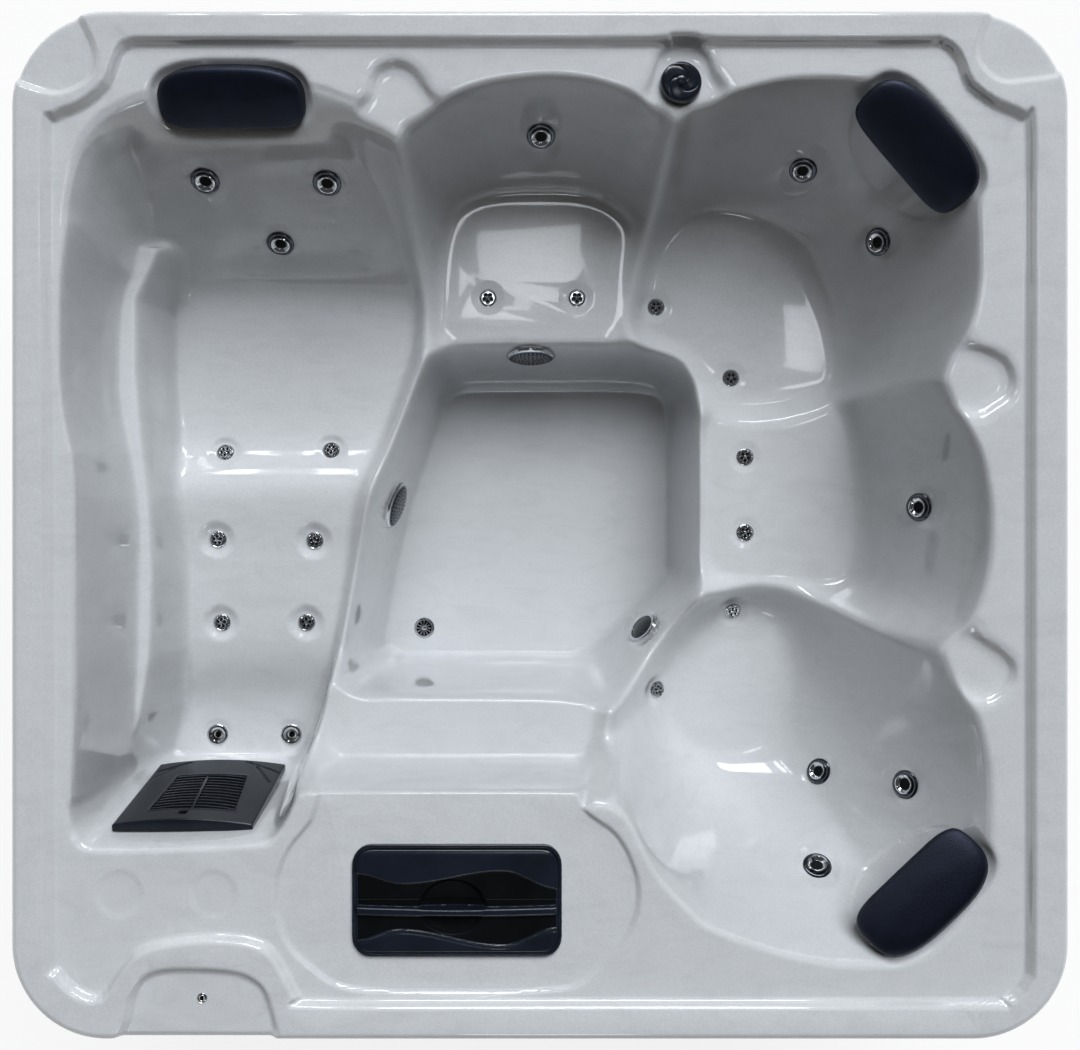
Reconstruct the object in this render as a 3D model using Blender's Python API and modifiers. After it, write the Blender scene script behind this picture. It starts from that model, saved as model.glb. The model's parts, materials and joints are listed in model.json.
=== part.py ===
"""Acrylic hot tub, built as its real pieces: moulded shell, cabinet, fittings, jets and plumbing.

Metres, +Z up. The origin is on the floor under the middle of the tub; +Y is the side with the
lounger's headrest and the diverter knob, +X the side with the two pockets in the rim.
"""
import math
from collections import namedtuple

import bmesh
import bpy
import numpy as np
from mathutils import Matrix, Vector

# Overall sizes
LENGTH = 2.10
WIDTH = 2.044
HEIGHT = 0.88
CORNER_RADIUS = 0.19
CLEARANCE = 0.0003
OVERRUN = 0.02

# Acrylic shell
SHELL_WALL = 0.008
EDGE_RADIUS = 0.016
RIM_FLATNESS = 0.0024
LIP_DEPTH = 0.062
DECK_DEPTH = 0.020
DECK_STEP_WIDTH = 0.018
COAMING_FILLET = 0.015
GRID_PITCH = 0.008
SHELL_KEEP_SHARE = 0.0135

# Depths below the rim
LOUNGE_SEAT_DEPTH = 0.5455 * HEIGHT
LEDGE_DEPTH = 0.3239 * HEIGHT
BACK_SEAT_DEPTH = 0.5227 * HEIGHT
CORNER_SEAT_DEPTH = 0.5682 * HEIGHT
SIDE_SEAT_DEPTH = 0.525 * HEIGHT
BUCKET_SEAT_DEPTH = 0.625 * HEIGHT
STEP_SEAT_DEPTH = 0.3182 * HEIGHT
FOOTWELL_BRIM_DEPTH = 0.4886 * HEIGHT
FOOTWELL_FLOOR_HEIGHT = 0.1136 * HEIGHT
POCKET_DEPTH = 0.040
FILTER_DECK_DEPTH = 0.030
PANEL_RECESS_DEPTH = 0.016
DISH_DEPTH = 0.012

# Fillets at the foot of each wall, and the rounding of the ridges between seats
LOUNGE_FOOT_FILLET = 0.040
BACK_FOOT_FILLET = 0.060
CORNER_FOOT_FILLET = 0.110
SIDE_FOOT_FILLET = 0.040
BUCKET_FOOT_FILLET = 0.220
STEP_FOOT_FILLET = 0.016
FOOTWELL_FOOT_FILLET = 0.045
RECESS_FILLET = 0.008
RIDGE_ROUNDING = 0.020
BRIM_FALL_SLOPE = 0.5
FOOTWELL_DRAFT_SLOPE = 10.0

# Outlines, as shares of the half length and half width
STEP_LINE_SHARES = [
    (-0.935, 0.760), (-0.920, 0.795), (-0.869, 0.817), (-0.821, 0.858), (-0.799, 0.916), (-0.775, 0.938),
    (-0.700, 0.940), (-0.265, 0.940), (0.200, 0.940), (0.248, 0.947), (0.293, 0.947), (0.345, 0.940),
    (0.700, 0.940), (0.761, 0.939), (0.793, 0.910), (0.814, 0.858), (0.861, 0.821), (0.916, 0.795),
    (0.930, 0.755), (0.929, 0.243), (0.929, -0.340), (0.929, -0.807), (0.922, -0.885), (0.880, -0.926),
    (0.810, -0.931), (0.114, -0.931), (-0.420, -0.931), (-0.458, -0.920), (-0.485, -0.868), (-0.526, -0.817),
    (-0.630, -0.803), (-0.748, -0.823), (-0.795, -0.868), (-0.828, -0.917), (-0.870, -0.912), (-0.915, -0.870),
    (-0.929, -0.800), (-0.931, -0.146), (-0.935, 0.438)]
LOUNGE_RIM_SHARES = [
    (-0.889, -0.580), (-0.887, -0.343), (-0.886, -0.080), (-0.884, 0.118), (-0.893, 0.167), (-0.905, 0.245),
    (-0.912, 0.400), (-0.908, 0.539), (-0.893, 0.676), (-0.878, 0.735), (-0.849, 0.784), (-0.811, 0.814),
    (-0.740, 0.842), (-0.592, 0.860), (-0.439, 0.855), (-0.382, 0.837), (-0.324, 0.814), (-0.269, 0.776),
    (-0.205, 0.685), (-0.171, 0.548), (-0.181, 0.411), (-0.238, 0.196), (-0.314, 0.000), (-0.381, -0.196),
    (-0.419, -0.323), (-0.467, -0.489), (-0.471, -0.539), (-0.506, -0.608), (-0.557, -0.622), (-0.840, -0.631),
    (-0.880, -0.608)]
LOUNGE_PAN_SHARES = [
    (-0.762, 0.773), (-0.810, 0.685), (-0.819, 0.548), (-0.829, 0.291), (-0.830, 0.162), (-0.821, 0.068),
    (-0.819, -0.080), (-0.823, -0.264), (-0.830, -0.399), (-0.834, -0.498), (-0.827, -0.533), (-0.667, -0.538),
    (-0.562, -0.533), (-0.526, -0.499), (-0.495, -0.421), (-0.471, -0.333), (-0.452, -0.254), (-0.427, -0.080),
    (-0.410, 0.068), (-0.376, 0.162), (-0.329, 0.291), (-0.290, 0.411), (-0.286, 0.548), (-0.314, 0.685),
    (-0.400, 0.773), (-0.571, 0.783)]
LEDGE_SHARES = [
    (-0.800, 0.606), (-0.842, 0.523), (-0.869, 0.470), (-0.876, 0.379), (-0.876, 0.147), (-0.865, 0.000),
    (-0.862, -0.245), (-0.869, -0.440), (-0.862, -0.548), (-0.819, -0.548), (-0.667, -0.489), (-0.667, 0.196),
    (-0.705, 0.509)]
BACK_RIM_SHARES = [
    (-0.269, 0.776), (-0.248, 0.794), (-0.183, 0.833), (-0.111, 0.863), (0.000, 0.880), (0.086, 0.874),
    (0.164, 0.851), (0.205, 0.828), (0.260, 0.798), (0.381, 0.607), (0.400, 0.391), (0.314, 0.196),
    (0.000, 0.147), (-0.286, 0.196), (-0.362, 0.391), (-0.333, 0.587)]
BACK_PAN_SHARES = [
    (-0.211, 0.431), (-0.221, 0.509), (-0.205, 0.675), (-0.143, 0.744), (0.000, 0.756), (0.124, 0.744),
    (0.195, 0.685), (0.190, 0.587), (0.181, 0.489), (0.152, 0.435), (0.076, 0.423), (-0.114, 0.423)]
CORNER_RIM_SHARES = [
    (0.260, 0.798), (0.330, 0.832), (0.420, 0.863), (0.496, 0.876), (0.592, 0.876), (0.687, 0.860),
    (0.782, 0.794), (0.834, 0.696), (0.842, 0.600), (0.842, 0.490), (0.832, 0.422), (0.815, 0.374),
    (0.779, 0.286), (0.724, 0.098), (0.571, 0.039), (0.333, 0.059), (0.190, 0.196), (0.114, 0.440),
    (0.152, 0.636)]
CORNER_PAN_SHARES = [
    (0.238, 0.460), (0.250, 0.548), (0.286, 0.665), (0.381, 0.724), (0.514, 0.675), (0.610, 0.548),
    (0.657, 0.421), (0.657, 0.333), (0.571, 0.313), (0.448, 0.303), (0.390, 0.352), (0.343, 0.411)]
SIDE_RIM_SHARES = [
    (0.779, 0.286), (0.815, 0.200), (0.842, 0.145), (0.857, 0.084), (0.864, 0.018), (0.861, -0.067),
    (0.847, -0.135), (0.821, -0.196), (0.779, -0.253), (0.724, -0.372), (0.571, -0.411), (0.286, -0.411),
    (0.190, -0.196), (0.190, 0.196), (0.333, 0.470), (0.571, 0.489), (0.724, 0.411)]
SIDE_PAN_SHARES = [
    (0.390, 0.245), (0.495, 0.279), (0.629, 0.294), (0.686, 0.225), (0.703, 0.078), (0.700, -0.059),
    (0.667, -0.127), (0.533, -0.117), (0.390, -0.098), (0.381, 0.078)]
BUCKET_RIM_SHARES = [
    (0.779, -0.253), (0.815, -0.337), (0.842, -0.392), (0.861, -0.500), (0.857, -0.637), (0.830, -0.735),
    (0.763, -0.823), (0.697, -0.857), (0.626, -0.863), (0.565, -0.861), (0.473, -0.843), (0.395, -0.818),
    (0.319, -0.788), (0.277, -0.749), (0.229, -0.696), (0.197, -0.641), (0.164, -0.571), (0.120, -0.540),
    (0.076, -0.560), (0.057, -0.440), (0.143, -0.245), (0.267, -0.117), (0.400, -0.049), (0.590, -0.029),
    (0.724, -0.117)]
BUCKET_PAN_SHARES = [
    (0.314, -0.382), (0.343, -0.294), (0.419, -0.225), (0.514, -0.215), (0.571, -0.294), (0.552, -0.421),
    (0.476, -0.509), (0.381, -0.528), (0.314, -0.470)]
STEP_RIM_SHARES = [
    (-0.471, -0.539), (-0.458, -0.525), (-0.363, -0.518), (0.000, -0.518), (0.076, -0.523), (0.124, -0.539),
    (0.210, -0.548), (0.248, -0.411), (0.143, -0.245), (-0.190, -0.196), (-0.438, -0.245), (-0.514, -0.411),
    (-0.514, -0.509)]
STEP_PAN_SHARES = [
    (-0.419, -0.323), (-0.448, -0.421), (-0.430, -0.494), (-0.362, -0.505), (0.000, -0.505), (0.086, -0.499),
    (0.110, -0.440), (0.095, -0.323), (0.000, -0.294), (-0.286, -0.294)]
FOOTWELL_BRIM_SHARES = [
    (-0.255, 0.331), (-0.229, 0.391), (-0.190, 0.416), (0.000, 0.421), (0.190, 0.419), (0.305, 0.391),
    (0.340, 0.333), (0.343, 0.196), (0.343, -0.059), (0.345, -0.127), (0.314, -0.186), (0.240, -0.289),
    (0.162, -0.372), (0.105, -0.382), (0.000, -0.372), (-0.286, -0.370), (-0.381, -0.364), (-0.419, -0.313),
    (-0.419, -0.245), (-0.357, 0.046)]
FOOTWELL_FLOOR_SHARES = [
    (-0.257, 0.284), (-0.238, 0.328), (-0.190, 0.344), (0.000, 0.346), (0.238, 0.346), (0.310, 0.328),
    (0.330, 0.264), (0.330, -0.078), (0.305, -0.130), (0.242, -0.191), (0.133, -0.305), (0.080, -0.342),
    (0.000, -0.346), (-0.314, -0.344), (-0.376, -0.323), (-0.390, -0.274), (-0.330, 0.051)]
BLANK_POCKET_SHARES = [
    (-0.364, 0.818), (-0.335, 0.845), (-0.328, 0.877), (-0.312, 0.902), (-0.274, 0.914), (-0.240, 0.902),
    (-0.217, 0.875), (-0.205, 0.850), (-0.175, 0.839), (-0.190, 0.783), (-0.269, 0.749), (-0.352, 0.783)]
BLANK_FLOOR_SHARES = [
    (-0.339, 0.811), (-0.318, 0.840), (-0.312, 0.868), (-0.297, 0.888), (-0.274, 0.895), (-0.250, 0.886),
    (-0.232, 0.862), (-0.213, 0.835), (-0.234, 0.813), (-0.270, 0.778), (-0.318, 0.793)]
KNOB_POCKET_SHARES = [
    (0.187, 0.845), (0.204, 0.878), (0.217, 0.920), (0.236, 0.941), (0.272, 0.949), (0.308, 0.941),
    (0.328, 0.920), (0.341, 0.890), (0.368, 0.849), (0.328, 0.804), (0.259, 0.769), (0.206, 0.804)]
KNOB_FLOOR_SHARES = [
    (0.215, 0.843), (0.224, 0.880), (0.234, 0.911), (0.253, 0.927), (0.274, 0.931), (0.295, 0.927),
    (0.312, 0.911), (0.322, 0.880), (0.337, 0.847), (0.307, 0.821), (0.261, 0.797), (0.230, 0.821)]
UPPER_POCKET_SHARES = [
    (0.815, 0.382), (0.835, 0.355), (0.870, 0.342), (0.893, 0.325), (0.908, 0.284), (0.900, 0.245),
    (0.876, 0.227), (0.840, 0.203), (0.785, 0.215), (0.754, 0.286), (0.777, 0.362)]
UPPER_FLOOR_SHARES = [
    (0.834, 0.341), (0.862, 0.331), (0.887, 0.313), (0.895, 0.285), (0.887, 0.262), (0.862, 0.242),
    (0.834, 0.230), (0.801, 0.246), (0.778, 0.287), (0.801, 0.329)]
LOWER_POCKET_SHARES = [
    (0.832, -0.188), (0.846, -0.215), (0.878, -0.235), (0.905, -0.262), (0.910, -0.288), (0.899, -0.317),
    (0.853, -0.356), (0.790, -0.333), (0.754, -0.254), (0.785, -0.198)]
LOWER_FLOOR_SHARES = [
    (0.828, -0.226), (0.853, -0.242), (0.881, -0.262), (0.895, -0.285), (0.885, -0.311), (0.858, -0.333),
    (0.828, -0.325), (0.801, -0.295), (0.778, -0.256), (0.805, -0.230)]
FILTER_DECK_SHARES = [
    (-0.390, -0.479), (-0.438, -0.573), (-0.484, -0.634), (-0.507, -0.708), (-0.491, -0.808), (-0.438, -0.869),
    (-0.362, -0.910), (-0.171, -0.920), (0.010, -0.914), (0.086, -0.896), (0.150, -0.830), (0.183, -0.775),
    (0.192, -0.714), (0.177, -0.653), (0.145, -0.599), (0.086, -0.552), (0.053, -0.479), (-0.171, -0.460)]
PANEL_RECESS_SHARES = [
    (-0.797, -1.038), (-0.789, -0.962), (-0.774, -0.902), (-0.733, -0.862), (-0.642, -0.856), (-0.551, -0.869),
    (-0.506, -0.922), (-0.514, -1.038)]
WEST_DISH_SHARES = [
    (-0.888, 1.058), (-0.861, 0.990), (-0.833, 0.922), (-0.840, 0.869), (-0.878, 0.840), (-0.925, 0.831),
    (-0.997, 0.854), (-1.058, 0.883), (-1.095, 1.096)]
EAST_DISH_SHARES = [
    (0.859, 1.058), (0.840, 0.995), (0.820, 0.931), (0.827, 0.889), (0.869, 0.854), (0.925, 0.856),
    (0.993, 0.867), (1.058, 0.883), (1.095, 1.096)]

# Lounger floor from the foot to the headrest: share of the half width, share of the seat depth
LOUNGE_PROFILE_SHARES = [
    (-0.685, 1.083), (-0.489, 1.083), (-0.399, 1.055), (-0.336, 0.983), (-0.264, 0.942), (-0.080, 0.917),
    (0.055, 0.875), (0.102, 0.858), (0.162, 0.970), (0.225, 0.996), (0.391, 1.000), (0.522, 0.985),
    (0.560, 0.930), (0.623, 0.719), (0.692, 0.500), (0.784, 0.125), (0.978, 0.083)]

# Jets: seat, place as shares of the half length and half width, kind
JET_PLACE_SHARES = {
    "lounger": [(-0.681, 0.719, "large"), (-0.434, 0.716, "large"), (-0.560, 0.624, "large"),
                (-0.708, 0.168, "small"), (-0.470, 0.173, "small"), (-0.719, -0.033, "dished"),
                (-0.503, -0.036, "dished"), (-0.714, -0.225, "dished"), (-0.524, -0.225, "dished"),
                (-0.739, -0.494, "medium"), (-0.570, -0.494, "medium")],
    "back_seat": [(-0.117, 0.524, "small"), (0.083, 0.524, "small"), (0.002, 0.829, "large")],
    "corner_seat": [(0.435, 0.344, "small"), (0.264, 0.510, "small"), (0.561, 0.777, "large"),
                    (0.719, 0.619, "large")],
    "side_seat": [(0.461, -0.018, "small"), (0.461, 0.157, "small"), (0.788, 0.038, "large")],
    "bucket_seat": [(0.447, -0.204, "small"), (0.269, -0.388, "small"), (0.579, -0.731, "large"),
                    (0.624, -0.567, "large"), (0.755, -0.551, "large")]}
JET_RADIUS = {"large": 0.031, "medium": 0.026, "small": 0.021, "dished": 0.021}
JET_PAD_RADIUS = {"large": 0.050, "medium": 0.042, "small": 0.042, "dished": 0.048}
JET_PAD_SINK = {"large": 0.002, "medium": 0.002, "small": 0.003, "dished": 0.010}
JET_STEM_RADIUS = {"large": 0.021, "medium": 0.017, "small": 0.014, "dished": 0.014}
JET_SLOPE_LIMIT = {"large": 1.15, "medium": 0.30, "small": 0.60, "dished": 0.30}
JET_CROWN = 0.004
JET_SEAT_SINK = 0.003
JET_SIDES = {"large": 10, "medium": 8, "small": 8, "dished": 8}

# Footwell fittings: place shares, radius, pad radius, slope limit
FOOTWELL_FITTINGS = {
    "floor_drain": ((-0.289, -0.264), 0.027, 0.045, 0.05),
    "footwell_light": ((0.241, -0.248), 0.041, 0.052, 2.20),
    "suction_cover_back": ((-0.021, 0.400), 0.051, 0.058, 6.00),
    "suction_cover_left": ((-0.343, 0.048), 0.051, 0.058, 6.00)}
FITTING_CROWN = {"floor_drain": 0.004, "footwell_light": 0.006, "suction_cover_back": 0.014,
                 "suction_cover_left": 0.014}
FITTING_STEM_SHARE = 0.60
FITTING_STEM_LENGTH = 0.030
FITTING_SIDES = 16

# Diverter and panel fitting
KNOB_PLACE_SHARES = (0.269, 0.867)
KNOB_RADIUS = 0.0415
KNOB_PAD_RADIUS = 0.048
KNOB_SIDES = 18
KNOB_HEIGHT = 0.030
KNOB_GRIP_DEPTH = 0.004
DIVERTER_STEM_RADIUS = 0.020
DIVERTER_STEM_LENGTH = 0.018
DIVERTER_BODY_LENGTH = 0.110
PANEL_FITTING_PLACE_SHARES = (-0.641, -0.922)
PANEL_FITTING_RADIUS = 0.011
PANEL_PAD_RADIUS = 0.016
PANEL_FITTING_STEM_RADIUS = 0.007
DISC_PLACE_SHARES = [(-0.800, -0.721), (-0.622, -0.721)]
DISC_RADIUS = 0.052
DISC_SINK = 0.0025

# Filter well
FILTER_PLACE_SHARES = (-0.158, -0.734)
FLANGE_SIZE = (0.419, 0.223)
FLANGE_CORNER = 0.040
FLANGE_THICK = 0.006
FLANGE_RIM = 0.006
FLANGE_RIM_HEIGHT = 0.004
WELL_SIZE = (0.344, 0.164)
WELL_CORNER = 0.030
WELL_WALL = 0.004
WELL_LENGTH = 0.330
COVER_THICK = 0.006
COVER_GAP = 0.0015
COVER_GRIP_HEIGHT = 0.008
COVER_GRIP_WIDTH = 0.012
COVER_LIFT = 0.36
FINGER_WELL_RADII = (0.032, 0.026)
FINGER_WELL_DEPTH = 0.004
CARTRIDGE_RADIUS = 0.066
CARTRIDGE_LENGTH = 0.250
CARTRIDGE_CAP = 0.012
CARTRIDGE_GAP = 0.010
CARTRIDGE_SIDES = 12

# Foot grille, standing on the lounger's foot wall
GRILLE_WIDTH = 0.288
GRILLE_LENGTH = 0.306
GRILLE_THICK = 0.012
GRILLE_BULGE = 0.012
GRILLE_PLACE_SHARES = (-0.697, -0.577)
GRILLE_DEPTH = 0.2841 * HEIGHT
GRILLE_LEAN_SLOPE = 0.190
GRILLE_SLOTS = 11
GRILLE_SLOT_HEIGHT = 0.006
GRILLE_SLOT_PITCH = 0.015
GRILLE_SLOT_LENGTH = 0.085
GRILLE_BAR = 0.012
FOOT_WALL_OPENING = 0.200

# Headrests
HEADREST_PLACE_SHARES = {
    "headrest_lounger": (-0.592, 0.848),
    "headrest_corner": (0.731, 0.753),
    "headrest_bucket": (0.741, -0.732)}
HEADREST_TURN_DEGREES = {"headrest_lounger": 0.0, "headrest_corner": -49.5, "headrest_bucket": -136.5}
HEADREST_LENGTH = 0.300
HEADREST_WIDTH = 0.132
HEADREST_THICK = 0.050
HEADREST_DEPTH = 0.062
HEADREST_EDGE_SHARE = 0.35
HEADREST_LEAN_DEGREES = 28.0
HEADREST_DRAW = 0.004
HEADREST_SINK = 0.004
HEADREST_OUTLINE_SHARES = [
    (0.00, 1.14), (-0.48, 1.06), (-0.88, 0.74), (-1.05, -0.02), (-0.93, -0.82), (-0.48, -1.02), (0.00, -1.04),
    (0.48, -1.02), (0.93, -0.82), (1.05, -0.02), (0.88, 0.74), (0.48, 1.06)]

# Cabinet
PANEL_INSET = 0.030
PANEL_THICK = 0.016
PANEL_TUCK = 0.030
FRAME_THICK = 0.028
FRAME_DROP = 0.056
TRAY_HEIGHT = 0.040
TRAY_FLOOR = 0.006
PLINTH_SIZE = (0.420, 0.440)
RAIL_HEIGHT = 0.045
POST_WIDTH = 0.060
WINDOWS_PER_SIDE = 2
PANEL_STEPS = 8

# Plumbing and equipment
PIPE_RADIUS = 0.012
PIPE_SIDES = 6
BODY_LENGTH = 0.055
HUB_RADIUS = 0.016
HUB_HEIGHT = 0.032
HEADER_HEIGHT = 0.1875 * HEIGHT
HEADER_RADIUS = 0.022
HEADER_CORNERS_SHARES = [(-0.462, -0.426), (0.405, -0.426), (0.405, 0.431), (-0.462, 0.431)]
RISER_PLACE_SHARES = {
    "lounger": (-0.462, -0.100), "back_seat": (-0.114, 0.431), "corner_seat": (0.405, 0.250),
    "side_seat": (0.405, 0.060), "bucket_seat": (0.405, -0.245)}
PUMP_PLACE_SHARES = (-0.543, -0.783)
PUMP_HEIGHT = 0.120
WET_END_RADIUS = 0.085
WET_END_LENGTH = 0.100
WET_END_BOSS_RADIUS = 0.032
WET_END_BOSS_LENGTH = 0.105
MOTOR_RADIUS = 0.070
MOTOR_LENGTH = 0.260
MOTOR_FOOT = (0.180, 0.110)
SUCTION_RADIUS = 0.018
SUCTION_HEIGHT = 0.2557 * HEIGHT
SUCTION_ROUTE_SHARES = [(-0.514, -0.020), (-0.514, -0.410), (-0.400, -0.607)]
HEATER_RADIUS = 0.036
HEATER_LENGTH = 0.320
HEATER_PLACE_SHARES = (0.290, -0.700)
CONTROL_BOX_SIZE = (0.340, 0.130, 0.240)
CONTROL_BOX_PLACE_SHARES = (0.290, -0.830)
BEND_STEPS = 2

# Small steps of the modelling itself
GRADIENT_STEP = 0.006
CUT_HEIGHT = 0.030

COLLECTION_NAME = "hot_tub"
CUTTER_COLLECTION_NAME = "cutters"

Fitting = namedtuple("Fitting", "name place radius pad sink slope stem length crown sides")


def half_plan(shares):
    return shares[0] * LENGTH / 2, shares[1] * WIDTH / 2


def spline(shares, steps=4):
    """Closed smooth outline through points given as shares of the plan."""
    points = np.array([half_plan(share) for share in shares])
    before, after, beyond = np.roll(points, 1, 0), np.roll(points, -1, 0), np.roll(points, -2, 0)
    rows = []
    for t in np.arange(steps) / steps:
        bend = 2 * before - 5 * points + 4 * after - beyond
        twist = 3 * (points - after) + beyond - before
        rows.append(points + t / 2 * (after - before + t * (bend + t * twist)))
    return np.stack(rows, 1).reshape(-1, 2)


def distance(x, y, outline):
    """Distance to a closed outline: positive outside, negative inside."""
    nearest = np.full(x.shape, np.inf)
    inside = np.zeros(x.shape, bool)
    for (ax, ay), (bx, by) in zip(outline, np.roll(outline, -1, 0)):
        ex, ey = bx - ax, by - ay
        t = np.clip(((x - ax) * ex + (y - ay) * ey) / (ex * ex + ey * ey), 0, 1)
        nearest = np.minimum(nearest, (x - ax - t * ex) ** 2 + (y - ay - t * ey) ** 2)
        if ey:
            inside ^= ((ay > y) != (by > y)) & (x < ax + (y - ay) * ex / ey)
    return np.where(inside, -1, 1) * np.sqrt(nearest)


def blend_deeper(a, b, rounding=RIDGE_ROUNDING):
    """The deeper of two surfaces, with the ridge between them rounded."""
    near = np.clip(1 - np.abs(a - b) / rounding, 0, None)
    return np.maximum(a, b) + near * near * rounding / 4


def bowl(x, y, rim_shares, pan_shares, pan_depth, foot_fillet, brim_fillet=COAMING_FILLET,
         rim_depth=DECK_DEPTH, fall=BRIM_FALL_SLOPE):
    """Depth of a bowl lofted from its rim down to its pan; outside its rim it slopes up and away."""
    rim, pan = spline(rim_shares), spline(pan_shares)
    reach = rim_depth / fall
    low, high = rim.min(0) - reach, rim.max(0) + reach
    here = (x > low[0]) & (x < high[0]) & (y > low[1]) & (y < high[1])
    depth = np.zeros(x.shape)
    if not here.any():
        return depth
    out = np.maximum(distance(x[here], y[here], pan), 0)
    past_rim = distance(x[here], y[here], rim)
    room = np.maximum(-past_rim, 0)
    width = out + room + 1e-9 * LENGTH
    t = out / width
    foot = np.clip(foot_fillet / width, 0.02, 0.5)
    brim = np.clip(brim_fillet / width, 0.02, 0.45)
    slope = 1 / (1 - foot / 2 - brim / 2)
    rise = np.where(t < foot, slope * t * t / (2 * foot), slope * (t - foot / 2))
    rise = np.where(t > 1 - brim, 1 - slope * (1 - t) ** 2 / (2 * brim), rise)
    floor = pan_depth[here] if isinstance(pan_depth, np.ndarray) else pan_depth
    depth[here] = floor + (rim_depth - floor) * rise - fall * np.maximum(past_rim, 0)
    return depth


def deck(x, y):
    """Depth of the raised rim band and of the deck inside its step line."""
    across = distance(x, y, spline(STEP_LINE_SHARES, 3)) / DECK_STEP_WIDTH + 0.5
    across = np.clip(across, 0, 1)
    return DECK_DEPTH * (1 - across * across * (3 - 2 * across))


def recess(x, y, outline_shares, depth):
    """Depth of a shallow recess with soft walls; zero outside it."""
    across = np.clip(-distance(x, y, spline(outline_shares)) / DECK_STEP_WIDTH, 0, 1)
    return depth * across * across * (3 - 2 * across)


def lounge_floor(y):
    """Depth of the lounger's floor along its length."""
    points = np.array(LOUNGE_PROFILE_SHARES) * (WIDTH / 2, LOUNGE_SEAT_DEPTH)
    lane = np.linspace(points[0, 0], points[-1, 0], 240)
    depth = np.interp(lane, points[:, 0], points[:, 1])
    window = np.hanning(17)
    smooth = np.convolve(np.pad(depth, 8, mode="edge"), window / window.sum(), mode="valid")
    return np.interp(y, lane, smooth)


def seats(x, y):
    """Depth of the basin: every seat, the lounger, the step and the footwell."""
    basin = bowl(x, y, LOUNGE_RIM_SHARES, LOUNGE_PAN_SHARES, lounge_floor(y), LOUNGE_FOOT_FILLET)
    ledge = bowl(x, y, LOUNGE_RIM_SHARES, LEDGE_SHARES, LEDGE_DEPTH, RECESS_FILLET, RECESS_FILLET)
    basin = blend_deeper(basin, ledge)
    for rim, pan, depth, foot in (
            (BACK_RIM_SHARES, BACK_PAN_SHARES, BACK_SEAT_DEPTH, BACK_FOOT_FILLET),
            (CORNER_RIM_SHARES, CORNER_PAN_SHARES, CORNER_SEAT_DEPTH, CORNER_FOOT_FILLET),
            (SIDE_RIM_SHARES, SIDE_PAN_SHARES, SIDE_SEAT_DEPTH, SIDE_FOOT_FILLET),
            (BUCKET_RIM_SHARES, BUCKET_PAN_SHARES, BUCKET_SEAT_DEPTH, BUCKET_FOOT_FILLET),
            (STEP_RIM_SHARES, STEP_PAN_SHARES, STEP_SEAT_DEPTH, STEP_FOOT_FILLET)):
        basin = blend_deeper(basin, bowl(x, y, rim, pan, depth, foot))
    well = bowl(x, y, FOOTWELL_BRIM_SHARES, FOOTWELL_FLOOR_SHARES, HEIGHT - FOOTWELL_FLOOR_HEIGHT,
                FOOTWELL_FOOT_FILLET, rim_depth=FOOTWELL_BRIM_DEPTH, fall=FOOTWELL_DRAFT_SLOPE)
    return np.maximum(blend_deeper(basin, well), DECK_DEPTH)


def surface_depth(x, y):
    """Depth of the finished acrylic surface below the rim, without the fittings' pads."""
    rim = deck(x, y)
    depth = rim + seats(x, y) - DECK_DEPTH
    for outline, floor in ((BLANK_POCKET_SHARES, BLANK_FLOOR_SHARES), (KNOB_POCKET_SHARES, KNOB_FLOOR_SHARES),
                           (UPPER_POCKET_SHARES, UPPER_FLOOR_SHARES), (LOWER_POCKET_SHARES, LOWER_FLOOR_SHARES)):
        pocket = bowl(x, y, outline, floor, POCKET_DEPTH, RECESS_FILLET, RECESS_FILLET)
        depth = blend_deeper(depth, rim + pocket - DECK_DEPTH, RECESS_FILLET)
    depth = np.maximum(depth, rim + recess(x, y, FILTER_DECK_SHARES, FILTER_DECK_DEPTH - DECK_DEPTH))
    depth = np.maximum(depth, recess(x, y, PANEL_RECESS_SHARES, PANEL_RECESS_DEPTH))
    for dish in (WEST_DISH_SHARES, EAST_DISH_SHARES):
        depth = np.maximum(depth, recess(x, y, dish, DISH_DEPTH))
    for place in DISC_PLACE_SHARES:
        px, py = half_plan(place)
        edge = np.clip((DISC_RADIUS - np.hypot(x - px, y - py)) / RECESS_FILLET, 0, 1)
        depth = depth + DISC_SINK * edge * edge * (3 - 2 * edge)
    for frame in headrest_frames().values():
        depth = blend_deeper(depth, headrest_seat(x, y, frame), RECESS_FILLET)
    return depth


def headrest_frames():
    """Matrix of each headrest: its middle on its leaning seat, +Y uphill, +Z out of the seat."""
    frames = {}
    for name, place in HEADREST_PLACE_SHARES.items():
        px, py = half_plan(place)
        turn = HEADREST_TURN_DEGREES[name]
        spot = Matrix.Translation((px, py, HEIGHT - HEADREST_DEPTH))
        lean = Matrix.Rotation(math.radians(HEADREST_LEAN_DEGREES), 4, "X")
        frames[name] = spot @ Matrix.Rotation(math.radians(turn), 4, "Z") @ lean
    return frames


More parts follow.
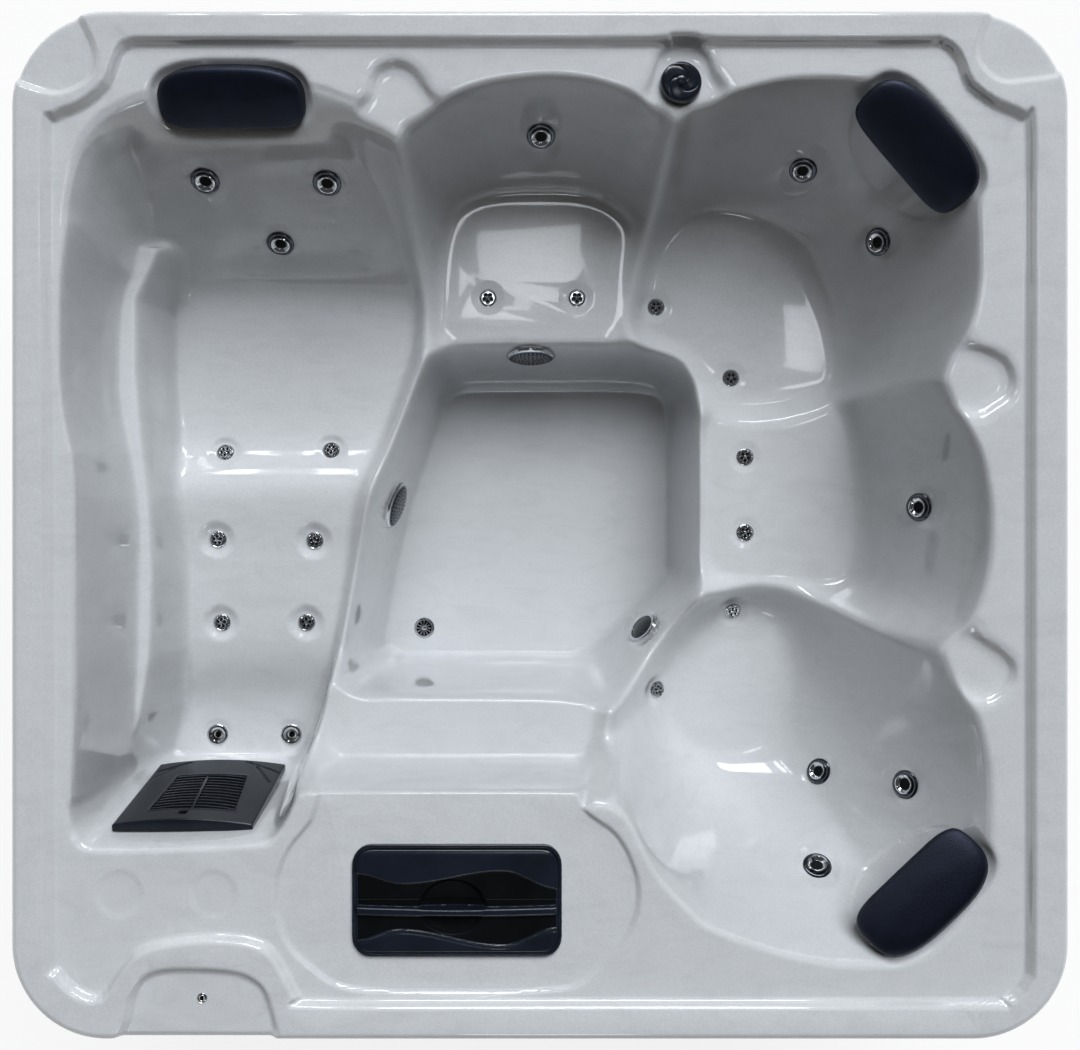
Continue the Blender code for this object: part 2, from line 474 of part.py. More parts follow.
def headrest_seat(x, y, frame):
    """Depth of the leaning seat moulded under a headrest; no depth away from it."""
    out = np.array(frame.to_3x3().col[2])
    middle = np.array(frame.translation)
    plane = HEIGHT - middle[2] + ((x - middle[0]) * out[0] + (y - middle[1]) * out[1]) / out[2]
    along, up = np.array(frame.to_3x3().col[0]), np.array(frame.to_3x3().col[1])
    across = ((x - middle[0]) * along[0] + (y - middle[1]) * along[1]) / (HEADREST_LENGTH / 2)
    lift = ((x - middle[0]) * up[0] + (y - middle[1]) * up[1]) / (up[0] ** 2 + up[1] ** 2)
    inside = 1 - np.maximum(np.abs(across) ** 3, np.abs(lift / (HEADREST_WIDTH / 2)) ** 3)
    edge = np.clip((inside + HEADREST_EDGE_SHARE) / HEADREST_EDGE_SHARE, 0, 1)
    edge = edge * edge * (3 - 2 * edge)
    return plane * edge - RECESS_FILLET * (1 - edge)


def all_fittings():
    """Every round fitting that is seated in a hole through the shell."""
    rows = []
    for seat, jets in JET_PLACE_SHARES.items():
        for number, (x, y, kind) in enumerate(jets, 1):
            rows.append(Fitting(f"jet_{seat}_{number}", (x, y), JET_RADIUS[kind], JET_PAD_RADIUS[kind],
                                JET_PAD_SINK[kind], JET_SLOPE_LIMIT[kind], JET_STEM_RADIUS[kind],
                                SHELL_WALL, JET_CROWN, JET_SIDES[kind]))
    for name, (place, radius, pad, slope) in FOOTWELL_FITTINGS.items():
        rows.append(Fitting(name, place, radius, pad, 0.0, slope, radius * FITTING_STEM_SHARE,
                            FITTING_STEM_LENGTH, FITTING_CROWN[name], FITTING_SIDES))
    rows.append(Fitting("diverter_knob", KNOB_PLACE_SHARES, KNOB_RADIUS, KNOB_PAD_RADIUS, 0.0, 0.0,
                        DIVERTER_STEM_RADIUS, DIVERTER_STEM_LENGTH, KNOB_HEIGHT, KNOB_SIDES))
    rows.append(Fitting("panel_air_valve", PANEL_FITTING_PLACE_SHARES, PANEL_FITTING_RADIUS, PANEL_PAD_RADIUS,
                        0.0, 0.0, PANEL_FITTING_STEM_RADIUS, DIVERTER_STEM_LENGTH, JET_CROWN, FITTING_SIDES))
    return rows


def seat_frames(fittings):
    """Matrix of each fitting's flat seat: origin on the acrylic, +Z out of it."""
    x, y = np.array([half_plan(fitting.place) for fitting in fittings]).T
    depth = surface_depth(x, y)
    grade_x = surface_depth(x + GRADIENT_STEP, y) - surface_depth(x - GRADIENT_STEP, y)
    grade_y = surface_depth(x, y + GRADIENT_STEP) - surface_depth(x, y - GRADIENT_STEP)
    frames = {}
    for i, fitting in enumerate(fittings):
        grade = Vector((grade_x[i], grade_y[i])) / (2 * GRADIENT_STEP)
        if grade.length > fitting.slope:
            grade *= fitting.slope / grade.length
        out = Vector((grade.x, grade.y, 1.0))
        turn = out.to_track_quat("Z", "Y").to_matrix().to_4x4()
        spot = Matrix.Translation((x[i], y[i], HEIGHT - depth[i] - fitting.sink))
        frames[fitting.name] = spot @ turn
    return frames


def padded_depth(x, y, fittings, frames):
    """Depth of the acrylic surface with a flat pad moulded round every fitting."""
    depth = surface_depth(x, y)
    for fitting in fittings:
        out = frames[fitting.name].to_3x3().col[2]
        middle = frames[fitting.name].translation
        drop = ((x - middle.x) * out.x + (y - middle.y) * out.y) / out.z
        reach = np.sqrt((x - middle.x) ** 2 + (y - middle.y) ** 2 + drop ** 2)
        mix = np.clip((fitting.pad - reach) / (fitting.pad - fitting.radius), 0, 1)
        depth = depth + mix * mix * (3 - 2 * mix) * (HEIGHT - middle.z + drop - depth)
    return depth


def on_rounded_outline(a, b, inset):
    """Plan point at the square coordinates (a, b), each -1 to 1, of an outline inset from the tub's."""
    half_x, half_y = LENGTH / 2 - inset, WIDTH / 2 - inset
    radius = max(CORNER_RADIUS - inset, EDGE_RADIUS)
    reach = np.maximum(np.abs(a), np.abs(b))
    reach = np.where(reach == 0, 1.0, reach)
    x, y = half_x * np.abs(a) / reach, half_y * np.abs(b) / reach
    corner_x, corner_y = half_x - radius, half_y - radius
    lead = np.where(x + y == 0, 1.0, x * x + y * y)
    dot = x * corner_x + y * corner_y
    inner = dot * dot - lead * (corner_x ** 2 + corner_y ** 2 - radius ** 2)
    share = np.where((x > corner_x) & (y > corner_y), (dot + np.sqrt(np.maximum(inner, 0))) / lead, 1.0)
    share = np.minimum(share, 1.0)
    return a * half_x * share, b * half_y * share


def new_object(name, mesh, material, matrix=None):
    """A named object in the tub's collection."""
    obj = bpy.data.objects.new(name, mesh)
    bpy.data.collections[COLLECTION_NAME].objects.link(obj)
    obj.matrix_world = matrix or Matrix()
    mesh.materials.append(material)
    mesh.set_sharp_from_angle(angle=math.radians(35))
    return obj


def new_cutter(name, mesh, matrix=None):
    """A guide solid that cuts or joins, hidden from the render."""
    obj = bpy.data.objects.new(name, mesh)
    bpy.data.collections[CUTTER_COLLECTION_NAME].objects.link(obj)
    obj.matrix_world = matrix or Matrix()
    obj.hide_render = True
    obj.display_type = "WIRE"
    return obj


def boolean(obj, other, operation, solver="EXACT"):
    modifier = obj.modifiers.new(operation.title(), "BOOLEAN")
    modifier.operation = operation
    modifier.object = other
    modifier.solver = solver


def material(name, colour, roughness, metallic=0.0):
    made = bpy.data.materials.new(name)
    made.use_nodes = True
    shader = made.node_tree.nodes["Principled BSDF"]
    shader.inputs["Base Color"].default_value = (*colour, 1.0)
    shader.inputs["Roughness"].default_value = roughness
    shader.inputs["Metallic"].default_value = metallic
    return made


def finish_mesh(bm, name):
    bmesh.ops.recalc_face_normals(bm, faces=bm.faces[:])
    mesh = bpy.data.meshes.new(name)
    bm.to_mesh(mesh)
    bm.free()
    for polygon in mesh.polygons:
        polygon.use_smooth = True
    return mesh


def turned(profile, sides, matrix=None, bm=None):
    """Spin a profile of (radius, height) points about the Z axis; radius zero closes an end."""
    target = bm or bmesh.new()
    piece = bmesh.new()
    verts = [piece.verts.new((r, 0.0, z)) for r, z in profile]
    edges = [piece.edges.new(pair) for pair in zip(verts, verts[1:])]
    bmesh.ops.spin(piece, geom=verts + edges, cent=(0, 0, 0), axis=(0, 0, 1), angle=math.tau,
                   steps=sides, use_merge=True)
    bmesh.ops.remove_doubles(piece, verts=piece.verts[:], dist=CLEARANCE / 10)
    bmesh.ops.recalc_face_normals(piece, faces=piece.faces[:])
    bmesh.ops.transform(piece, matrix=matrix or Matrix(), verts=piece.verts[:])
    scratch = bpy.data.meshes.new("turned")
    piece.to_mesh(scratch)
    piece.free()
    target.from_mesh(scratch)
    bpy.data.meshes.remove(scratch)
    return target


def rounded_points(size_x, size_y, radius, steps=4):
    """Points round a rounded rectangle, anticlockwise."""
    points = []
    for corner, (sx, sy) in enumerate(((1, 1), (-1, 1), (-1, -1), (1, -1))):
        for step in range(steps + 1):
            angle = math.pi / 2 * (corner + step / steps)
            points.append((sx * (size_x / 2 - radius) + radius * math.cos(angle),
                           sy * (size_y / 2 - radius) + radius * math.sin(angle)))
    return points


def stacked(levels, closed=False, bm=None, steps=4):
    """Rounded rectangles (length, width, corner, height) skinned in order; ends capped or joined."""
    bm = bm or bmesh.new()
    loops = []
    for size_x, size_y, radius, z in levels:
        loops.append([bm.verts.new((x, y, z)) for x, y in rounded_points(size_x, size_y, radius, steps)])
    pairs = list(zip(loops, loops[1:])) + ([(loops[-1], loops[0])] if closed else [])
    for lower, upper in pairs:
        for i in range(len(lower)):
            j = (i + 1) % len(lower)
            bm.faces.new((lower[i], lower[j], upper[j], upper[i]))
    if not closed:
        bm.faces.new(loops[0][::-1])
        bm.faces.new(loops[-1])
    return bm


def bent(points, radius):
    """The points with each inner corner rounded into a short bend."""
    points = [Vector(point) for point in points]
    path = [points[0]]
    for before, corner, after in zip(points, points[1:], points[2:]):
        into = (before - corner).normalized() * min(radius, (before - corner).length / 2.1)
        away = (after - corner).normalized() * min(radius, (after - corner).length / 2.1)
        for step in range(BEND_STEPS + 1):
            t = step / BEND_STEPS
            path.append(corner + into * (1 - t) ** 2 + away * t ** 2)
    return path + [points[-1]]


def tube_mesh(name, points, radius, bend=None, closed=False):
    """A round tube along the points, as a closed mesh."""
    path = [Vector(point) for point in points] if bend is None else bent(points, bend)
    curve = bpy.data.curves.new(name, "CURVE")
    curve.dimensions = "3D"
    curve.bevel_depth = radius
    curve.bevel_resolution = PIPE_SIDES // 2 - 2
    curve.use_fill_caps = not closed
    line = curve.splines.new("POLY")
    line.points.add(len(path) - 1)
    line.use_cyclic_u = closed
    for point, place in zip(line.points, path):
        point.co = (*place, 1.0)
    guide = bpy.data.objects.new(name, curve)
    bpy.data.collections[CUTTER_COLLECTION_NAME].objects.link(guide)
    graph = bpy.context.evaluated_depsgraph_get()
    mesh = bpy.data.meshes.new_from_object(guide.evaluated_get(graph))
    bpy.data.objects.remove(guide)
    bpy.data.curves.remove(curve)
    bm = bmesh.new()
    bm.from_mesh(mesh)
    bpy.data.meshes.remove(mesh)
    bmesh.ops.remove_doubles(bm, verts=bm.verts[:], dist=CLEARANCE / 10)
    return finish_mesh(bm, name)


def shell_mesh(fittings, frames):
    """The moulded shell as a closed solid: upper skin, turned-down lip and underside."""
    columns, rows = round(LENGTH / GRID_PITCH), round(WIDTH / GRID_PITCH)
    a, b = np.meshgrid(np.linspace(-1, 1, columns + 1), np.linspace(-1, 1, rows + 1), indexing="ij")
    x, y = on_rounded_outline(a, b, EDGE_RADIUS)
    depth = padded_depth(x, y, fittings, frames)
    along = np.gradient(depth, axis=0) / np.hypot(np.gradient(x, axis=0), np.gradient(y, axis=0))
    across = np.gradient(depth, axis=1) / np.hypot(np.gradient(x, axis=1), np.gradient(y, axis=1))
    lowest = depth.copy()
    for axis in (0, 1):
        padded = np.pad(lowest, 1, mode="edge")
        for shift in (0, 2):
            window = padded[shift:shift + lowest.shape[0], 1:-1] if axis == 0 else \
                padded[1:-1, shift:shift + lowest.shape[1]]
            lowest = np.maximum(lowest, window)
    under = np.minimum(depth + SHELL_WALL * np.sqrt(1 + along ** 2 + across ** 2), lowest + SHELL_WALL)
    number = np.arange(a.size).reshape(a.shape)
    quads = np.stack([number[:-1, :-1], number[1:, :-1], number[1:, 1:], number[:-1, 1:]], -1).reshape(-1, 4)
    border = np.concatenate([number[:-1, 0], number[-1, :-1], number[:0:-1, -1], number[0, :0:-1]])
    edge_a, edge_b, edge_depth = (field.ravel()[border] for field in (a, b, depth))
    loops, points = [border], [np.stack([x, y, HEIGHT - depth], -1).reshape(-1, 3)]
    top_of_lip = HEIGHT - edge_depth - EDGE_RADIUS
    levels = []
    for angle in np.radians((30, 60, 90)):
        levels.append((EDGE_RADIUS * (1 - math.sin(angle)), top_of_lip + EDGE_RADIUS * math.cos(angle)))
    levels += [(0.0, HEIGHT - LIP_DEPTH + 0 * edge_depth), (SHELL_WALL, HEIGHT - LIP_DEPTH + 0 * edge_depth),
               (SHELL_WALL, top_of_lip)]
    count = a.size
    for inset, z in levels:
        edge_x, edge_y = on_rounded_outline(edge_a, edge_b, inset)
        points.append(np.stack([edge_x, edge_y, z], -1))
        loops.append(np.arange(count, count + len(border)))
        count += len(border)
    points.append(np.stack([x, y, HEIGHT - under], -1).reshape(-1, 3))
    loops.append(border + count)
    faces = [quads, quads[:, ::-1] + count]
    for inner, outer in zip(loops, loops[1:]):
        faces.append(np.stack([inner, outer, np.roll(outer, -1), np.roll(inner, -1)], -1))
    mesh = bpy.data.meshes.new("acrylic_shell")
    mesh.from_pydata(np.concatenate(points).tolist(), [], np.concatenate(faces).tolist())
    return mesh


def thinned(dense):
    """The moulding with as few faces as its curves need, and its rim lying in one plane."""
    guide = new_cutter("shell_guide", dense)
    thin = guide.modifiers.new("Decimate", "DECIMATE")
    thin.ratio = SHELL_KEEP_SHARE
    graph = bpy.context.evaluated_depsgraph_get()
    mesh = bpy.data.meshes.new_from_object(guide.evaluated_get(graph))
    bpy.data.objects.remove(guide)
    for vertex in mesh.vertices:
        if HEIGHT - vertex.co.z < RIM_FLATNESS:
            vertex.co.z = HEIGHT
    return mesh


def pocket_radius(radius, sides):
    """Radius of a faceted pocket that clears a faceted disc of the given radius at any turn."""
    return (radius + CLEARANCE) / math.cos(math.pi / sides)


def shell_cutter(fittings, frames):
    """One stepped cut per fitting: its flat seat and the hole for its stem and the body behind."""
    bm = bmesh.new()
    for fitting in fittings:
        seat = pocket_radius(fitting.radius, fitting.sides)
        hole = pocket_radius(fitting.stem, fitting.sides)
        length = fitting.length + BODY_LENGTH
        profile = [(0, CUT_HEIGHT), (seat, CUT_HEIGHT), (seat, -JET_SEAT_SINK), (hole, -JET_SEAT_SINK),
                   (hole, -length), (0, -length)]
        turned(profile, fitting.sides, frames[fitting.name], bm)
    return new_cutter("fitting_cuts", finish_mesh(bm, "fitting_cuts"))


def add_shell(paint, fittings, frames):
    shell = new_object("acrylic_shell", thinned(shell_mesh(fittings, frames)), paint["acrylic"])
    boolean(shell, shell_cutter(fittings, frames), "DIFFERENCE", "MANIFOLD")
    x, y = half_plan(FILTER_PLACE_SHARES)
    hole = (WELL_SIZE[0] + 2 * CLEARANCE, WELL_SIZE[1] + 2 * CLEARANCE, WELL_CORNER)
    deck_height = HEIGHT - FILTER_DECK_DEPTH
    seat = (FLANGE_SIZE[0] + 2 * CLEARANCE, FLANGE_SIZE[1] + 2 * CLEARANCE, FLANGE_CORNER)
    well = stacked([(*hole, deck_height - CUT_HEIGHT), (*hole, deck_height - CLEARANCE),
                    (*seat, deck_height - CLEARANCE), (*seat, deck_height + CUT_HEIGHT)])
    boolean(shell, new_cutter("well_cut", finish_mesh(well, "well_cut"), Matrix.Translation((x, y, 0))),
            "DIFFERENCE", "MANIFOLD")
    plate = (GRILLE_WIDTH + 2 * CLEARANCE, GRILLE_LENGTH + 2 * CLEARANCE, CLEARANCE)
    opening = (FOOT_WALL_OPENING, FOOT_WALL_OPENING, GRILLE_THICK)
    wall = stacked([(*opening, -CUT_HEIGHT), (*opening, -JET_SEAT_SINK), (*plate, -JET_SEAT_SINK),
                    (*plate, CUT_HEIGHT)])
    boolean(shell, new_cutter("foot_wall_cut", finish_mesh(wall, "foot_wall_cut"), grille_frame()),
            "DIFFERENCE", "MANIFOLD")
    boolean(shell, headrest_cutter(), "DIFFERENCE", "MANIFOLD")


def grille_frame():
    """Matrix of the foot grille's seat: +Z towards the lounger, +Y up the wall."""
    x, y = half_plan(GRILLE_PLACE_SHARES)
    out = Vector((0.0, 1.0, GRILLE_LEAN_SLOPE)).normalized()
    up = Vector((0.0, -GRILLE_LEAN_SLOPE, 1.0)).normalized()
    turn = Matrix((up.cross(out), up, out)).transposed().to_4x4()
    return Matrix.Translation((x, y, HEIGHT - GRILLE_DEPTH)) @ turn


def add_fitting_faces(paint, fittings, frames):
    """Jet faces, suction covers, drain, light, diverter knob and air valve, each with its stem."""
    for fitting in fittings:
        radius, crown = fitting.radius, fitting.crown
        seat = -JET_SEAT_SINK + CLEARANCE
        if fitting.name == "diverter_knob":
            profile = [(0, crown - KNOB_GRIP_DEPTH), (0.60 * radius, crown - KNOB_GRIP_DEPTH),
                       (0.72 * radius, crown), (0.90 * radius, crown), (radius, 0.80 * crown)]
        elif fitting.name.startswith("jet_"):
            profile = [(0, crown / 4), (0.60 * radius, crown)]
        else:
            profile = [(0, crown), (0.55 * radius, 0.90 * crown), (0.85 * radius, 0.60 * crown)]
        profile += [(radius, crown / 8), (radius, seat), (fitting.stem, seat), (fitting.stem, -fitting.length),
                    (0, -fitting.length)]
        trim = "trim" if fitting.name == "diverter_knob" else "chrome"
        mesh = finish_mesh(turned(profile, fitting.sides), fitting.name)
        new_object(fitting.name, mesh, paint[trim], frames[fitting.name])


def add_filter(paint):
    x, y = half_plan(FILTER_PLACE_SHARES)
    base = HEIGHT - FILTER_DECK_DEPTH
    spot = Matrix.Translation((x, y, base))
    shelf = (FLANGE_SIZE[0] - 2 * FLANGE_RIM, FLANGE_SIZE[1] - 2 * FLANGE_RIM, FLANGE_CORNER - FLANGE_RIM)
    bore = (WELL_SIZE[0] - 2 * WELL_WALL, WELL_SIZE[1] - 2 * WELL_WALL, WELL_CORNER - WELL_WALL)
    top = FLANGE_THICK + FLANGE_RIM_HEIGHT
    housing = stacked([(*WELL_SIZE, WELL_CORNER, -WELL_LENGTH), (*WELL_SIZE, WELL_CORNER, 0),
                       (*FLANGE_SIZE, FLANGE_CORNER, 0), (*FLANGE_SIZE, FLANGE_CORNER, top),
                       (*shelf, top), (*shelf, FLANGE_THICK), (*bore, FLANGE_THICK),
                       (*bore, WELL_WALL - WELL_LENGTH)])
    new_object("skimmer_housing", finish_mesh(housing, "skimmer_housing"), paint["trim"], spot)
    lid = (shelf[0] - 2 * COVER_GAP, shelf[1] - 2 * COVER_GAP, shelf[2] - COVER_GAP)
    cover = stacked([(*lid, 0), (*lid, COVER_THICK)])
    lid_spot = Matrix.Translation((x, y, base + FLANGE_THICK + CLEARANCE))
    lid_object = new_object("filter_cover", finish_mesh(cover, "filter_cover"), paint["trim"], lid_spot)
    grip = stacked([(lid[0] - COVER_GRIP_WIDTH, COVER_GRIP_WIDTH, COVER_GRIP_WIDTH / 4, COVER_THICK / 2),
                    (lid[0] - COVER_GRIP_WIDTH, COVER_GRIP_WIDTH, COVER_GRIP_WIDTH / 4,
                     COVER_THICK + COVER_GRIP_HEIGHT)], steps=2)
    dent = turned([(0, COVER_THICK + COVER_GRIP_HEIGHT / 2), (1, COVER_THICK + COVER_GRIP_HEIGHT / 2),
                   (1, COVER_THICK - FINGER_WELL_DEPTH), (0, COVER_THICK - FINGER_WELL_DEPTH)], FITTING_SIDES,
                  Matrix.Diagonal((*FINGER_WELL_RADII, 1, 1)))
    boolean(lid_object, new_cutter("finger_cut", finish_mesh(dent, "finger_cut"), lid_spot), "DIFFERENCE")
    boolean(lid_object, new_cutter("cover_grip", finish_mesh(grip, "cover_grip"), lid_spot), "UNION")
    for name, side in (("filter_cartridge_left", -1), ("filter_cartridge_right", 1)):
        neck = CARTRIDGE_RADIUS - CARTRIDGE_CAP / 2
        profile = [(0, CARTRIDGE_LENGTH), (CARTRIDGE_RADIUS, CARTRIDGE_LENGTH),
                   (CARTRIDGE_RADIUS, CARTRIDGE_LENGTH - CARTRIDGE_CAP), (neck, CARTRIDGE_LENGTH - CARTRIDGE_CAP),
                   (neck, CARTRIDGE_CAP), (CARTRIDGE_RADIUS, CARTRIDGE_CAP), (CARTRIDGE_RADIUS, 0), (0, 0)]
        place = (x + side * (CARTRIDGE_RADIUS + CARTRIDGE_GAP), y, base - WELL_LENGTH + WELL_WALL + CLEARANCE)
        new_object(name, finish_mesh(turned(profile, CARTRIDGE_SIDES), name), paint["filter"],
                   Matrix.Translation(place))


def add_grille(paint):
    """Foot grille: a plate bowed across its width, with two columns of slots."""
    bm = bmesh.new()
    outline = [(-GRILLE_WIDTH / 2, CLEARANCE - JET_SEAT_SINK), (GRILLE_WIDTH / 2, CLEARANCE - JET_SEAT_SINK)]
    for step in range(9):
        share = 1 - step / 4
        outline.append((share * GRILLE_WIDTH / 2, GRILLE_THICK + GRILLE_BULGE * (1 - share * share)))
    face = bm.faces.new([bm.verts.new((u, -GRILLE_LENGTH / 2, w)) for u, w in outline])
    pushed = bmesh.ops.extrude_face_region(bm, geom=[face])
    moved = [item for item in pushed["geom"] if isinstance(item, bmesh.types.BMVert)]
    bmesh.ops.translate(bm, vec=(0, GRILLE_LENGTH, 0), verts=moved)
    plate = new_object("foot_grille", finish_mesh(bm, "foot_grille"), paint["trim"], grille_frame())
    slots = bmesh.new()
    for row in range(GRILLE_SLOTS):
        for side in (-1, 1):
            along = (row - (GRILLE_SLOTS - 1) / 2) * GRILLE_SLOT_PITCH
            across = side * (GRILLE_SLOT_LENGTH + GRILLE_BAR) / 2
            size = Matrix.Diagonal((GRILLE_SLOT_LENGTH, GRILLE_SLOT_HEIGHT, 4 * CUT_HEIGHT, 1))
            bmesh.ops.create_cube(slots, size=1, matrix=Matrix.Translation((across, along, 0)) @ size)
    boolean(plate, new_cutter("grille_slots", finish_mesh(slots, "grille_slots"), grille_frame()), "DIFFERENCE")


def headrest_ring(bm, grow_x, grow_y, height, matrix=None):
    """One loop round a headrest, its outline grown by the given lengths."""
    half_x, half_y = HEADREST_LENGTH / 2 + grow_x, HEADREST_WIDTH / 2 + grow_y
    matrix = matrix or Matrix()
    return [bm.verts.new(matrix @ Vector((-u * half_x, v * half_y, height))) for u, v in HEADREST_OUTLINE_SHARES]


def skin_rings(bm, loops):
    for lower, upper in zip(loops, loops[1:]):
        for i in range(len(lower)):
            j = (i + 1) % len(lower)
            bm.faces.new((lower[i], lower[j], upper[j], upper[i]))
    bm.faces.new(loops[0][::-1])


def headrest_cutter():
    """The flat seats that the headrests lie in, open upwards along their pull."""
    bm = bmesh.new()
    for frame in headrest_frames().values():
        loops = []
        for height in (-HEADREST_SINK, 2 * HEADREST_THICK):
            loops.append(headrest_ring(bm, CLEARANCE, CLEARANCE, height, frame))
        skin_rings(bm, loops)
        bm.faces.new(loops[-1])
    return new_cutter("headrest_seats", finish_mesh(bm, "headrest_seats"))


def add_headrests(paint):
    """Soft headrests: flat backs, crowned on top, drawn in round the sides."""
    half_x, half_y = HEADREST_LENGTH / 2, HEADREST_WIDTH / 2
    rings = ((0, 0, 0.00), (0, 0, 0.20), (-HEADREST_DRAW, -HEADREST_DRAW, 0.42), (0, 0, 0.66),
             (-0.20 * half_x, -0.28 * half_y, 1.00))
    base = CLEARANCE - HEADREST_SINK
    for name, frame in headrest_frames().items():
        bm = bmesh.new()
        loops = []
        for grow_x, grow_y, share in rings:
            loops.append(headrest_ring(bm, grow_x, grow_y, base + share * HEADREST_THICK))
        skin_rings(bm, loops)
        crown = bm.verts.new((0, 0, base + 1.04 * HEADREST_THICK))
        for i in range(len(loops[-1])):
            bm.faces.new((loops[-1][i], loops[-1][(i + 1) % len(loops[-1])], crown))
        crease = bm.edges.layers.float.new("crease_edge")
        for i in range(len(loops[0])):
            bm.edges.get((loops[0][i - 1], loops[0][i]))[crease] = 1.0
        pillow = new_object(name, finish_mesh(bm, name), paint["cushion"], frame)
        soft = pillow.modifiers.new("Subdivision", "SUBSURF")
        soft.levels = 1
        soft.render_levels = 1


def ring_levels(outer_inset, inner_inset, bottom, top):
    """Levels of an upright wall that follows the tub's outline between two insets."""
    sizes = []
    for inset in (outer_inset, inner_inset):
        sizes.append((LENGTH - 2 * inset, WIDTH - 2 * inset, max(CORNER_RADIUS - inset, EDGE_RADIUS)))
    return [(*sizes[0], bottom), (*sizes[0], top), (*sizes[1], top), (*sizes[1], bottom)]


def trimmed(loop, order):
    """The stretch of a loop in the given order, shortened at both ends by half the clearance."""
    line = [Vector(loop[index]) for index in order]
    line[0] = line[0] + (line[1] - line[0]).normalized() * CLEARANCE / 2
    line[-1] = line[-1] + (line[-2] - line[-1]).normalized() * CLEARANCE / 2
    return line


def add_cabinet(paint):
    """Base tray, support frame and four wrap-round side panels."""
    outer = (LENGTH - 2 * PANEL_INSET, WIDTH - 2 * PANEL_INSET, CORNER_RADIUS - PANEL_INSET)
    wall = PANEL_INSET + PANEL_THICK
    inner = (LENGTH - 2 * wall, WIDTH - 2 * wall, CORNER_RADIUS - wall)
    tray = stacked([(*outer, 0), (*outer, TRAY_HEIGHT), (*inner, TRAY_HEIGHT), (*inner, TRAY_FLOOR)])
    tray_object = new_object("base_tray", finish_mesh(tray, "base_tray"), paint["cabinet"])
    plinth_top = FOOTWELL_FLOOR_HEIGHT - SHELL_WALL - CLEARANCE
    plinth = bmesh.new()
    bmesh.ops.create_cube(plinth, size=1, matrix=Matrix.Translation((0, 0, (plinth_top + TRAY_FLOOR / 2) / 2)) @
                          Matrix.Diagonal((*PLINTH_SIZE, plinth_top - TRAY_FLOOR / 2, 1)))
    boolean(tray_object, new_cutter("plinth", finish_mesh(plinth, "plinth")), "UNION")
    frame_top = HEIGHT - FRAME_DROP
    frame_inset = wall + CLEARANCE
    ring = stacked(ring_levels(frame_inset, frame_inset + FRAME_THICK, TRAY_FLOOR + CLEARANCE, frame_top),
                   closed=True)
    frame = new_object("cabinet_frame", finish_mesh(ring, "cabinet_frame"), paint["frame"])
    low, high = TRAY_FLOOR + RAIL_HEIGHT, frame_top - RAIL_HEIGHT
    span_x, span_y = LENGTH - 2 * CORNER_RADIUS, WIDTH - 2 * CORNER_RADIUS
    for span, reach, turn in ((span_x, WIDTH, 0), (span_y, LENGTH, math.pi / 2)):
        width = span / WINDOWS_PER_SIDE - POST_WIDTH
        for number in range(WINDOWS_PER_SIDE):
            middle = (number - (WINDOWS_PER_SIDE - 1) / 2) * (width + POST_WIDTH)
            place = Matrix.Rotation(turn, 4, "Z") @ Matrix.Translation((middle, 0, (low + high) / 2))
            size = Matrix.Diagonal((width, reach, high - low, 1))
            cut = bmesh.new()
            bmesh.ops.create_cube(cut, size=1, matrix=place @ size)
            window = new_cutter(f"window_{turn:.0f}_{number}", finish_mesh(cut, "window"))
            boolean(frame, window, "DIFFERENCE")
    top = HEIGHT - LIP_DEPTH + PANEL_TUCK
    wall_loop = rounded_points(*outer, PANEL_STEPS)
    back_loop = rounded_points(*inner, PANEL_STEPS)
    side_points = PANEL_STEPS + 1
    middle_of_corner = PANEL_STEPS // 2
    for side, name in enumerate(("panel_back", "panel_left", "panel_front", "panel_right")):
        start = side * side_points + middle_of_corner
        order = [(start + step) % len(wall_loop) for step in range(side_points + 1)]
        bm = bmesh.new()
        outer_line, inner_line = trimmed(wall_loop, order), trimmed(back_loop, order)
        columns = []
        for (ox, oy), (ix, iy) in zip(outer_line, inner_line):
            columns.append([bm.verts.new(point) for point in (
                (ox, oy, TRAY_HEIGHT + CLEARANCE), (ox, oy, top), (ix, iy, top), (ix, iy, TRAY_HEIGHT + CLEARANCE))])
        for before, after in zip(columns, columns[1:]):
            for i in range(4):
                j = (i + 1) % 4
                bm.faces.new((before[i], before[j], after[j], after[i]))
        bm.faces.new(columns[0][::-1])
        bm.faces.new(columns[-1])
        new_object(name, finish_mesh(bm, name), paint["cabinet"])


def body_profile(fitting, length):
    """Profile of the body behind the shell, in line with the fitting's stem."""
    face = -fitting.length - CLEARANCE
    return [(0, face), (fitting.stem, face), (fitting.stem, face - length), (0, face - length)]


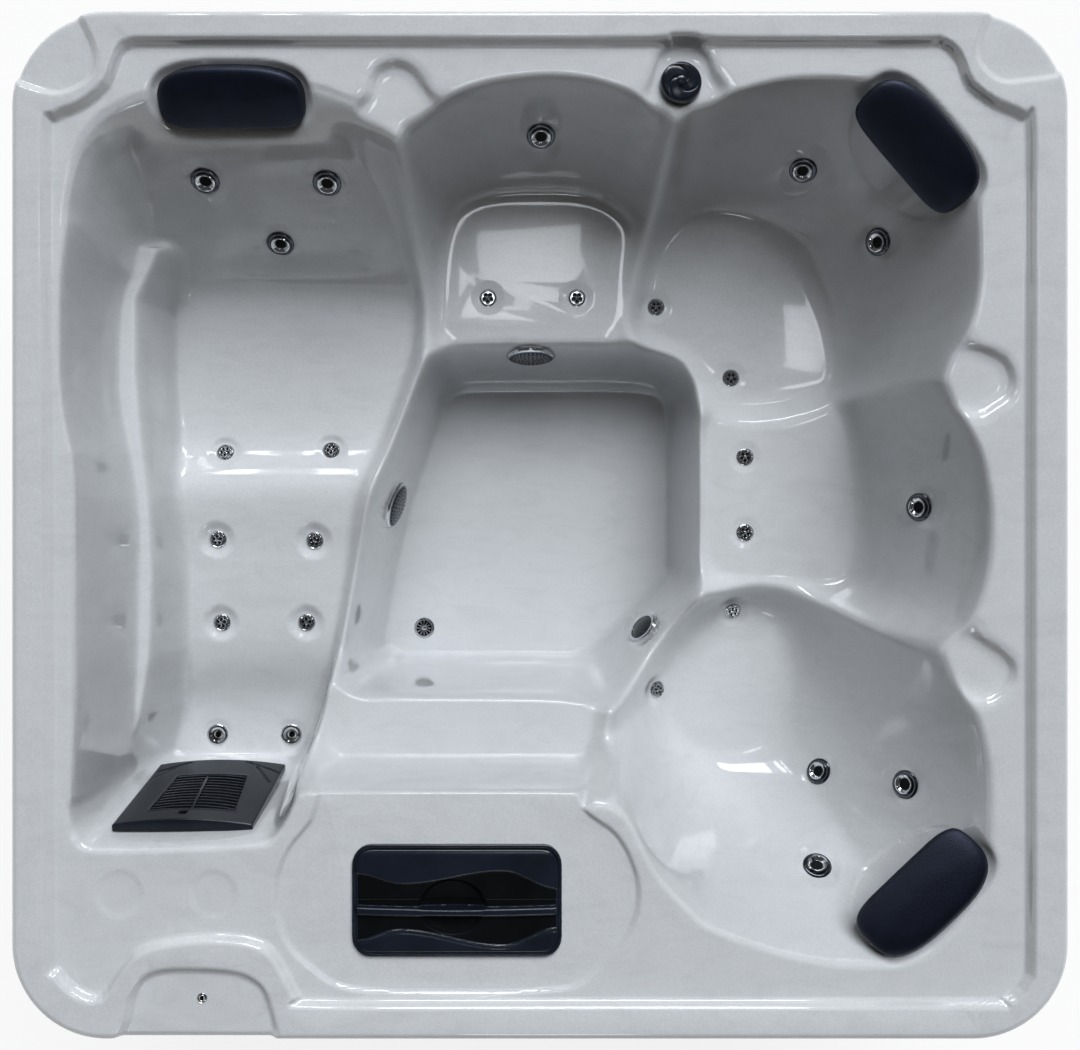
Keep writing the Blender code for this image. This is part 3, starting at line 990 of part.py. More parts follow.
def add_manifold(seat, paint, fittings, frames):
    """The jet bodies of one seat, each joined by its own branch pipe to a hub on the riser."""
    jets = [fitting for fitting in fittings if fitting.name.startswith(f"jet_{seat}_")]
    middles = []
    for jet in jets:
        middles.append(frames[jet.name] @ Vector((0, 0, -SHELL_WALL - BODY_LENGTH / 2)))
    level = min(middle.z for middle in middles)
    x, y = half_plan(RISER_PLACE_SHARES[seat])
    foot = HEADER_HEIGHT + HEADER_RADIUS + CLEARANCE - level
    name = f"manifold_{seat}"
    riser = turned([(0, HUB_HEIGHT / 2), (HUB_RADIUS, HUB_HEIGHT / 2), (HUB_RADIUS, -HUB_HEIGHT / 2),
                    (PIPE_RADIUS, -HUB_HEIGHT / 2), (PIPE_RADIUS, foot), (0, foot)], PIPE_SIDES + 2)
    manifold = new_object(name, finish_mesh(riser, name), paint["pipe"], Matrix.Translation((x, y, level)))
    for jet, middle in zip(jets, middles):
        route = [(x, y, level), (middle.x, middle.y, level), tuple(middle)]
        if middle.z < level + PIPE_RADIUS:
            route = [(x, y, level), tuple(middle)]
        branch = tube_mesh(f"branch_{jet.name}", route, PIPE_RADIUS, 2 * PIPE_RADIUS)
        boolean(manifold, new_cutter(f"branch_{jet.name}", branch), "UNION")
        body = finish_mesh(turned(body_profile(jet, BODY_LENGTH), jet.sides), f"body_{jet.name}")
        boolean(manifold, new_cutter(f"body_{jet.name}", body, frames[jet.name]), "UNION")


def add_plumbing(paint, fittings, frames):
    for seat in JET_PLACE_SHARES:
        add_manifold(seat, paint, fittings, frames)
    knob = next(fitting for fitting in fittings if fitting.name == "diverter_knob")
    body = finish_mesh(turned(body_profile(knob, DIVERTER_BODY_LENGTH), knob.sides), "diverter_body")
    new_object("diverter_body", body, paint["pipe"], frames["diverter_knob"])
    header = [(*half_plan(corner), HEADER_HEIGHT) for corner in HEADER_CORNERS_SHARES]
    ring = new_object("supply_header", tube_mesh("supply_header", header, HEADER_RADIUS, closed=True),
                      paint["pipe"])
    pump_x, pump_y = half_plan(PUMP_PLACE_SHARES)
    outlet = (pump_x, pump_y, PUMP_HEIGHT + WET_END_BOSS_LENGTH + CLEARANCE)
    over = outlet[2] + 3 * HEADER_RADIUS
    feed = [header[0], (header[0][0], header[0][1] - 6 * HEADER_RADIUS, HEADER_HEIGHT),
            (pump_x, pump_y + 3 * HEADER_RADIUS, over), (pump_x, pump_y, over), outlet]
    boolean(ring, new_cutter("header_feed", tube_mesh("header_feed", feed, HEADER_RADIUS, HEADER_RADIUS)), "UNION")


def add_equipment(paint, frames):
    """Pump, heater tube, control box and the suction line of the pump."""
    x, y = half_plan(PUMP_PLACE_SHARES)
    sideways = Matrix.Translation((x, y, PUMP_HEIGHT)) @ Matrix.Rotation(math.pi / 2, 4, "Y")
    half = WET_END_LENGTH / 2
    wet = turned([(0, half), (WET_END_RADIUS, half), (WET_END_RADIUS, -half), (0, -half)], FITTING_SIDES)
    wet_end = new_object("pump_wet_end", finish_mesh(wet, "pump_wet_end"), paint["pipe"], sideways)
    boss = turned([(0, WET_END_BOSS_LENGTH), (WET_END_BOSS_RADIUS, WET_END_BOSS_LENGTH), (WET_END_BOSS_RADIUS, 0),
                   (0, 0)], FITTING_SIDES)
    boolean(wet_end, new_cutter("wet_end_boss", finish_mesh(boss, "wet_end_boss"),
                                Matrix.Translation((x, y, PUMP_HEIGHT))), "UNION")
    motor = turned([(0, -half - CLEARANCE), (MOTOR_RADIUS, -half - CLEARANCE),
                    (MOTOR_RADIUS, -half - CLEARANCE - MOTOR_LENGTH), (0, -half - CLEARANCE - MOTOR_LENGTH)],
                   FITTING_SIDES)
    motor_object = new_object("pump_motor", finish_mesh(motor, "pump_motor"), paint["motor"], sideways)
    foot = bmesh.new()
    foot_height = PUMP_HEIGHT - TRAY_FLOOR - CLEARANCE
    place = Matrix.Translation((x - half - MOTOR_LENGTH / 2, y, TRAY_FLOOR + CLEARANCE + foot_height / 2))
    bmesh.ops.create_cube(foot, size=1, matrix=place @ Matrix.Diagonal((*MOTOR_FOOT, foot_height, 1)))
    boolean(motor_object, new_cutter("motor_foot", finish_mesh(foot, "motor_foot")), "UNION")
    box_x, box_y = half_plan(CONTROL_BOX_PLACE_SHARES)
    box = bmesh.new()
    lift = TRAY_FLOOR + CLEARANCE + CONTROL_BOX_SIZE[2] / 2
    bmesh.ops.create_cube(box, size=1, matrix=Matrix.Diagonal((*CONTROL_BOX_SIZE, 1)))
    new_object("control_box", finish_mesh(box, "control_box"), paint["frame"], Matrix.Translation((box_x, box_y, lift)))
    tube_x, tube_y = half_plan(HEATER_PLACE_SHARES)
    lying = Matrix.Translation((tube_x, tube_y, TRAY_FLOOR + CLEARANCE + HEATER_RADIUS))
    lying = lying @ Matrix.Rotation(math.pi / 2, 4, "Y")
    heater = turned([(0, HEATER_LENGTH / 2), (HEATER_RADIUS, HEATER_LENGTH / 2),
                     (HEATER_RADIUS, -HEATER_LENGTH / 2), (0, -HEATER_LENGTH / 2)], FITTING_SIDES)
    new_object("heater_tube", finish_mesh(heater, "heater_tube"), paint["steel"], lying)
    stem = frames["suction_cover_left"]
    start = stem @ Vector((0, 0, -FITTING_STEM_LENGTH - CLEARANCE))
    behind = stem @ Vector((0, 0, -FITTING_STEM_LENGTH - 3 * SUCTION_RADIUS))
    inlet = (x + half + CLEARANCE, y, PUMP_HEIGHT)
    route = [tuple(start), tuple(behind)]
    route += [(*half_plan(share), SUCTION_HEIGHT) for share in SUCTION_ROUTE_SHARES]
    route += [(inlet[0] + 5 * SUCTION_RADIUS, y, PUMP_HEIGHT), inlet]
    line = tube_mesh("suction_line", route, SUCTION_RADIUS, 2 * SUCTION_RADIUS)
    new_object("suction_line", line, paint["pipe"])


def build():
    for obj in list(bpy.data.objects):
        bpy.data.objects.remove(obj)
    for name in (COLLECTION_NAME, CUTTER_COLLECTION_NAME):
        bpy.context.scene.collection.children.link(bpy.data.collections.new(name))
    paint = {
        "acrylic": material("pearl_acrylic", (0.64, 0.66, 0.70), 0.12),
        "trim": material("dark_trim", (0.008, 0.010, 0.018), 0.35),
        "cushion": material("dark_foam_skin", (0.008, 0.010, 0.020), 0.45),
        "chrome": material("chrome", (0.72, 0.73, 0.75), 0.12, 1.0),
        "filter": material("filter_fleece", (0.80, 0.82, 0.84), 0.85),
        "pipe": material("pvc", (0.75, 0.75, 0.73), 0.45),
        "cabinet": material("cabinet_board", (0.16, 0.16, 0.17), 0.60),
        "frame": material("frame_timber", (0.30, 0.27, 0.24), 0.70),
        "motor": material("motor_paint", (0.05, 0.05, 0.06), 0.50),
        "steel": material("steel", (0.60, 0.60, 0.60), 0.30, 1.0)}
    fittings = all_fittings()
    frames = seat_frames(fittings)
    add_shell(paint, fittings, frames)
    add_fitting_faces(paint, fittings, frames)
    add_filter(paint)
    add_grille(paint)
    add_headrests(paint)
    add_cabinet(paint)
    add_plumbing(paint, fittings, frames)
    add_equipment(paint, frames)


build()
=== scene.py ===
"""Acrylic hot tub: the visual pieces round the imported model, as a Blender add-on that is run as a script."""
import json
import math
from collections import namedtuple

import bmesh
import bpy
import numpy as np
from bpy.props import FloatProperty, FloatVectorProperty, PointerProperty
from mathutils import Matrix, Vector

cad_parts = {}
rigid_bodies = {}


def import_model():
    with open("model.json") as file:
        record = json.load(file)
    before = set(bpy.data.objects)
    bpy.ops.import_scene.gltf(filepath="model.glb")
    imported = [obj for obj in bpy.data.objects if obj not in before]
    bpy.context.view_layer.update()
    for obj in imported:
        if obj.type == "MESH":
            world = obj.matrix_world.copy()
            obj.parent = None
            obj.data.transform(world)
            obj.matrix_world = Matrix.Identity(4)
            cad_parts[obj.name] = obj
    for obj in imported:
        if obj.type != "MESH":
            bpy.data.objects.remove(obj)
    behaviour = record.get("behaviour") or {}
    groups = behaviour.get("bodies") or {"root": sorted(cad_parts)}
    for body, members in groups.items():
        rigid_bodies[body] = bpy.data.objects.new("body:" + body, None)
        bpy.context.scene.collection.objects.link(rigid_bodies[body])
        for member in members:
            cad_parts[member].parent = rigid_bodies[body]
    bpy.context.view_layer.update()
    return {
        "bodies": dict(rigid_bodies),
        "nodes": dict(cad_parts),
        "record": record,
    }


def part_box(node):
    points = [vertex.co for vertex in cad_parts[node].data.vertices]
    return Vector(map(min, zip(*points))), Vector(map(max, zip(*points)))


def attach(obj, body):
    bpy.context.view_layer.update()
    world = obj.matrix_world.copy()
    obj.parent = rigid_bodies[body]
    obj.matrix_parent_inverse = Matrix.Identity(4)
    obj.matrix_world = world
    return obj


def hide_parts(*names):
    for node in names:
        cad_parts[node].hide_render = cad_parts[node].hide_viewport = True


bl_info = {
    "name": "Hot Tub Finish",
    "version": (1, 0, 0),
    "blender": (4, 5, 0),
    "location": "3D View > Sidebar > Hot Tub",
    "description": "Moulded shell, fittings, headrests, filter and cabinet of an acrylic hot tub",
    "category": "Object",
}

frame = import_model()

# Sizes of the moulding, the same as the solids'
LENGTH = 2.10
WIDTH = 2.044
HEIGHT = 0.88
CORNER_RADIUS = 0.19
CLEARANCE = 0.0003
SHELL_WALL = 0.008
EDGE_RADIUS = 0.016
LIP_DEPTH = 0.062
DECK_DEPTH = 0.020
DECK_STEP_WIDTH = 0.018
COAMING_FILLET = 0.015
LOUNGE_SEAT_DEPTH = 0.5455 * HEIGHT
LEDGE_DEPTH = 0.3239 * HEIGHT
BACK_SEAT_DEPTH = 0.5227 * HEIGHT
CORNER_SEAT_DEPTH = 0.5682 * HEIGHT
SIDE_SEAT_DEPTH = 0.525 * HEIGHT
BUCKET_SEAT_DEPTH = 0.625 * HEIGHT
STEP_SEAT_DEPTH = 0.3182 * HEIGHT
FOOTWELL_BRIM_DEPTH = 0.4886 * HEIGHT
FOOTWELL_FLOOR_HEIGHT = 0.1136 * HEIGHT
POCKET_DEPTH = 0.040
FILTER_DECK_DEPTH = 0.030
PANEL_RECESS_DEPTH = 0.016
DISH_DEPTH = 0.012
LOUNGE_FOOT_FILLET = 0.040
BACK_FOOT_FILLET = 0.060
CORNER_FOOT_FILLET = 0.110
SIDE_FOOT_FILLET = 0.040
BUCKET_FOOT_FILLET = 0.220
STEP_FOOT_FILLET = 0.045
FOOTWELL_FOOT_FILLET = 0.045
RECESS_FILLET = 0.008
RIDGE_ROUNDING = 0.020
LOUNGE_MIDDLE_SHARE = -0.58
LOUNGE_HALF_SHARE = 0.25
LOUNGE_BOW = 0.022
LOUNGE_STEPS = 240
LOUNGE_WINDOW = 25
LOUNGE_CREASE_SHARE = 0.515
LOUNGE_CREASE_REACH = 0.105
BRIM_FALL_SLOPE = 0.5
LEDGE_DROP_SLOPE = 8.0
FOOTWELL_DRAFT_SLOPE = 10.0

# Outlines, as shares of the half length and half width
STEP_LINE_SHARES = [
    (-0.935, 0.760), (-0.920, 0.795), (-0.869, 0.817), (-0.821, 0.858), (-0.799, 0.916),
    (-0.775, 0.938), (-0.700, 0.940), (-0.265, 0.940), (0.200, 0.940), (0.248, 0.947),
    (0.293, 0.947), (0.345, 0.940), (0.700, 0.940), (0.761, 0.939), (0.793, 0.910),
    (0.814, 0.858), (0.861, 0.821), (0.916, 0.795), (0.930, 0.755), (0.929, 0.243),
    (0.929, -0.340), (0.929, -0.807), (0.922, -0.885), (0.880, -0.926), (0.810, -0.931),
    (0.114, -0.931), (-0.420, -0.931), (-0.458, -0.920), (-0.485, -0.868), (-0.526, -0.817),
    (-0.630, -0.803), (-0.748, -0.823), (-0.795, -0.868), (-0.828, -0.917), (-0.870, -0.912),
    (-0.915, -0.870), (-0.929, -0.800), (-0.931, -0.146), (-0.935, 0.438)]
LOUNGE_RIM_SHARES = [
    (-0.889, -0.580), (-0.887, -0.343), (-0.886, -0.080), (-0.884, 0.118), (-0.893, 0.167),
    (-0.905, 0.245), (-0.912, 0.400), (-0.908, 0.539), (-0.893, 0.676), (-0.878, 0.735),
    (-0.849, 0.784), (-0.811, 0.814), (-0.740, 0.842), (-0.592, 0.860), (-0.439, 0.855),
    (-0.382, 0.837), (-0.324, 0.814), (-0.269, 0.776), (-0.205, 0.685), (-0.171, 0.548),
    (-0.181, 0.411), (-0.238, 0.196), (-0.314, 0.000), (-0.381, -0.196), (-0.419, -0.323),
    (-0.467, -0.489), (-0.471, -0.539), (-0.506, -0.608), (-0.557, -0.622), (-0.840, -0.631),
    (-0.880, -0.608)]
LOUNGE_PAN_SHARES = [
    (-0.762, 0.773), (-0.810, 0.685), (-0.819, 0.548), (-0.829, 0.291), (-0.830, 0.162),
    (-0.821, 0.068), (-0.819, -0.080), (-0.823, -0.264), (-0.830, -0.399), (-0.834, -0.498),
    (-0.827, -0.533), (-0.667, -0.538), (-0.562, -0.533), (-0.526, -0.499), (-0.495, -0.421),
    (-0.471, -0.333), (-0.452, -0.254), (-0.427, -0.080), (-0.410, 0.068), (-0.376, 0.162),
    (-0.329, 0.291), (-0.290, 0.411), (-0.286, 0.548), (-0.314, 0.685), (-0.400, 0.773),
    (-0.571, 0.783)]
LEDGE_SHARES = [
    (-0.800, 0.606), (-0.846, 0.560), (-0.882, 0.487), (-0.894, 0.336), (-0.889, 0.260),
    (-0.875, 0.184), (-0.852, 0.054), (-0.840, -0.102), (-0.841, -0.286), (-0.858, -0.418),
    (-0.866, -0.548), (-0.819, -0.548), (-0.667, -0.489), (-0.667, 0.196), (-0.705, 0.509)]
LEDGE_RIDGE_SHARES = [
    (-0.872, -0.524), (-0.840, -0.418), (-0.820, -0.286), (-0.814, -0.102), (-0.820, 0.054), (-0.836, 0.184),
    (-0.849, 0.336), (-0.849, 0.487), (-0.795, 0.606)]
BACK_RIM_SHARES = [
    (-0.269, 0.776), (-0.248, 0.794), (-0.183, 0.833), (-0.111, 0.863), (0.000, 0.880), (0.086, 0.874),
    (0.164, 0.851), (0.205, 0.828), (0.260, 0.798), (0.381, 0.607), (0.400, 0.391), (0.314, 0.196),
    (0.000, 0.147), (-0.286, 0.196), (-0.362, 0.391), (-0.333, 0.587)]
BACK_PAN_SHARES = [
    (-0.211, 0.431), (-0.221, 0.509), (-0.205, 0.675), (-0.143, 0.744), (0.000, 0.756), (0.124, 0.744),
    (0.195, 0.685), (0.190, 0.587), (0.181, 0.489), (0.152, 0.435), (0.076, 0.423), (-0.114, 0.423)]
CORNER_RIM_SHARES = [
    (0.260, 0.798), (0.330, 0.832), (0.420, 0.863), (0.496, 0.876), (0.592, 0.876), (0.687, 0.860),
    (0.782, 0.794), (0.834, 0.696), (0.842, 0.600), (0.842, 0.490), (0.832, 0.422), (0.815, 0.374),
    (0.779, 0.286), (0.724, 0.098), (0.571, 0.039), (0.333, 0.059), (0.190, 0.196), (0.114, 0.440),
    (0.152, 0.636)]
CORNER_PAN_SHARES = [
    (0.238, 0.460), (0.250, 0.548), (0.286, 0.665), (0.381, 0.724), (0.514, 0.675), (0.610, 0.548),
    (0.657, 0.421), (0.657, 0.333), (0.571, 0.313), (0.448, 0.303), (0.390, 0.352), (0.343, 0.411)]
SIDE_RIM_SHARES = [
    (0.779, 0.286), (0.815, 0.200), (0.842, 0.145), (0.857, 0.084), (0.864, 0.018), (0.861, -0.067),
    (0.847, -0.135), (0.821, -0.196), (0.779, -0.253), (0.724, -0.372), (0.571, -0.411), (0.286, -0.411),
    (0.190, -0.196), (0.190, 0.196), (0.333, 0.470), (0.571, 0.489), (0.724, 0.411)]
SIDE_PAN_SHARES = [
    (0.390, 0.245), (0.495, 0.279), (0.629, 0.294), (0.686, 0.225), (0.703, 0.078), (0.700, -0.059),
    (0.667, -0.127), (0.533, -0.117), (0.390, -0.098), (0.381, 0.078)]
BUCKET_RIM_SHARES = [
    (0.779, -0.253), (0.815, -0.337), (0.842, -0.392), (0.861, -0.500), (0.857, -0.637), (0.830, -0.735),
    (0.763, -0.823), (0.697, -0.857), (0.626, -0.863), (0.565, -0.861), (0.473, -0.843), (0.395, -0.818),
    (0.319, -0.788), (0.277, -0.749), (0.229, -0.696), (0.197, -0.641), (0.164, -0.571), (0.120, -0.540),
    (0.076, -0.560), (0.057, -0.440), (0.143, -0.245), (0.267, -0.117), (0.400, -0.049), (0.590, -0.029),
    (0.724, -0.117)]
BUCKET_PAN_SHARES = [
    (0.314, -0.382), (0.343, -0.294), (0.419, -0.225), (0.514, -0.215), (0.571, -0.294), (0.552, -0.421),
    (0.476, -0.509), (0.381, -0.528), (0.314, -0.470)]
STEP_RIM_SHARES = [
    (-0.471, -0.539), (-0.458, -0.525), (-0.363, -0.518), (0.000, -0.518), (0.076, -0.523), (0.124, -0.539),
    (0.210, -0.548), (0.248, -0.411), (0.143, -0.245), (-0.190, -0.196), (-0.438, -0.245), (-0.514, -0.411),
    (-0.514, -0.509)]
STEP_PAN_SHARES = [
    (-0.419, -0.323), (-0.448, -0.421), (-0.430, -0.494), (-0.362, -0.505), (0.000, -0.505), (0.086, -0.499),
    (0.110, -0.440), (0.095, -0.323), (0.000, -0.294), (-0.286, -0.294)]
FOOTWELL_BRIM_SHARES = [
    (-0.255, 0.331), (-0.229, 0.391), (-0.190, 0.416), (0.000, 0.421), (0.190, 0.419), (0.305, 0.391),
    (0.340, 0.333), (0.343, 0.196), (0.343, -0.059), (0.345, -0.127), (0.314, -0.186), (0.240, -0.289),
    (0.162, -0.362), (0.105, -0.367), (0.000, -0.357), (-0.286, -0.355), (-0.381, -0.353), (-0.419, -0.313),
    (-0.419, -0.245), (-0.357, 0.046)]
FOOTWELL_FLOOR_SHARES = [
    (-0.257, 0.284), (-0.238, 0.328), (-0.190, 0.344), (0.000, 0.346), (0.238, 0.346), (0.310, 0.328),
    (0.330, 0.264), (0.330, -0.078), (0.305, -0.130), (0.242, -0.191), (0.133, -0.305), (0.080, -0.342),
    (0.000, -0.346), (-0.314, -0.344), (-0.376, -0.323), (-0.390, -0.274), (-0.330, 0.051)]
BLANK_POCKET_SHARES = [
    (-0.364, 0.818), (-0.335, 0.845), (-0.328, 0.877), (-0.312, 0.902), (-0.274, 0.914), (-0.240, 0.902),
    (-0.217, 0.875), (-0.205, 0.850), (-0.175, 0.839), (-0.190, 0.783), (-0.269, 0.749), (-0.352, 0.783)]
BLANK_FLOOR_SHARES = [
    (-0.339, 0.811), (-0.318, 0.840), (-0.312, 0.868), (-0.297, 0.888), (-0.274, 0.895), (-0.250, 0.886),
    (-0.232, 0.862), (-0.213, 0.835), (-0.234, 0.813), (-0.270, 0.778), (-0.318, 0.793)]
KNOB_POCKET_SHARES = [
    (0.187, 0.845), (0.204, 0.878), (0.217, 0.920), (0.236, 0.941), (0.272, 0.949), (0.308, 0.941),
    (0.328, 0.920), (0.341, 0.890), (0.368, 0.849), (0.328, 0.804), (0.259, 0.769), (0.206, 0.804)]
KNOB_FLOOR_SHARES = [
    (0.215, 0.843), (0.224, 0.880), (0.234, 0.911), (0.253, 0.927), (0.274, 0.931), (0.295, 0.927),
    (0.312, 0.911), (0.322, 0.880), (0.337, 0.847), (0.307, 0.821), (0.261, 0.797), (0.230, 0.821)]
UPPER_POCKET_SHARES = [
    (0.815, 0.382), (0.835, 0.355), (0.870, 0.342), (0.893, 0.325), (0.908, 0.284), (0.900, 0.245),
    (0.876, 0.227), (0.840, 0.203), (0.785, 0.215), (0.754, 0.286), (0.777, 0.362)]
UPPER_FLOOR_SHARES = [
    (0.834, 0.341), (0.862, 0.331), (0.887, 0.313), (0.895, 0.285), (0.887, 0.262), (0.862, 0.242),
    (0.834, 0.230), (0.801, 0.246), (0.778, 0.287), (0.801, 0.329)]
LOWER_POCKET_SHARES = [
    (0.832, -0.188), (0.846, -0.215), (0.878, -0.235), (0.905, -0.262), (0.910, -0.288), (0.899, -0.317),
    (0.853, -0.356), (0.790, -0.333), (0.754, -0.254), (0.785, -0.198)]
LOWER_FLOOR_SHARES = [
    (0.828, -0.226), (0.853, -0.242), (0.881, -0.262), (0.895, -0.285), (0.885, -0.311), (0.858, -0.333),
    (0.828, -0.325), (0.801, -0.295), (0.778, -0.256), (0.805, -0.230)]
FILTER_DECK_SHARES = [
    (-0.390, -0.479), (-0.438, -0.573), (-0.484, -0.634), (-0.507, -0.708), (-0.491, -0.808),
    (-0.438, -0.869), (-0.362, -0.910), (-0.171, -0.920), (0.010, -0.914), (0.086, -0.896),
    (0.150, -0.830), (0.183, -0.775), (0.192, -0.714), (0.177, -0.653), (0.145, -0.599),
    (0.086, -0.552), (0.053, -0.479), (-0.171, -0.460)]
PANEL_RECESS_SHARES = [
    (-0.797, -1.038), (-0.789, -0.962), (-0.774, -0.902), (-0.733, -0.862), (-0.642, -0.856),
    (-0.551, -0.869), (-0.506, -0.922), (-0.514, -1.038)]
WEST_DISH_SHARES = [
    (-0.888, 1.058), (-0.861, 0.990), (-0.833, 0.922), (-0.840, 0.869), (-0.878, 0.840), (-0.925, 0.831),
    (-0.997, 0.854), (-1.058, 0.883), (-1.095, 1.096)]
EAST_DISH_SHARES = [
    (0.859, 1.058), (0.840, 0.995), (0.820, 0.931), (0.827, 0.889), (0.869, 0.854), (0.925, 0.856),
    (0.993, 0.867), (1.058, 0.883), (1.095, 1.096)]

# Lounger floor from the foot to the headrest: share of the half width, share of the seat depth
LOUNGE_PROFILE_SHARES = [
    (-0.685, 1.083), (-0.489, 1.083), (-0.399, 1.055), (-0.336, 0.983), (-0.264, 0.942), (-0.080, 0.917),
    (0.055, 0.875), (0.102, 0.858), (0.162, 0.970), (0.225, 0.996), (0.391, 1.000), (0.522, 0.985),
    (0.560, 0.930), (0.623, 0.719), (0.692, 0.500), (0.784, 0.125), (0.978, 0.083)]

# Jets: seat, place as shares of the half length and half width, kind
JET_PLACE_SHARES = {
    "lounger": [(-0.681, 0.719, "large"), (-0.434, 0.716, "large"), (-0.560, 0.624, "large"),
                (-0.708, 0.168, "small"), (-0.470, 0.173, "small"), (-0.719, -0.033, "dished"),
                (-0.503, -0.036, "dished"), (-0.714, -0.225, "dished"), (-0.524, -0.225, "dished"),
                (-0.739, -0.494, "medium"), (-0.570, -0.494, "medium")],
    "back_seat": [(-0.117, 0.524, "small"), (0.083, 0.524, "small"), (0.002, 0.829, "large")],
    "corner_seat": [(0.435, 0.344, "small"), (0.264, 0.510, "small"), (0.561, 0.777, "large"),
                    (0.719, 0.619, "large")],
    "side_seat": [(0.461, -0.018, "small"), (0.461, 0.157, "small"), (0.788, 0.038, "large")],
    "bucket_seat": [(0.447, -0.204, "small"), (0.269, -0.388, "small"), (0.579, -0.731, "large"),
                    (0.624, -0.567, "large"), (0.755, -0.551, "large")]}
JET_RADIUS = {"large": 0.031, "medium": 0.026, "small": 0.021, "dished": 0.021}
JET_PAD_RADIUS = {"large": 0.050, "medium": 0.042, "small": 0.042, "dished": 0.048}
JET_PAD_SINK = {"large": 0.002, "medium": 0.002, "small": 0.003, "dished": 0.010}
LARGE_CUP_SHIFT = 0.08 * JET_RADIUS["large"]
JET_SLOPE_LIMIT = {"large": 1.15, "medium": 0.30, "small": 0.60, "dished": 0.30}

# Footwell fittings: place shares, radius, pad radius, slope limit
FOOTWELL_FITTINGS = {
    "floor_drain": ((-0.289, -0.264), 0.027, 0.045, 0.05),
    "footwell_light": ((0.241, -0.248), 0.041, 0.052, 2.20),
    "suction_cover_back": ((-0.021, 0.400), 0.059, 0.066, 6.00),
    "suction_cover_left": ((-0.343, 0.048), 0.059, 0.066, 6.00)}

# Holes of a suction cover: ring as a share of its radius, number of holes
SUCTION_RINGS = [(0.18, 6), (0.34, 12), (0.50, 18), (0.66, 24), (0.80, 30)]

# Diverter and panel fitting
KNOB_PLACE_SHARES = (0.269, 0.867)
KNOB_RADIUS = 0.0415
KNOB_PAD_RADIUS = 0.048
# A lobe of the knob: start and length as shares of the radius, swirl and half width in radians, heights
KNOB_LOBE_REACH = (0.20, 0.74)
KNOB_LOBE_SWIRL = 2.30
KNOB_LOBE_SPREAD = 0.99
KNOB_LOBE_FOOT = 0.0195
KNOB_LOBE_RISE = 0.0050
PANEL_FITTING_PLACE_SHARES = (-0.641, -0.922)
PANEL_FITTING_RADIUS = 0.011
PANEL_PAD_RADIUS = 0.016
DISC_PLACE_SHARES = [(-0.800, -0.721), (-0.622, -0.721)]
DISC_RADIUS = 0.052
DISC_SINK = 0.0025

# Filter well
FILTER_PLACE_SHARES = (-0.158, -0.734)
FLANGE_SIZE = (0.419, 0.223)
FLANGE_CORNER = 0.040
FLANGE_THICK = 0.006
FLANGE_RIM = 0.006
FLANGE_RIM_HEIGHT = 0.004
WELL_SIZE = (0.344, 0.164)
WELL_CORNER = 0.030
WELL_WALL = 0.004
WELL_LENGTH = 0.330
COVER_THICK = 0.006
COVER_GAP = 0.0015
COVER_GRIP_HEIGHT = 0.008
CARTRIDGE_RADIUS = 0.066
CARTRIDGE_LENGTH = 0.250
CARTRIDGE_CAP = 0.012
CARTRIDGE_GAP = 0.010

# Foot grille, standing on the lounger's foot wall
GRILLE_WIDTH = 0.288
GRILLE_LENGTH = 0.324
GRILLE_THICK = 0.012
GRILLE_BULGE = 0.012
GRILLE_PLACE_SHARES = (-0.697, -0.581)
GRILLE_DEPTH = 0.2740 * HEIGHT
GRILLE_LEAN_SLOPE = 0.190

# Headrests
HEADREST_PLACE_SHARES = {
    "headrest_lounger": (-0.592, 0.848),
    "headrest_corner": (0.731, 0.753),
    "headrest_bucket": (0.741, -0.732)}
HEADREST_TURN_DEGREES = {"headrest_lounger": 0.0, "headrest_corner": -49.5, "headrest_bucket": -136.5}
HEADREST_LENGTH = 0.300
HEADREST_WIDTH = 0.132
HEADREST_THICK = 0.050
HEADREST_DEPTH = 0.062
HEADREST_FADE = 0.018
HEADREST_LEAN_DEGREES = 28.0
HEADREST_SINK = 0.004
# Reach down and up its seat, as shares of the half width, and the powers that square its corners
HEADREST_REACH = {
    "headrest_lounger": (0.88, 0.92), "headrest_corner": (0.94, 1.06), "headrest_bucket": (0.98, 1.06)}
HEADREST_POWERS = (0.42, 0.58)
# Sections of a pillow from its seat up: share of its outline, share of its thickness
HEADREST_LEVELS = [
    (1.0, 0.10), (0.992, 0.24), (0.986, 0.38), (0.992, 0.52), (1.0, 0.64), (0.985, 0.76), (0.94, 0.86),
    (0.86, 0.93), (0.74, 0.975), (0.58, 1.0), (0.40, 1.015), (0.20, 1.02)]
# Fall of its crown towards its lower edge, and rise towards its upper one
HEADREST_CROWN_FALL = 0.012
HEADREST_CROWN_RISE = 0.002

# Cabinet
PANEL_INSET = 0.030
PANEL_THICK = 0.016

# Filter lid: half sizes, forms as shares of them, right and up being positive, and heights in metres
LID_INSET = FLANGE_RIM + 2 * COVER_GAP
LID_HALF = (FLANGE_SIZE[0] / 2 - LID_INSET, FLANGE_SIZE[1] / 2 - LID_INSET)
LID_UPPER_WAVE = [(-1.01, 0.53), (-0.53, 0.33), (0.45, 0.58), (1.01, 0.23)]
LID_LOWER_WAVE = [(-1.01, -0.77), (-0.58, -0.56), (0.45, -0.86), (1.01, -0.52)]
LID_GROOVE = 0.075
LID_FIELD_SINK = 0.0026
LID_GROOVE_SINK = 0.0018
LID_BAR = (-0.09, -0.265)
LID_BAR_SAG = 0.04
LID_LIP = 0.014
LID_BEAD = 0.0016
LID_NOSE = 0.88
LID_NOSE_FALL = 0.0052
LID_EDGE = (0.003, 0.0018)
LID_WALL = 0.0035
LID_WELL_MIDDLE = (-0.045, -0.121)
FINGER_WELL = (0.064, 0.053)
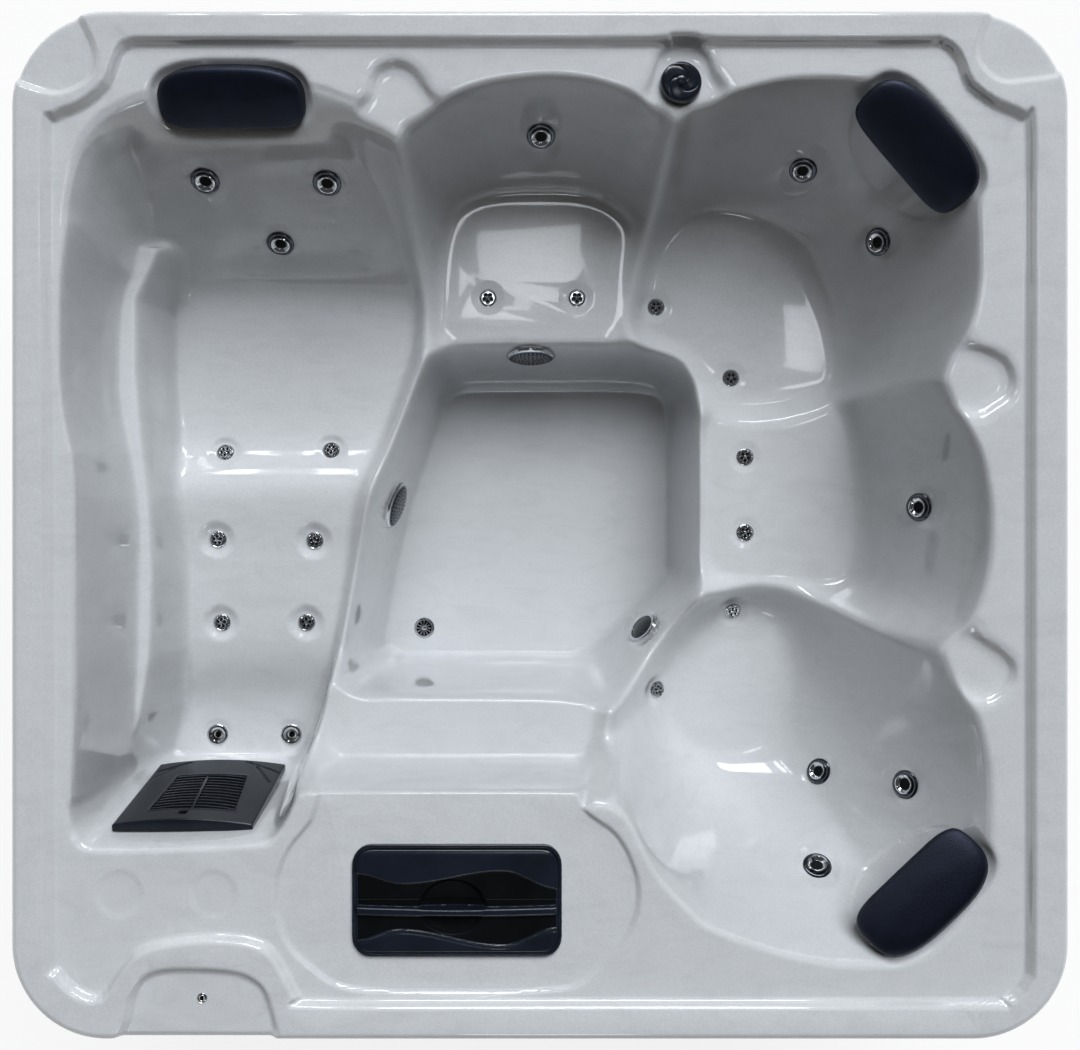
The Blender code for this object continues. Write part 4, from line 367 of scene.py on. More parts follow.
FINGER_WELL_SINK = 0.014
CARTRIDGE_FOLDS = 60

# Foot grille: forms in metres from its middle, right and up being positive; pairs of width and height
GRILLE_FIELD = (-0.070, 0.108)
GRILLE_FIELD_LEFT = (-0.074, -0.081)
GRILLE_FIELD_RIGHT = (0.077, 0.094)
GRILLE_BAR_PLACE = (-0.008, 0.006)
GRILLE_ROWS = 12
GRILLE_ROD_RADIUS = 0.0020
GRILLE_ARCH = 0.008
GRILLE_SINK = 0.003
GRILLE_HOLE = (-0.007, 0.128, 0.0075)
GRILLE_FRAME = (0.006, 0.0012)
GRILLE_FIELD_SINK = 0.0100
GRILLE_HOLE_SINK = 0.0080
GRILLE_STROKE = (0.006, 0.0030)
GRILLE_EDGE = (0.003, 0.0020)
GRILLE_STROKES = [((-0.132, -0.113), (-0.066, -0.150)), ((-0.134, -0.062), (-0.098, -0.122)),
                  ((0.059, -0.150), (0.140, -0.110)), ((0.088, -0.125), (0.131, -0.050))]

# Stage, in metres and watts; the photograph is square on, from straight above
FRAME_WIDTH = 1080
PHOTO_SCALE = 0.001979
CAMERA_RISE = 2.4
WORLD_LEVEL = 0.032
CEILING_LEVEL = 0.06
CEILING_RISE = (0.10, 0.45)
# Broad daylight from the north, a little east: way to it, its width in degrees, watts per square metre
DAYLIGHT = ((0.27, 0.75, 1.0), 46.0, 3.75)
DAYLIGHT_COLOUR = "#F6FAFF"
FILL_COLOUR = "#FFE6C4"
# Panels of light: place, target, size, watts, and whether they light the object or only shine in it
STUDIO_PANELS = {
    "north_window": ((0.36, 4.4, 2.9), (0.36, 0.0, 0.5), (2.70, 1.4), 120.0, False),
    "north_window_pane": ((-1.34, 4.4, 2.9), (-1.34, 0.0, 0.5), (0.16, 1.4), 7.0, False),
    "north_window_end": ((-1.80, 4.4, 2.9), (-1.80, 0.0, 0.5), (0.18, 1.4), 8.0, False),
    "corner_skylight": ((1.35, 1.00, 3.9), (1.35, 1.00, 0.0), (0.20, 0.30), 0.9, False),
    "skylight": ((-0.05, 1.33, 3.9), (0.0, 0.62, 0.5), (0.52, 0.34), 2.4, True),
    "south_strip": ((-0.08, -3.4, 3.6), (0.0, 0.0, 0.5), (1.0, 0.5), 8.0, False)}

# Most triangles of the moulded shell, and the reach at which loose corners are welded
SKIN_TRIANGLES = 180000
WELD_REACH = 0.00001
# Reach of the filter opening's cutter below and above the rim
CUTTER_REACH = (0.12, 0.05)

# The sheet's own rounding of creases, and the step for slopes
FORMING_RADIUS = 0.024
CRISP_RADIUS = 0.009
CRISP_FADE = 0.030
# Parts of the plan with crisper creases, as shares: west, east, south and north edge
CRISP_PARTS = [(-1.00, -0.79, -0.56, 0.62), (-0.47, 0.12, -0.57, -0.33)]
GRADIENT_STEP = 0.006
# Least width of a wall, and least and greatest share of it that its foot and brim fillets take
HAIR = 1e-9 * LENGTH
FILLET_SHARES = (0.02, 0.5)
BRIM_SHARES = (0.02, 0.45)
# The pocket moulded behind the open bore of a large or medium jet
BORE_SINK = 0.015
BORE_EDGE = 0.006
BORE_SLOPE = 0.007
Fitting = namedtuple("Fitting", "name kind place radius pad sink slope")


def half_plan(shares):
    return shares[0] * LENGTH / 2, shares[1] * WIDTH / 2


def eased(share):
    """A soft step: 0 below 0, 1 above 1, level at both ends."""
    share = np.clip(share, 0, 1)
    return share * share * (3 - 2 * share)


def spline(shares, steps=4):
    """Closed smooth outline through points given as shares of the plan."""
    points = np.array([half_plan(share) for share in shares])
    before, after, beyond = np.roll(points, 1, 0), np.roll(points, -1, 0), np.roll(points, -2, 0)
    rows = []
    for t in np.arange(steps) / steps:
        bend = 2 * before - 5 * points + 4 * after - beyond
        twist = 3 * (points - after) + beyond - before
        rows.append(points + t / 2 * (after - before + t * (bend + t * twist)))
    return np.stack(rows, 1).reshape(-1, 2)


def distance(x, y, outline):
    """Distance to a closed outline: positive outside, negative inside."""
    nearest = np.full(x.shape, np.inf)
    inside = np.zeros(x.shape, bool)
    for (ax, ay), (bx, by) in zip(outline, np.roll(outline, -1, 0)):
        ex, ey = bx - ax, by - ay
        t = np.clip(((x - ax) * ex + (y - ay) * ey) / (ex * ex + ey * ey), 0, 1)
        nearest = np.minimum(nearest, (x - ax - t * ex) ** 2 + (y - ay - t * ey) ** 2)
        if ey:
            inside ^= ((ay > y) != (by > y)) & (x < ax + (y - ay) * ex / ey)
    return np.where(inside, -1, 1) * np.sqrt(nearest)


def blend_deeper(a, b, rounding=RIDGE_ROUNDING):
    """The deeper of two surfaces, with the ridge between them rounded."""
    near = np.clip(1 - np.abs(a - b) / rounding, 0, None)
    return np.maximum(a, b) + near * near * rounding / 4


def bowl(x, y, rim_shares, pan_shares, pan_depth, foot_fillet, brim_fillet=COAMING_FILLET,
         rim_depth=DECK_DEPTH, fall=BRIM_FALL_SLOPE):
    """Depth of a bowl lofted from its rim down to its pan; outside its rim it slopes up and away."""
    rim, pan = spline(rim_shares), spline(pan_shares)
    reach = rim_depth / fall
    low, high = rim.min(0) - reach, rim.max(0) + reach
    here = (x > low[0]) & (x < high[0]) & (y > low[1]) & (y < high[1])
    depth = np.zeros(x.shape)
    if not here.any():
        return depth
    out = np.maximum(distance(x[here], y[here], pan), 0)
    past_rim = distance(x[here], y[here], rim)
    room = np.maximum(-past_rim, 0)
    width = out + room + HAIR
    t = out / width
    foot = np.clip(foot_fillet / width, *FILLET_SHARES)
    brim = np.clip(brim_fillet / width, *BRIM_SHARES)
    slope = 1 / (1 - foot / 2 - brim / 2)
    rise = np.where(t < foot, slope * t * t / (2 * foot), slope * (t - foot / 2))
    rise = np.where(t > 1 - brim, 1 - slope * (1 - t) ** 2 / (2 * brim), rise)
    floor = pan_depth[here] if isinstance(pan_depth, np.ndarray) else pan_depth
    depth[here] = floor + (rim_depth - floor) * rise - fall * np.maximum(past_rim, 0)
    return depth


def deck(x, y):
    """Depth of the raised rim band and of the deck inside its step line."""
    return DECK_DEPTH * (1 - eased(distance(x, y, spline(STEP_LINE_SHARES, 3)) / DECK_STEP_WIDTH + 0.5))


def recess(x, y, outline_shares, depth, width=DECK_STEP_WIDTH):
    """Depth of a shallow recess with soft walls; zero outside it."""
    return depth * eased(-distance(x, y, spline(outline_shares)) / width)


def lounge_floor(x, y):
    """Depth of the lounger's floor along its length; the crease under the back bows towards the head."""
    points = np.array(LOUNGE_PROFILE_SHARES) * (WIDTH / 2, LOUNGE_SEAT_DEPTH)
    lane = np.linspace(points[0, 0], points[-1, 0], LOUNGE_STEPS)
    depth = np.interp(lane, points[:, 0], points[:, 1])
    window = np.hanning(LOUNGE_WINDOW)
    padded = np.pad(depth, LOUNGE_WINDOW // 2, mode="edge")
    smooth = np.convolve(padded, window / window.sum(), mode="valid")
    across = (x / (LENGTH / 2) - LOUNGE_MIDDLE_SHARE) / LOUNGE_HALF_SHARE
    near = np.clip(1 - ((y / (WIDTH / 2) - LOUNGE_CREASE_SHARE) / LOUNGE_CREASE_REACH) ** 2, 0, 1)
    return np.interp(y - LOUNGE_BOW * near ** 2 * np.clip(1 - across ** 2, -1, 1), lane, smooth)


def ledge_floor(x, y):
    """Greatest depth of the lounger's outer wall beside its ledge: flat up to the ridge, steep past it."""
    ridge_x, ridge_y = (np.array(LEDGE_RIDGE_SHARES) * (LENGTH / 2, WIDTH / 2)).T
    past = np.maximum(x - np.interp(y, ridge_y, ridge_x), 0)
    beyond = np.maximum(ridge_y[0] - y, 0) + np.maximum(y - ridge_y[-1], 0)
    return LEDGE_DEPTH + LEDGE_DROP_SLOPE * (past + beyond)


def seats(x, y):
    """Depth of the basin: every seat, the lounger, the step and the footwell."""
    basin = bowl(x, y, LOUNGE_RIM_SHARES, LOUNGE_PAN_SHARES, lounge_floor(x, y), LOUNGE_FOOT_FILLET)
    ledge = bowl(x, y, LOUNGE_RIM_SHARES, LEDGE_SHARES, LEDGE_DEPTH, RECESS_FILLET, RECESS_FILLET)
    basin = blend_deeper(basin, ledge)
    basin = -blend_deeper(-basin, -ledge_floor(x, y), RECESS_FILLET)
    for rim, pan, depth, foot in (
            (BACK_RIM_SHARES, BACK_PAN_SHARES, BACK_SEAT_DEPTH, BACK_FOOT_FILLET),
            (CORNER_RIM_SHARES, CORNER_PAN_SHARES, CORNER_SEAT_DEPTH, CORNER_FOOT_FILLET),
            (SIDE_RIM_SHARES, SIDE_PAN_SHARES, SIDE_SEAT_DEPTH, SIDE_FOOT_FILLET),
            (BUCKET_RIM_SHARES, BUCKET_PAN_SHARES, BUCKET_SEAT_DEPTH, BUCKET_FOOT_FILLET),
            (STEP_RIM_SHARES, STEP_PAN_SHARES, STEP_SEAT_DEPTH, STEP_FOOT_FILLET)):
        basin = blend_deeper(basin, bowl(x, y, rim, pan, depth, foot))
    well = bowl(x, y, FOOTWELL_BRIM_SHARES, FOOTWELL_FLOOR_SHARES, HEIGHT - FOOTWELL_FLOOR_HEIGHT,
                FOOTWELL_FOOT_FILLET, rim_depth=FOOTWELL_BRIM_DEPTH, fall=FOOTWELL_DRAFT_SLOPE)
    return np.maximum(blend_deeper(basin, well), DECK_DEPTH)


def surface_depth(x, y):
    """Depth of the finished acrylic surface below the rim, without the fittings' pads."""
    rim = deck(x, y)
    depth = rim + seats(x, y) - DECK_DEPTH
    for outline, floor in (
            (BLANK_POCKET_SHARES, BLANK_FLOOR_SHARES), (KNOB_POCKET_SHARES, KNOB_FLOOR_SHARES),
            (UPPER_POCKET_SHARES, UPPER_FLOOR_SHARES), (LOWER_POCKET_SHARES, LOWER_FLOOR_SHARES)):
        pocket = bowl(x, y, outline, floor, POCKET_DEPTH, RECESS_FILLET, RECESS_FILLET)
        depth = blend_deeper(depth, rim + pocket - DECK_DEPTH, RECESS_FILLET)
    depth = np.maximum(depth, rim + recess(x, y, FILTER_DECK_SHARES, FILTER_DECK_DEPTH - DECK_DEPTH,
                                           DECK_STEP_WIDTH / 2))
    depth = np.maximum(depth, recess(x, y, PANEL_RECESS_SHARES, PANEL_RECESS_DEPTH))
    for dish in (WEST_DISH_SHARES, EAST_DISH_SHARES):
        depth = np.maximum(depth, recess(x, y, dish, DISH_DEPTH))
    for place in DISC_PLACE_SHARES:
        px, py = half_plan(place)
        depth = depth + DISC_SINK * eased((DISC_RADIUS - np.hypot(x - px, y - py)) / (2 * RECESS_FILLET))
    for name, place in headrest_frames().items():
        depth = blend_deeper(depth, headrest_seat(x, y, name, place), RECESS_FILLET)
    return depth


def headrest_frames():
    """Matrix of each headrest: its middle on its leaning seat, +Y uphill, +Z out of the seat."""
    frames = {}
    for name, place in HEADREST_PLACE_SHARES.items():
        px, py = half_plan(place)
        turn = HEADREST_TURN_DEGREES[name]
        spot = Matrix.Translation((px, py, HEIGHT - HEADREST_DEPTH))
        lean = Matrix.Rotation(math.radians(HEADREST_LEAN_DEGREES), 4, "X")
        frames[name] = spot @ Matrix.Rotation(math.radians(turn), 4, "Z") @ lean
    return frames


def pillow_outline(name, count):
    """Outline of a headrest: flat along its lower edge with tight corners, arched along its upper one."""
    down, up = HEADREST_REACH[name]
    points = []
    for number in range(count):
        angle = math.tau * (number + 0.5) / count
        c, s = math.cos(angle), math.sin(angle)
        power = HEADREST_POWERS[s > 0]
        u = math.copysign(abs(c) ** power, c)
        v = math.copysign(abs(s) ** power, s)
        if v > 0:
            reach_u, reach_v = 1 - 0.07 * v, up * (1 + 0.08 * (1 - u * u))
        else:
            reach_u, reach_v = 1 + 0.05 * v, down * (1 - 0.04 * (1 - u * u))
        points.append((u * reach_u * HEADREST_LENGTH / 2, v * reach_v * HEADREST_WIDTH / 2))
    return points


def headrest_seat(x, y, name, place):
    """Depth of the leaning seat moulded under a headrest, faded out round its outline."""
    out, middle = np.array(place.to_3x3().col[2]), np.array(place.translation)
    plane = HEIGHT - middle[2] + ((x - middle[0]) * out[0] + (y - middle[1]) * out[1]) / out[2]
    edge = np.zeros(x.shape)
    near = np.hypot(x - middle[0], y - middle[1]) < HEADREST_LENGTH
    if near.any():
        outline = np.array([(place @ Vector((u, v, 0)))[:2] for u, v in pillow_outline(name, 48)])
        edge[near] = eased(1 - distance(x[near], y[near], outline) / HEADREST_FADE)
    return plane * edge - RECESS_FILLET * (1 - edge)


def seat_frames(fittings):
    """Matrix of each fitting's flat seat: origin on the acrylic, +Z out of it, on the hinge if it has one."""
    x, y = np.array([half_plan(fitting.place) for fitting in fittings]).T
    depth = surface_depth(x, y)
    grade_x = surface_depth(x + GRADIENT_STEP, y) - surface_depth(x - GRADIENT_STEP, y)
    grade_y = surface_depth(x, y + GRADIENT_STEP) - surface_depth(x, y - GRADIENT_STEP)
    hinges = {joint["child"]: joint for joint in frame["record"]["behaviour"]["joints"]
              if joint["type"] == "hinge"}
    frames = {}
    for i, fitting in enumerate(fittings):
        grade = Vector((grade_x[i], grade_y[i])) / (2 * GRADIENT_STEP)
        if grade.length > fitting.slope:
            grade *= fitting.slope / grade.length
        out, spot = (grade.x, grade.y, 1.0), (x[i], y[i], HEIGHT - depth[i] - fitting.sink)
        if fitting.name in hinges:
            out, spot = hinges[fitting.name]["axis"], hinges[fitting.name]["pos_m"]
        turn = Vector(out).to_track_quat("Z", "Y").to_matrix().to_4x4()
        frames[fitting.name] = Matrix.Translation(spot) @ turn
    return frames


def padded_depth(x, y, depth, fittings, frames):
    """Depth of the acrylic surface with a flat pad moulded round every fitting."""
    for fitting in fittings:
        out = frames[fitting.name].to_3x3().col[2]
        middle = frames[fitting.name].translation
        drop = ((x - middle.x) * out.x + (y - middle.y) * out.y) / out.z
        reach = np.sqrt((x - middle.x) ** 2 + (y - middle.y) ** 2 + drop ** 2)
        mix = eased((fitting.pad - reach) / (fitting.pad - fitting.radius))
        depth = depth + mix * (HEIGHT - middle.z + drop - depth)
        if fitting.kind in ("large", "medium"):
            depth = depth + eased((fitting.radius - BORE_EDGE - reach) / BORE_SLOPE) * BORE_SINK / out.z
    return depth


def rounded_square(a, b, half_x, half_y, radius):
    """Plan point at the square coordinates (a, b), each -1 to 1, of a rounded rectangle."""
    reach = np.maximum(np.abs(a), np.abs(b))
    reach = np.where(reach == 0, 1.0, reach)
    x, y = half_x * np.abs(a) / reach, half_y * np.abs(b) / reach
    corner_x, corner_y = half_x - radius, half_y - radius
    lead = np.where(x + y == 0, 1.0, x * x + y * y)
    dot = x * corner_x + y * corner_y
    inner = dot * dot - lead * (corner_x ** 2 + corner_y ** 2 - radius ** 2)
    share = np.where((x > corner_x) & (y > corner_y), (dot + np.sqrt(np.maximum(inner, 0))) / lead, 1.0)
    share = np.minimum(share, 1.0)
    return a * half_x * share, b * half_y * share


def on_rounded_outline(a, b, inset):
    """Plan point at the square coordinates (a, b) of an outline inset from the tub's."""
    radius = max(CORNER_RADIUS - inset, EDGE_RADIUS)
    return rounded_square(a, b, LENGTH / 2 - inset, WIDTH / 2 - inset, radius)


def grille_frame():
    """Matrix of the foot grille's seat: +Z towards the lounger, +Y up the wall."""
    x, y = half_plan(GRILLE_PLACE_SHARES)
    out = Vector((0.0, 1.0, GRILLE_LEAN_SLOPE)).normalized()
    up = Vector((0.0, -GRILLE_LEAN_SLOPE, 1.0)).normalized()
    turn = Matrix((up.cross(out), up, out)).transposed().to_4x4()
    return Matrix.Translation((x, y, HEIGHT - GRILLE_DEPTH)) @ turn


def jets_and_fittings():
    """Every round fitting and the flat seat it has on the shell."""
    rows = []
    for seat, jets in JET_PLACE_SHARES.items():
        for number, (x, y, kind) in enumerate(jets, 1):
            rows.append(Fitting(f"jet_{seat}_{number}", kind, (x, y), JET_RADIUS[kind], JET_PAD_RADIUS[kind],
                                JET_PAD_SINK[kind], JET_SLOPE_LIMIT[kind]))
    for name, (place, radius, pad, slope) in FOOTWELL_FITTINGS.items():
        rows.append(Fitting(name, name, place, radius, pad, 0.0, slope))
    rows.append(Fitting("diverter_knob", "knob", KNOB_PLACE_SHARES, KNOB_RADIUS, KNOB_PAD_RADIUS, 0.0, 0.0))
    rows.append(Fitting("panel_air_valve", "valve", PANEL_FITTING_PLACE_SHARES, PANEL_FITTING_RADIUS,
                        PANEL_PAD_RADIUS, 0.0, 0.0))
    return rows


FITTINGS = jets_and_fittings()
FRAMES = seat_frames(FITTINGS)


def depth_field(pitch):
    """The surface's depth on a regular grid of the plan, worked out once, with the headrests' seats sunk."""
    xs = np.arange(-LENGTH / 2 - pitch, LENGTH / 2 + 2 * pitch, pitch)
    ys = np.arange(-WIDTH / 2 - pitch, WIDTH / 2 + 2 * pitch, pitch)
    x, y = np.meshgrid(xs, ys, indexing="ij")
    formed = surface_depth(x, y)
    depth = drawn_smooth(formed, pitch, FORMING_RADIUS)
    crisp = drawn_smooth(formed, pitch, CRISP_RADIUS) - depth
    for west, east, south, north in CRISP_PARTS:
        inside = np.minimum(np.minimum(x - west * LENGTH / 2, east * LENGTH / 2 - x),
                            np.minimum(y - south * WIDTH / 2, north * WIDTH / 2 - y))
        depth = depth + crisp * eased(inside / CRISP_FADE)
    depth = padded_depth(x, y, depth, FITTINGS, FRAMES)
    for name, place in headrest_frames().items():
        outline = np.array([(place @ Vector((u, v, 0)))[:2] for u, v in pillow_outline(name, 96)])
        inside = np.clip(-distance(x, y, outline) / HEADREST_SINK, 0, 1)
        depth = depth + HEADREST_SINK / place[2][2] * inside
    return xs, ys, depth


def drawn_smooth(depth, pitch, radius):
    """The hot sheet rounds every crease of the mould; the rim and the deck stay crisp."""
    reach = max(1, round(radius / pitch))
    window = np.hanning(2 * reach + 3)[1:-1]
    soft = depth
    for axis in (0, 1):
        spread = np.zeros_like(soft)
        for shift, weight in zip(range(-reach, reach + 1), window / window.sum()):
            spread += weight * np.roll(soft, shift, axis)
        soft = spread
    mix = np.clip((soft - DECK_DEPTH) / FORMING_RADIUS, 0, 1)
    return depth + (soft - depth) * mix


def sampled(field, xs, ys, x, y):
    """Values of a grid field at points between its grid points."""
    u = np.clip((x - xs[0]) / (xs[1] - xs[0]), 0, len(xs) - 1.001)
    v = np.clip((y - ys[0]) / (ys[1] - ys[0]), 0, len(ys) - 1.001)
    i, j = u.astype(int), v.astype(int)
    u, v = u - i, v - j
    return ((1 - u) * (1 - v) * field[i, j] + u * (1 - v) * field[i + 1, j]
            + (1 - u) * v * field[i, j + 1] + u * v * field[i + 1, j + 1])


def deselect():
    bpy.ops.object.select_all(action="DESELECT")


def edit_all(obj, kind="FACE"):
    """Into edit mode on this object, with all of it selected."""
    only(obj)
    bpy.ops.object.mode_set(mode="EDIT")
    bpy.ops.mesh.select_mode(type=kind)
    bpy.ops.mesh.select_all(action="SELECT")


def close_up():
    """Turn all faces outwards and leave edit mode."""
    bpy.ops.mesh.select_all(action="SELECT")
    bpy.ops.mesh.normals_make_consistent(inside=False)
    bpy.ops.object.mode_set(mode="OBJECT")


def draw_up(rise, share_x=1.0, share_y=1.0, height=0.0):
    """In edit mode, extrude the selected faces by a rise, then resize them at their new height."""
    bpy.ops.mesh.extrude_region_move(TRANSFORM_OT_translate={"value": (0, 0, rise), "orient_type": "GLOBAL"})
    if (share_x, share_y) != (1.0, 1.0):
        bpy.ops.transform.resize(value=(share_x, share_y, 1), center_override=(0, 0, height))


def place_of_verts(obj):
    """Every point of a mesh as a row of x, y, z."""
    place = np.empty(len(obj.data.vertices) * 3)
    obj.data.vertices.foreach_get("co", place)
    return place.reshape(-1, 3)


def only(*objs):
    """Select these objects alone, the first of them active."""
    if bpy.context.object and bpy.context.object.mode != "OBJECT":
        bpy.ops.object.mode_set(mode="OBJECT")
    deselect()
    for obj in objs:
        obj.select_set(True)
    bpy.context.view_layer.objects.active = objs[0]


def started(name):
    """The primitive that was just added, under its own name."""
    obj = bpy.context.object
    obj.name = name
    obj.data.name = name
    return obj


def disc(name, radius, height, sides):
    """A flat filled disc, the start of a turned piece."""
    deselect()
    bpy.ops.mesh.primitive_circle_add(vertices=sides, radius=radius, fill_type="NGON",
                                      location=(0, 0, height))
    obj = started(name)
    bpy.ops.object.transform_apply(location=True, rotation=True, scale=True)
    return obj


def pick_edges(obj, test):
    """In edit mode, select the edges that pass a test, and nothing else."""
    bpy.ops.mesh.select_all(action="DESELECT")
    bpy.ops.mesh.select_mode(type="EDGE")
    bm = bmesh.from_edit_mesh(obj.data)
    chosen = [edge for edge in bm.edges if test(edge)]
    if not chosen:
        raise RuntimeError(f"{obj.name}: nothing there to shape")
    for edge in chosen:
        edge.select_set(True)
    bmesh.update_edit_mesh(obj.data)


def grow(profile, start):
    """In edit mode, draw the selected face out through (radius, height) steps; radius zero closes it."""
    radius, height = start
    for next_radius, next_height in profile:
        share = next_radius / radius if next_radius > 0 else 1.0
        draw_up(next_height - height, share, share, next_height)
        if next_radius <= 0:
            bpy.ops.mesh.merge(type="CENTER")
            return
        radius, height = next_radius, next_height


def turned(name, profile, sides):
    """A turned piece: a disc drawn up through its profile of (radius, height), base first."""
    obj = disc(name, profile[0][0], profile[0][1], sides)
    edit_all(obj)
    grow(profile[1:], profile[0])
    close_up()
    return obj


def block(name, size, place, bevel):
    """A block with its edges rounded, at its size and place."""
    deselect()
    bpy.ops.mesh.primitive_cube_add(size=1, location=place)
    obj = started(name)
    obj.scale = size
    bpy.ops.object.transform_apply(location=True, rotation=True, scale=True)
    edit_all(obj)
    bpy.ops.mesh.bevel(offset=bevel, segments=2)
    bpy.ops.object.mode_set(mode="OBJECT")
    return obj


def drawn_plate(name, radius, levels):
    """A rounded rectangle drawn up through its levels of (size, size, height), closed at both ends."""
    size_x, size_y, height = levels[0]
    deselect()
    bpy.ops.mesh.primitive_plane_add(size=1, location=(0, 0, height))
    obj = started(name)
    obj.scale = (size_x, size_y, 1)
    bpy.ops.object.transform_apply(location=True, rotation=True, scale=True)
    bpy.ops.object.mode_set(mode="EDIT")
    bpy.ops.mesh.select_all(action="SELECT")
    bpy.ops.mesh.bevel(offset=radius, segments=6, affect="VERTICES")
    bpy.ops.mesh.select_mode(type="FACE")
    bpy.ops.mesh.select_all(action="SELECT")
    for next_x, next_y, next_height in levels[1:]:
        draw_up(next_height - height, next_x / size_x, next_y / size_y, next_height)
        size_x, size_y, height = next_x, next_y, next_height
    close_up()
    return obj


def modify(obj, kind, **settings):
    """Add a modifier with its settings and apply it."""
    only(obj)
    modifier = obj.modifiers.new(kind.title(), kind)
    for name, value in settings.items():
        setattr(modifier, name, value)
    bpy.ops.object.modifier_apply(modifier=modifier.name)


def joined(name, *objs):
    """One piece made of several."""
    only(*objs)
    if len(objs) > 1:
        bpy.ops.object.join()
    obj = bpy.context.object
    obj.name = name
    obj.data.name = name
    return obj


def linked(name, data):
    """A new object of this data, in the scene."""
    obj = bpy.data.objects.new(name, data)
    bpy.context.scene.collection.objects.link(obj)
    return obj


def copied(obj, name, matrix):
    """A copy with a mesh of its own, placed by moving its mesh."""
    mesh = obj.data.copy()
    mesh.name = name
    mesh.transform(matrix)
    return linked(name, mesh)


def coat(obj, *finishes):
    """Put these finishes in the piece's material slots."""
    obj.data.materials.clear()
    for made in finishes:
        obj.data.materials.append(made)


def tint(obj, slot, test):
    """Give the faces whose middle passes the test another finish."""
    for face in obj.data.polygons:
        if test(face.center):
            face.material_index = slot


def smooth(obj, degrees):
    only(obj)
    bpy.ops.object.shade_smooth_by_angle(angle=math.radians(degrees))


def seated(obj, body, slot, *nodes):
    """The finished piece rides its body and hides the solids that it stands for."""
    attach(obj, body)
    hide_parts(*nodes)


def linear(code):
    """An sRGB hex colour as the linear values that shaders take."""
    parts = [int(code[i:i + 2], 16) / 255 for i in (1, 3, 5)]
    return (*[p / 12.92 if p <= 0.04045 else ((p + 0.055) / 1.055) ** 2.4 for p in parts], 1.0)


def add_node(tree, kind, settings=None, links=None, **fields):
    """One node with its fields, its sockets' values and its incoming links."""
    node = tree.nodes.new(kind)
    for name, value in fields.items():
        setattr(node, name, value)
    for name, value in (settings or {}).items():
        node.inputs[name].default_value = value
    for name, source in (links or {}).items():
        tree.links.new(source, node.inputs[name])
    return node


def new_finish(name, **sockets):
    """A material with its principled shader's own values set, and its object coordinates."""
    made = bpy.data.materials.new(name)
    made.use_nodes = True
    tree = made.node_tree
    shader = tree.nodes["Principled BSDF"]
    for socket, value in sockets.items():
        shader.inputs[socket.replace("_", " ")].default_value = value
    coords = add_node(tree, "ShaderNodeTexCoord").outputs["Object"]
    return made, tree, shader, coords


def ramped(tree, source, stops):
    """A colour ramp over a texture's value; stops are (position, hex colour)."""
    ramp = add_node(tree, "ShaderNodeValToRGB", links={"Fac": source})
    band = ramp.color_ramp
    while len(band.elements) < len(stops):
        band.elements.new(0.5)
    for element, (position, code) in zip(band.elements, stops):
        element.position = position
        element.color = linear(code) if isinstance(code, str) else code
    return ramp.outputs["Color"]


def bumped(tree, shader, source, distance):
    """Relief from a texture's value; distance is its height in metres."""
    bump = add_node(tree, "ShaderNodeBump", {"Strength": 1.0, "Distance": distance}, {"Height": source})
    tree.links.new(bump.outputs["Normal"], shader.inputs["Normal"])


def pigmented(tree, shader, source, stops, relief=0.0):
    """Colour from a texture's value through a ramp, and relief from the same value, in metres."""
    tree.links.new(ramped(tree, source, stops), shader.inputs["Base Color"])
    if relief:
        bumped(tree, shader, source, relief)


def shade(colour, share):
    """A lighter or darker neighbour of a property's colour, as the values that shaders take."""
    return (*[min(1.0, channel * share) for channel in colour], 1.0)


def cloudy_acrylic(colour):
    """Vacuum-formed acrylic sheet: a hard gloss over a milky body, with faint clouds of pearl pigment."""
    made, tree, shader, coords = new_finish("pearl_cast_acrylic", Roughness=0.12, IOR=1.49, Coat_Weight=0.8,
                                            Coat_Roughness=0.03)
    # Clouds 120 mm across, drawn out along the sheet's pull
    place = add_node(tree, "ShaderNodeMapping", {"Rotation": (0.0, 0.0, 0.5), "Scale": (1.0, 2.2, 1.0)},
                     {"Vector": coords})
    cloud = add_node(tree, "ShaderNodeTexNoise", {"Scale": 8.0, "Detail": 5.0, "Roughness": 0.62,
                                                 "Distortion": 1.2}, {"Vector": place.outputs["Vector"]})
    base = ramped(tree, cloud.outputs["Fac"], ((0.30, shade(colour, 0.95)), (0.46, shade(colour, 1.0)),
                                               (0.58, shade(colour, 1.03)), (0.72, shade(colour, 0.98))))
    # Mica flakes 3 mm across, coarser than the real ones so that they show
    flake = add_node(tree, "ShaderNodeTexNoise", {"Scale": 330.0, "Detail": 2.0}, {"Vector": coords})
    light = ramped(tree, flake.outputs["Fac"], ((0.35, "#F4F4F4"), (0.65, "#FFFFFF")))
    mixed = add_node(tree, "ShaderNodeMix", {"Factor": 1.0}, data_type="RGBA", blend_type="MULTIPLY")
    tree.links.new(base, mixed.inputs["A"])
    tree.links.new(light, mixed.inputs["B"])
    tree.links.new(mixed.outputs["Result"], shader.inputs["Base Color"])
    return made


def plated_chrome():
    """Chromed ABS: a bright mirror, with a slight cloud of water marks."""
    made, tree, shader, coords = new_finish("plated_chrome", Metallic=1.0, Roughness=0.09)
    marks = add_node(tree, "ShaderNodeTexNoise", {"Scale": 160.0, "Detail": 3.0}, {"Vector": coords})
    pigmented(tree, shader, marks.outputs["Fac"], ((0.35, "#D3D5D9"), (0.65, "#E4E6E8")))
    return made


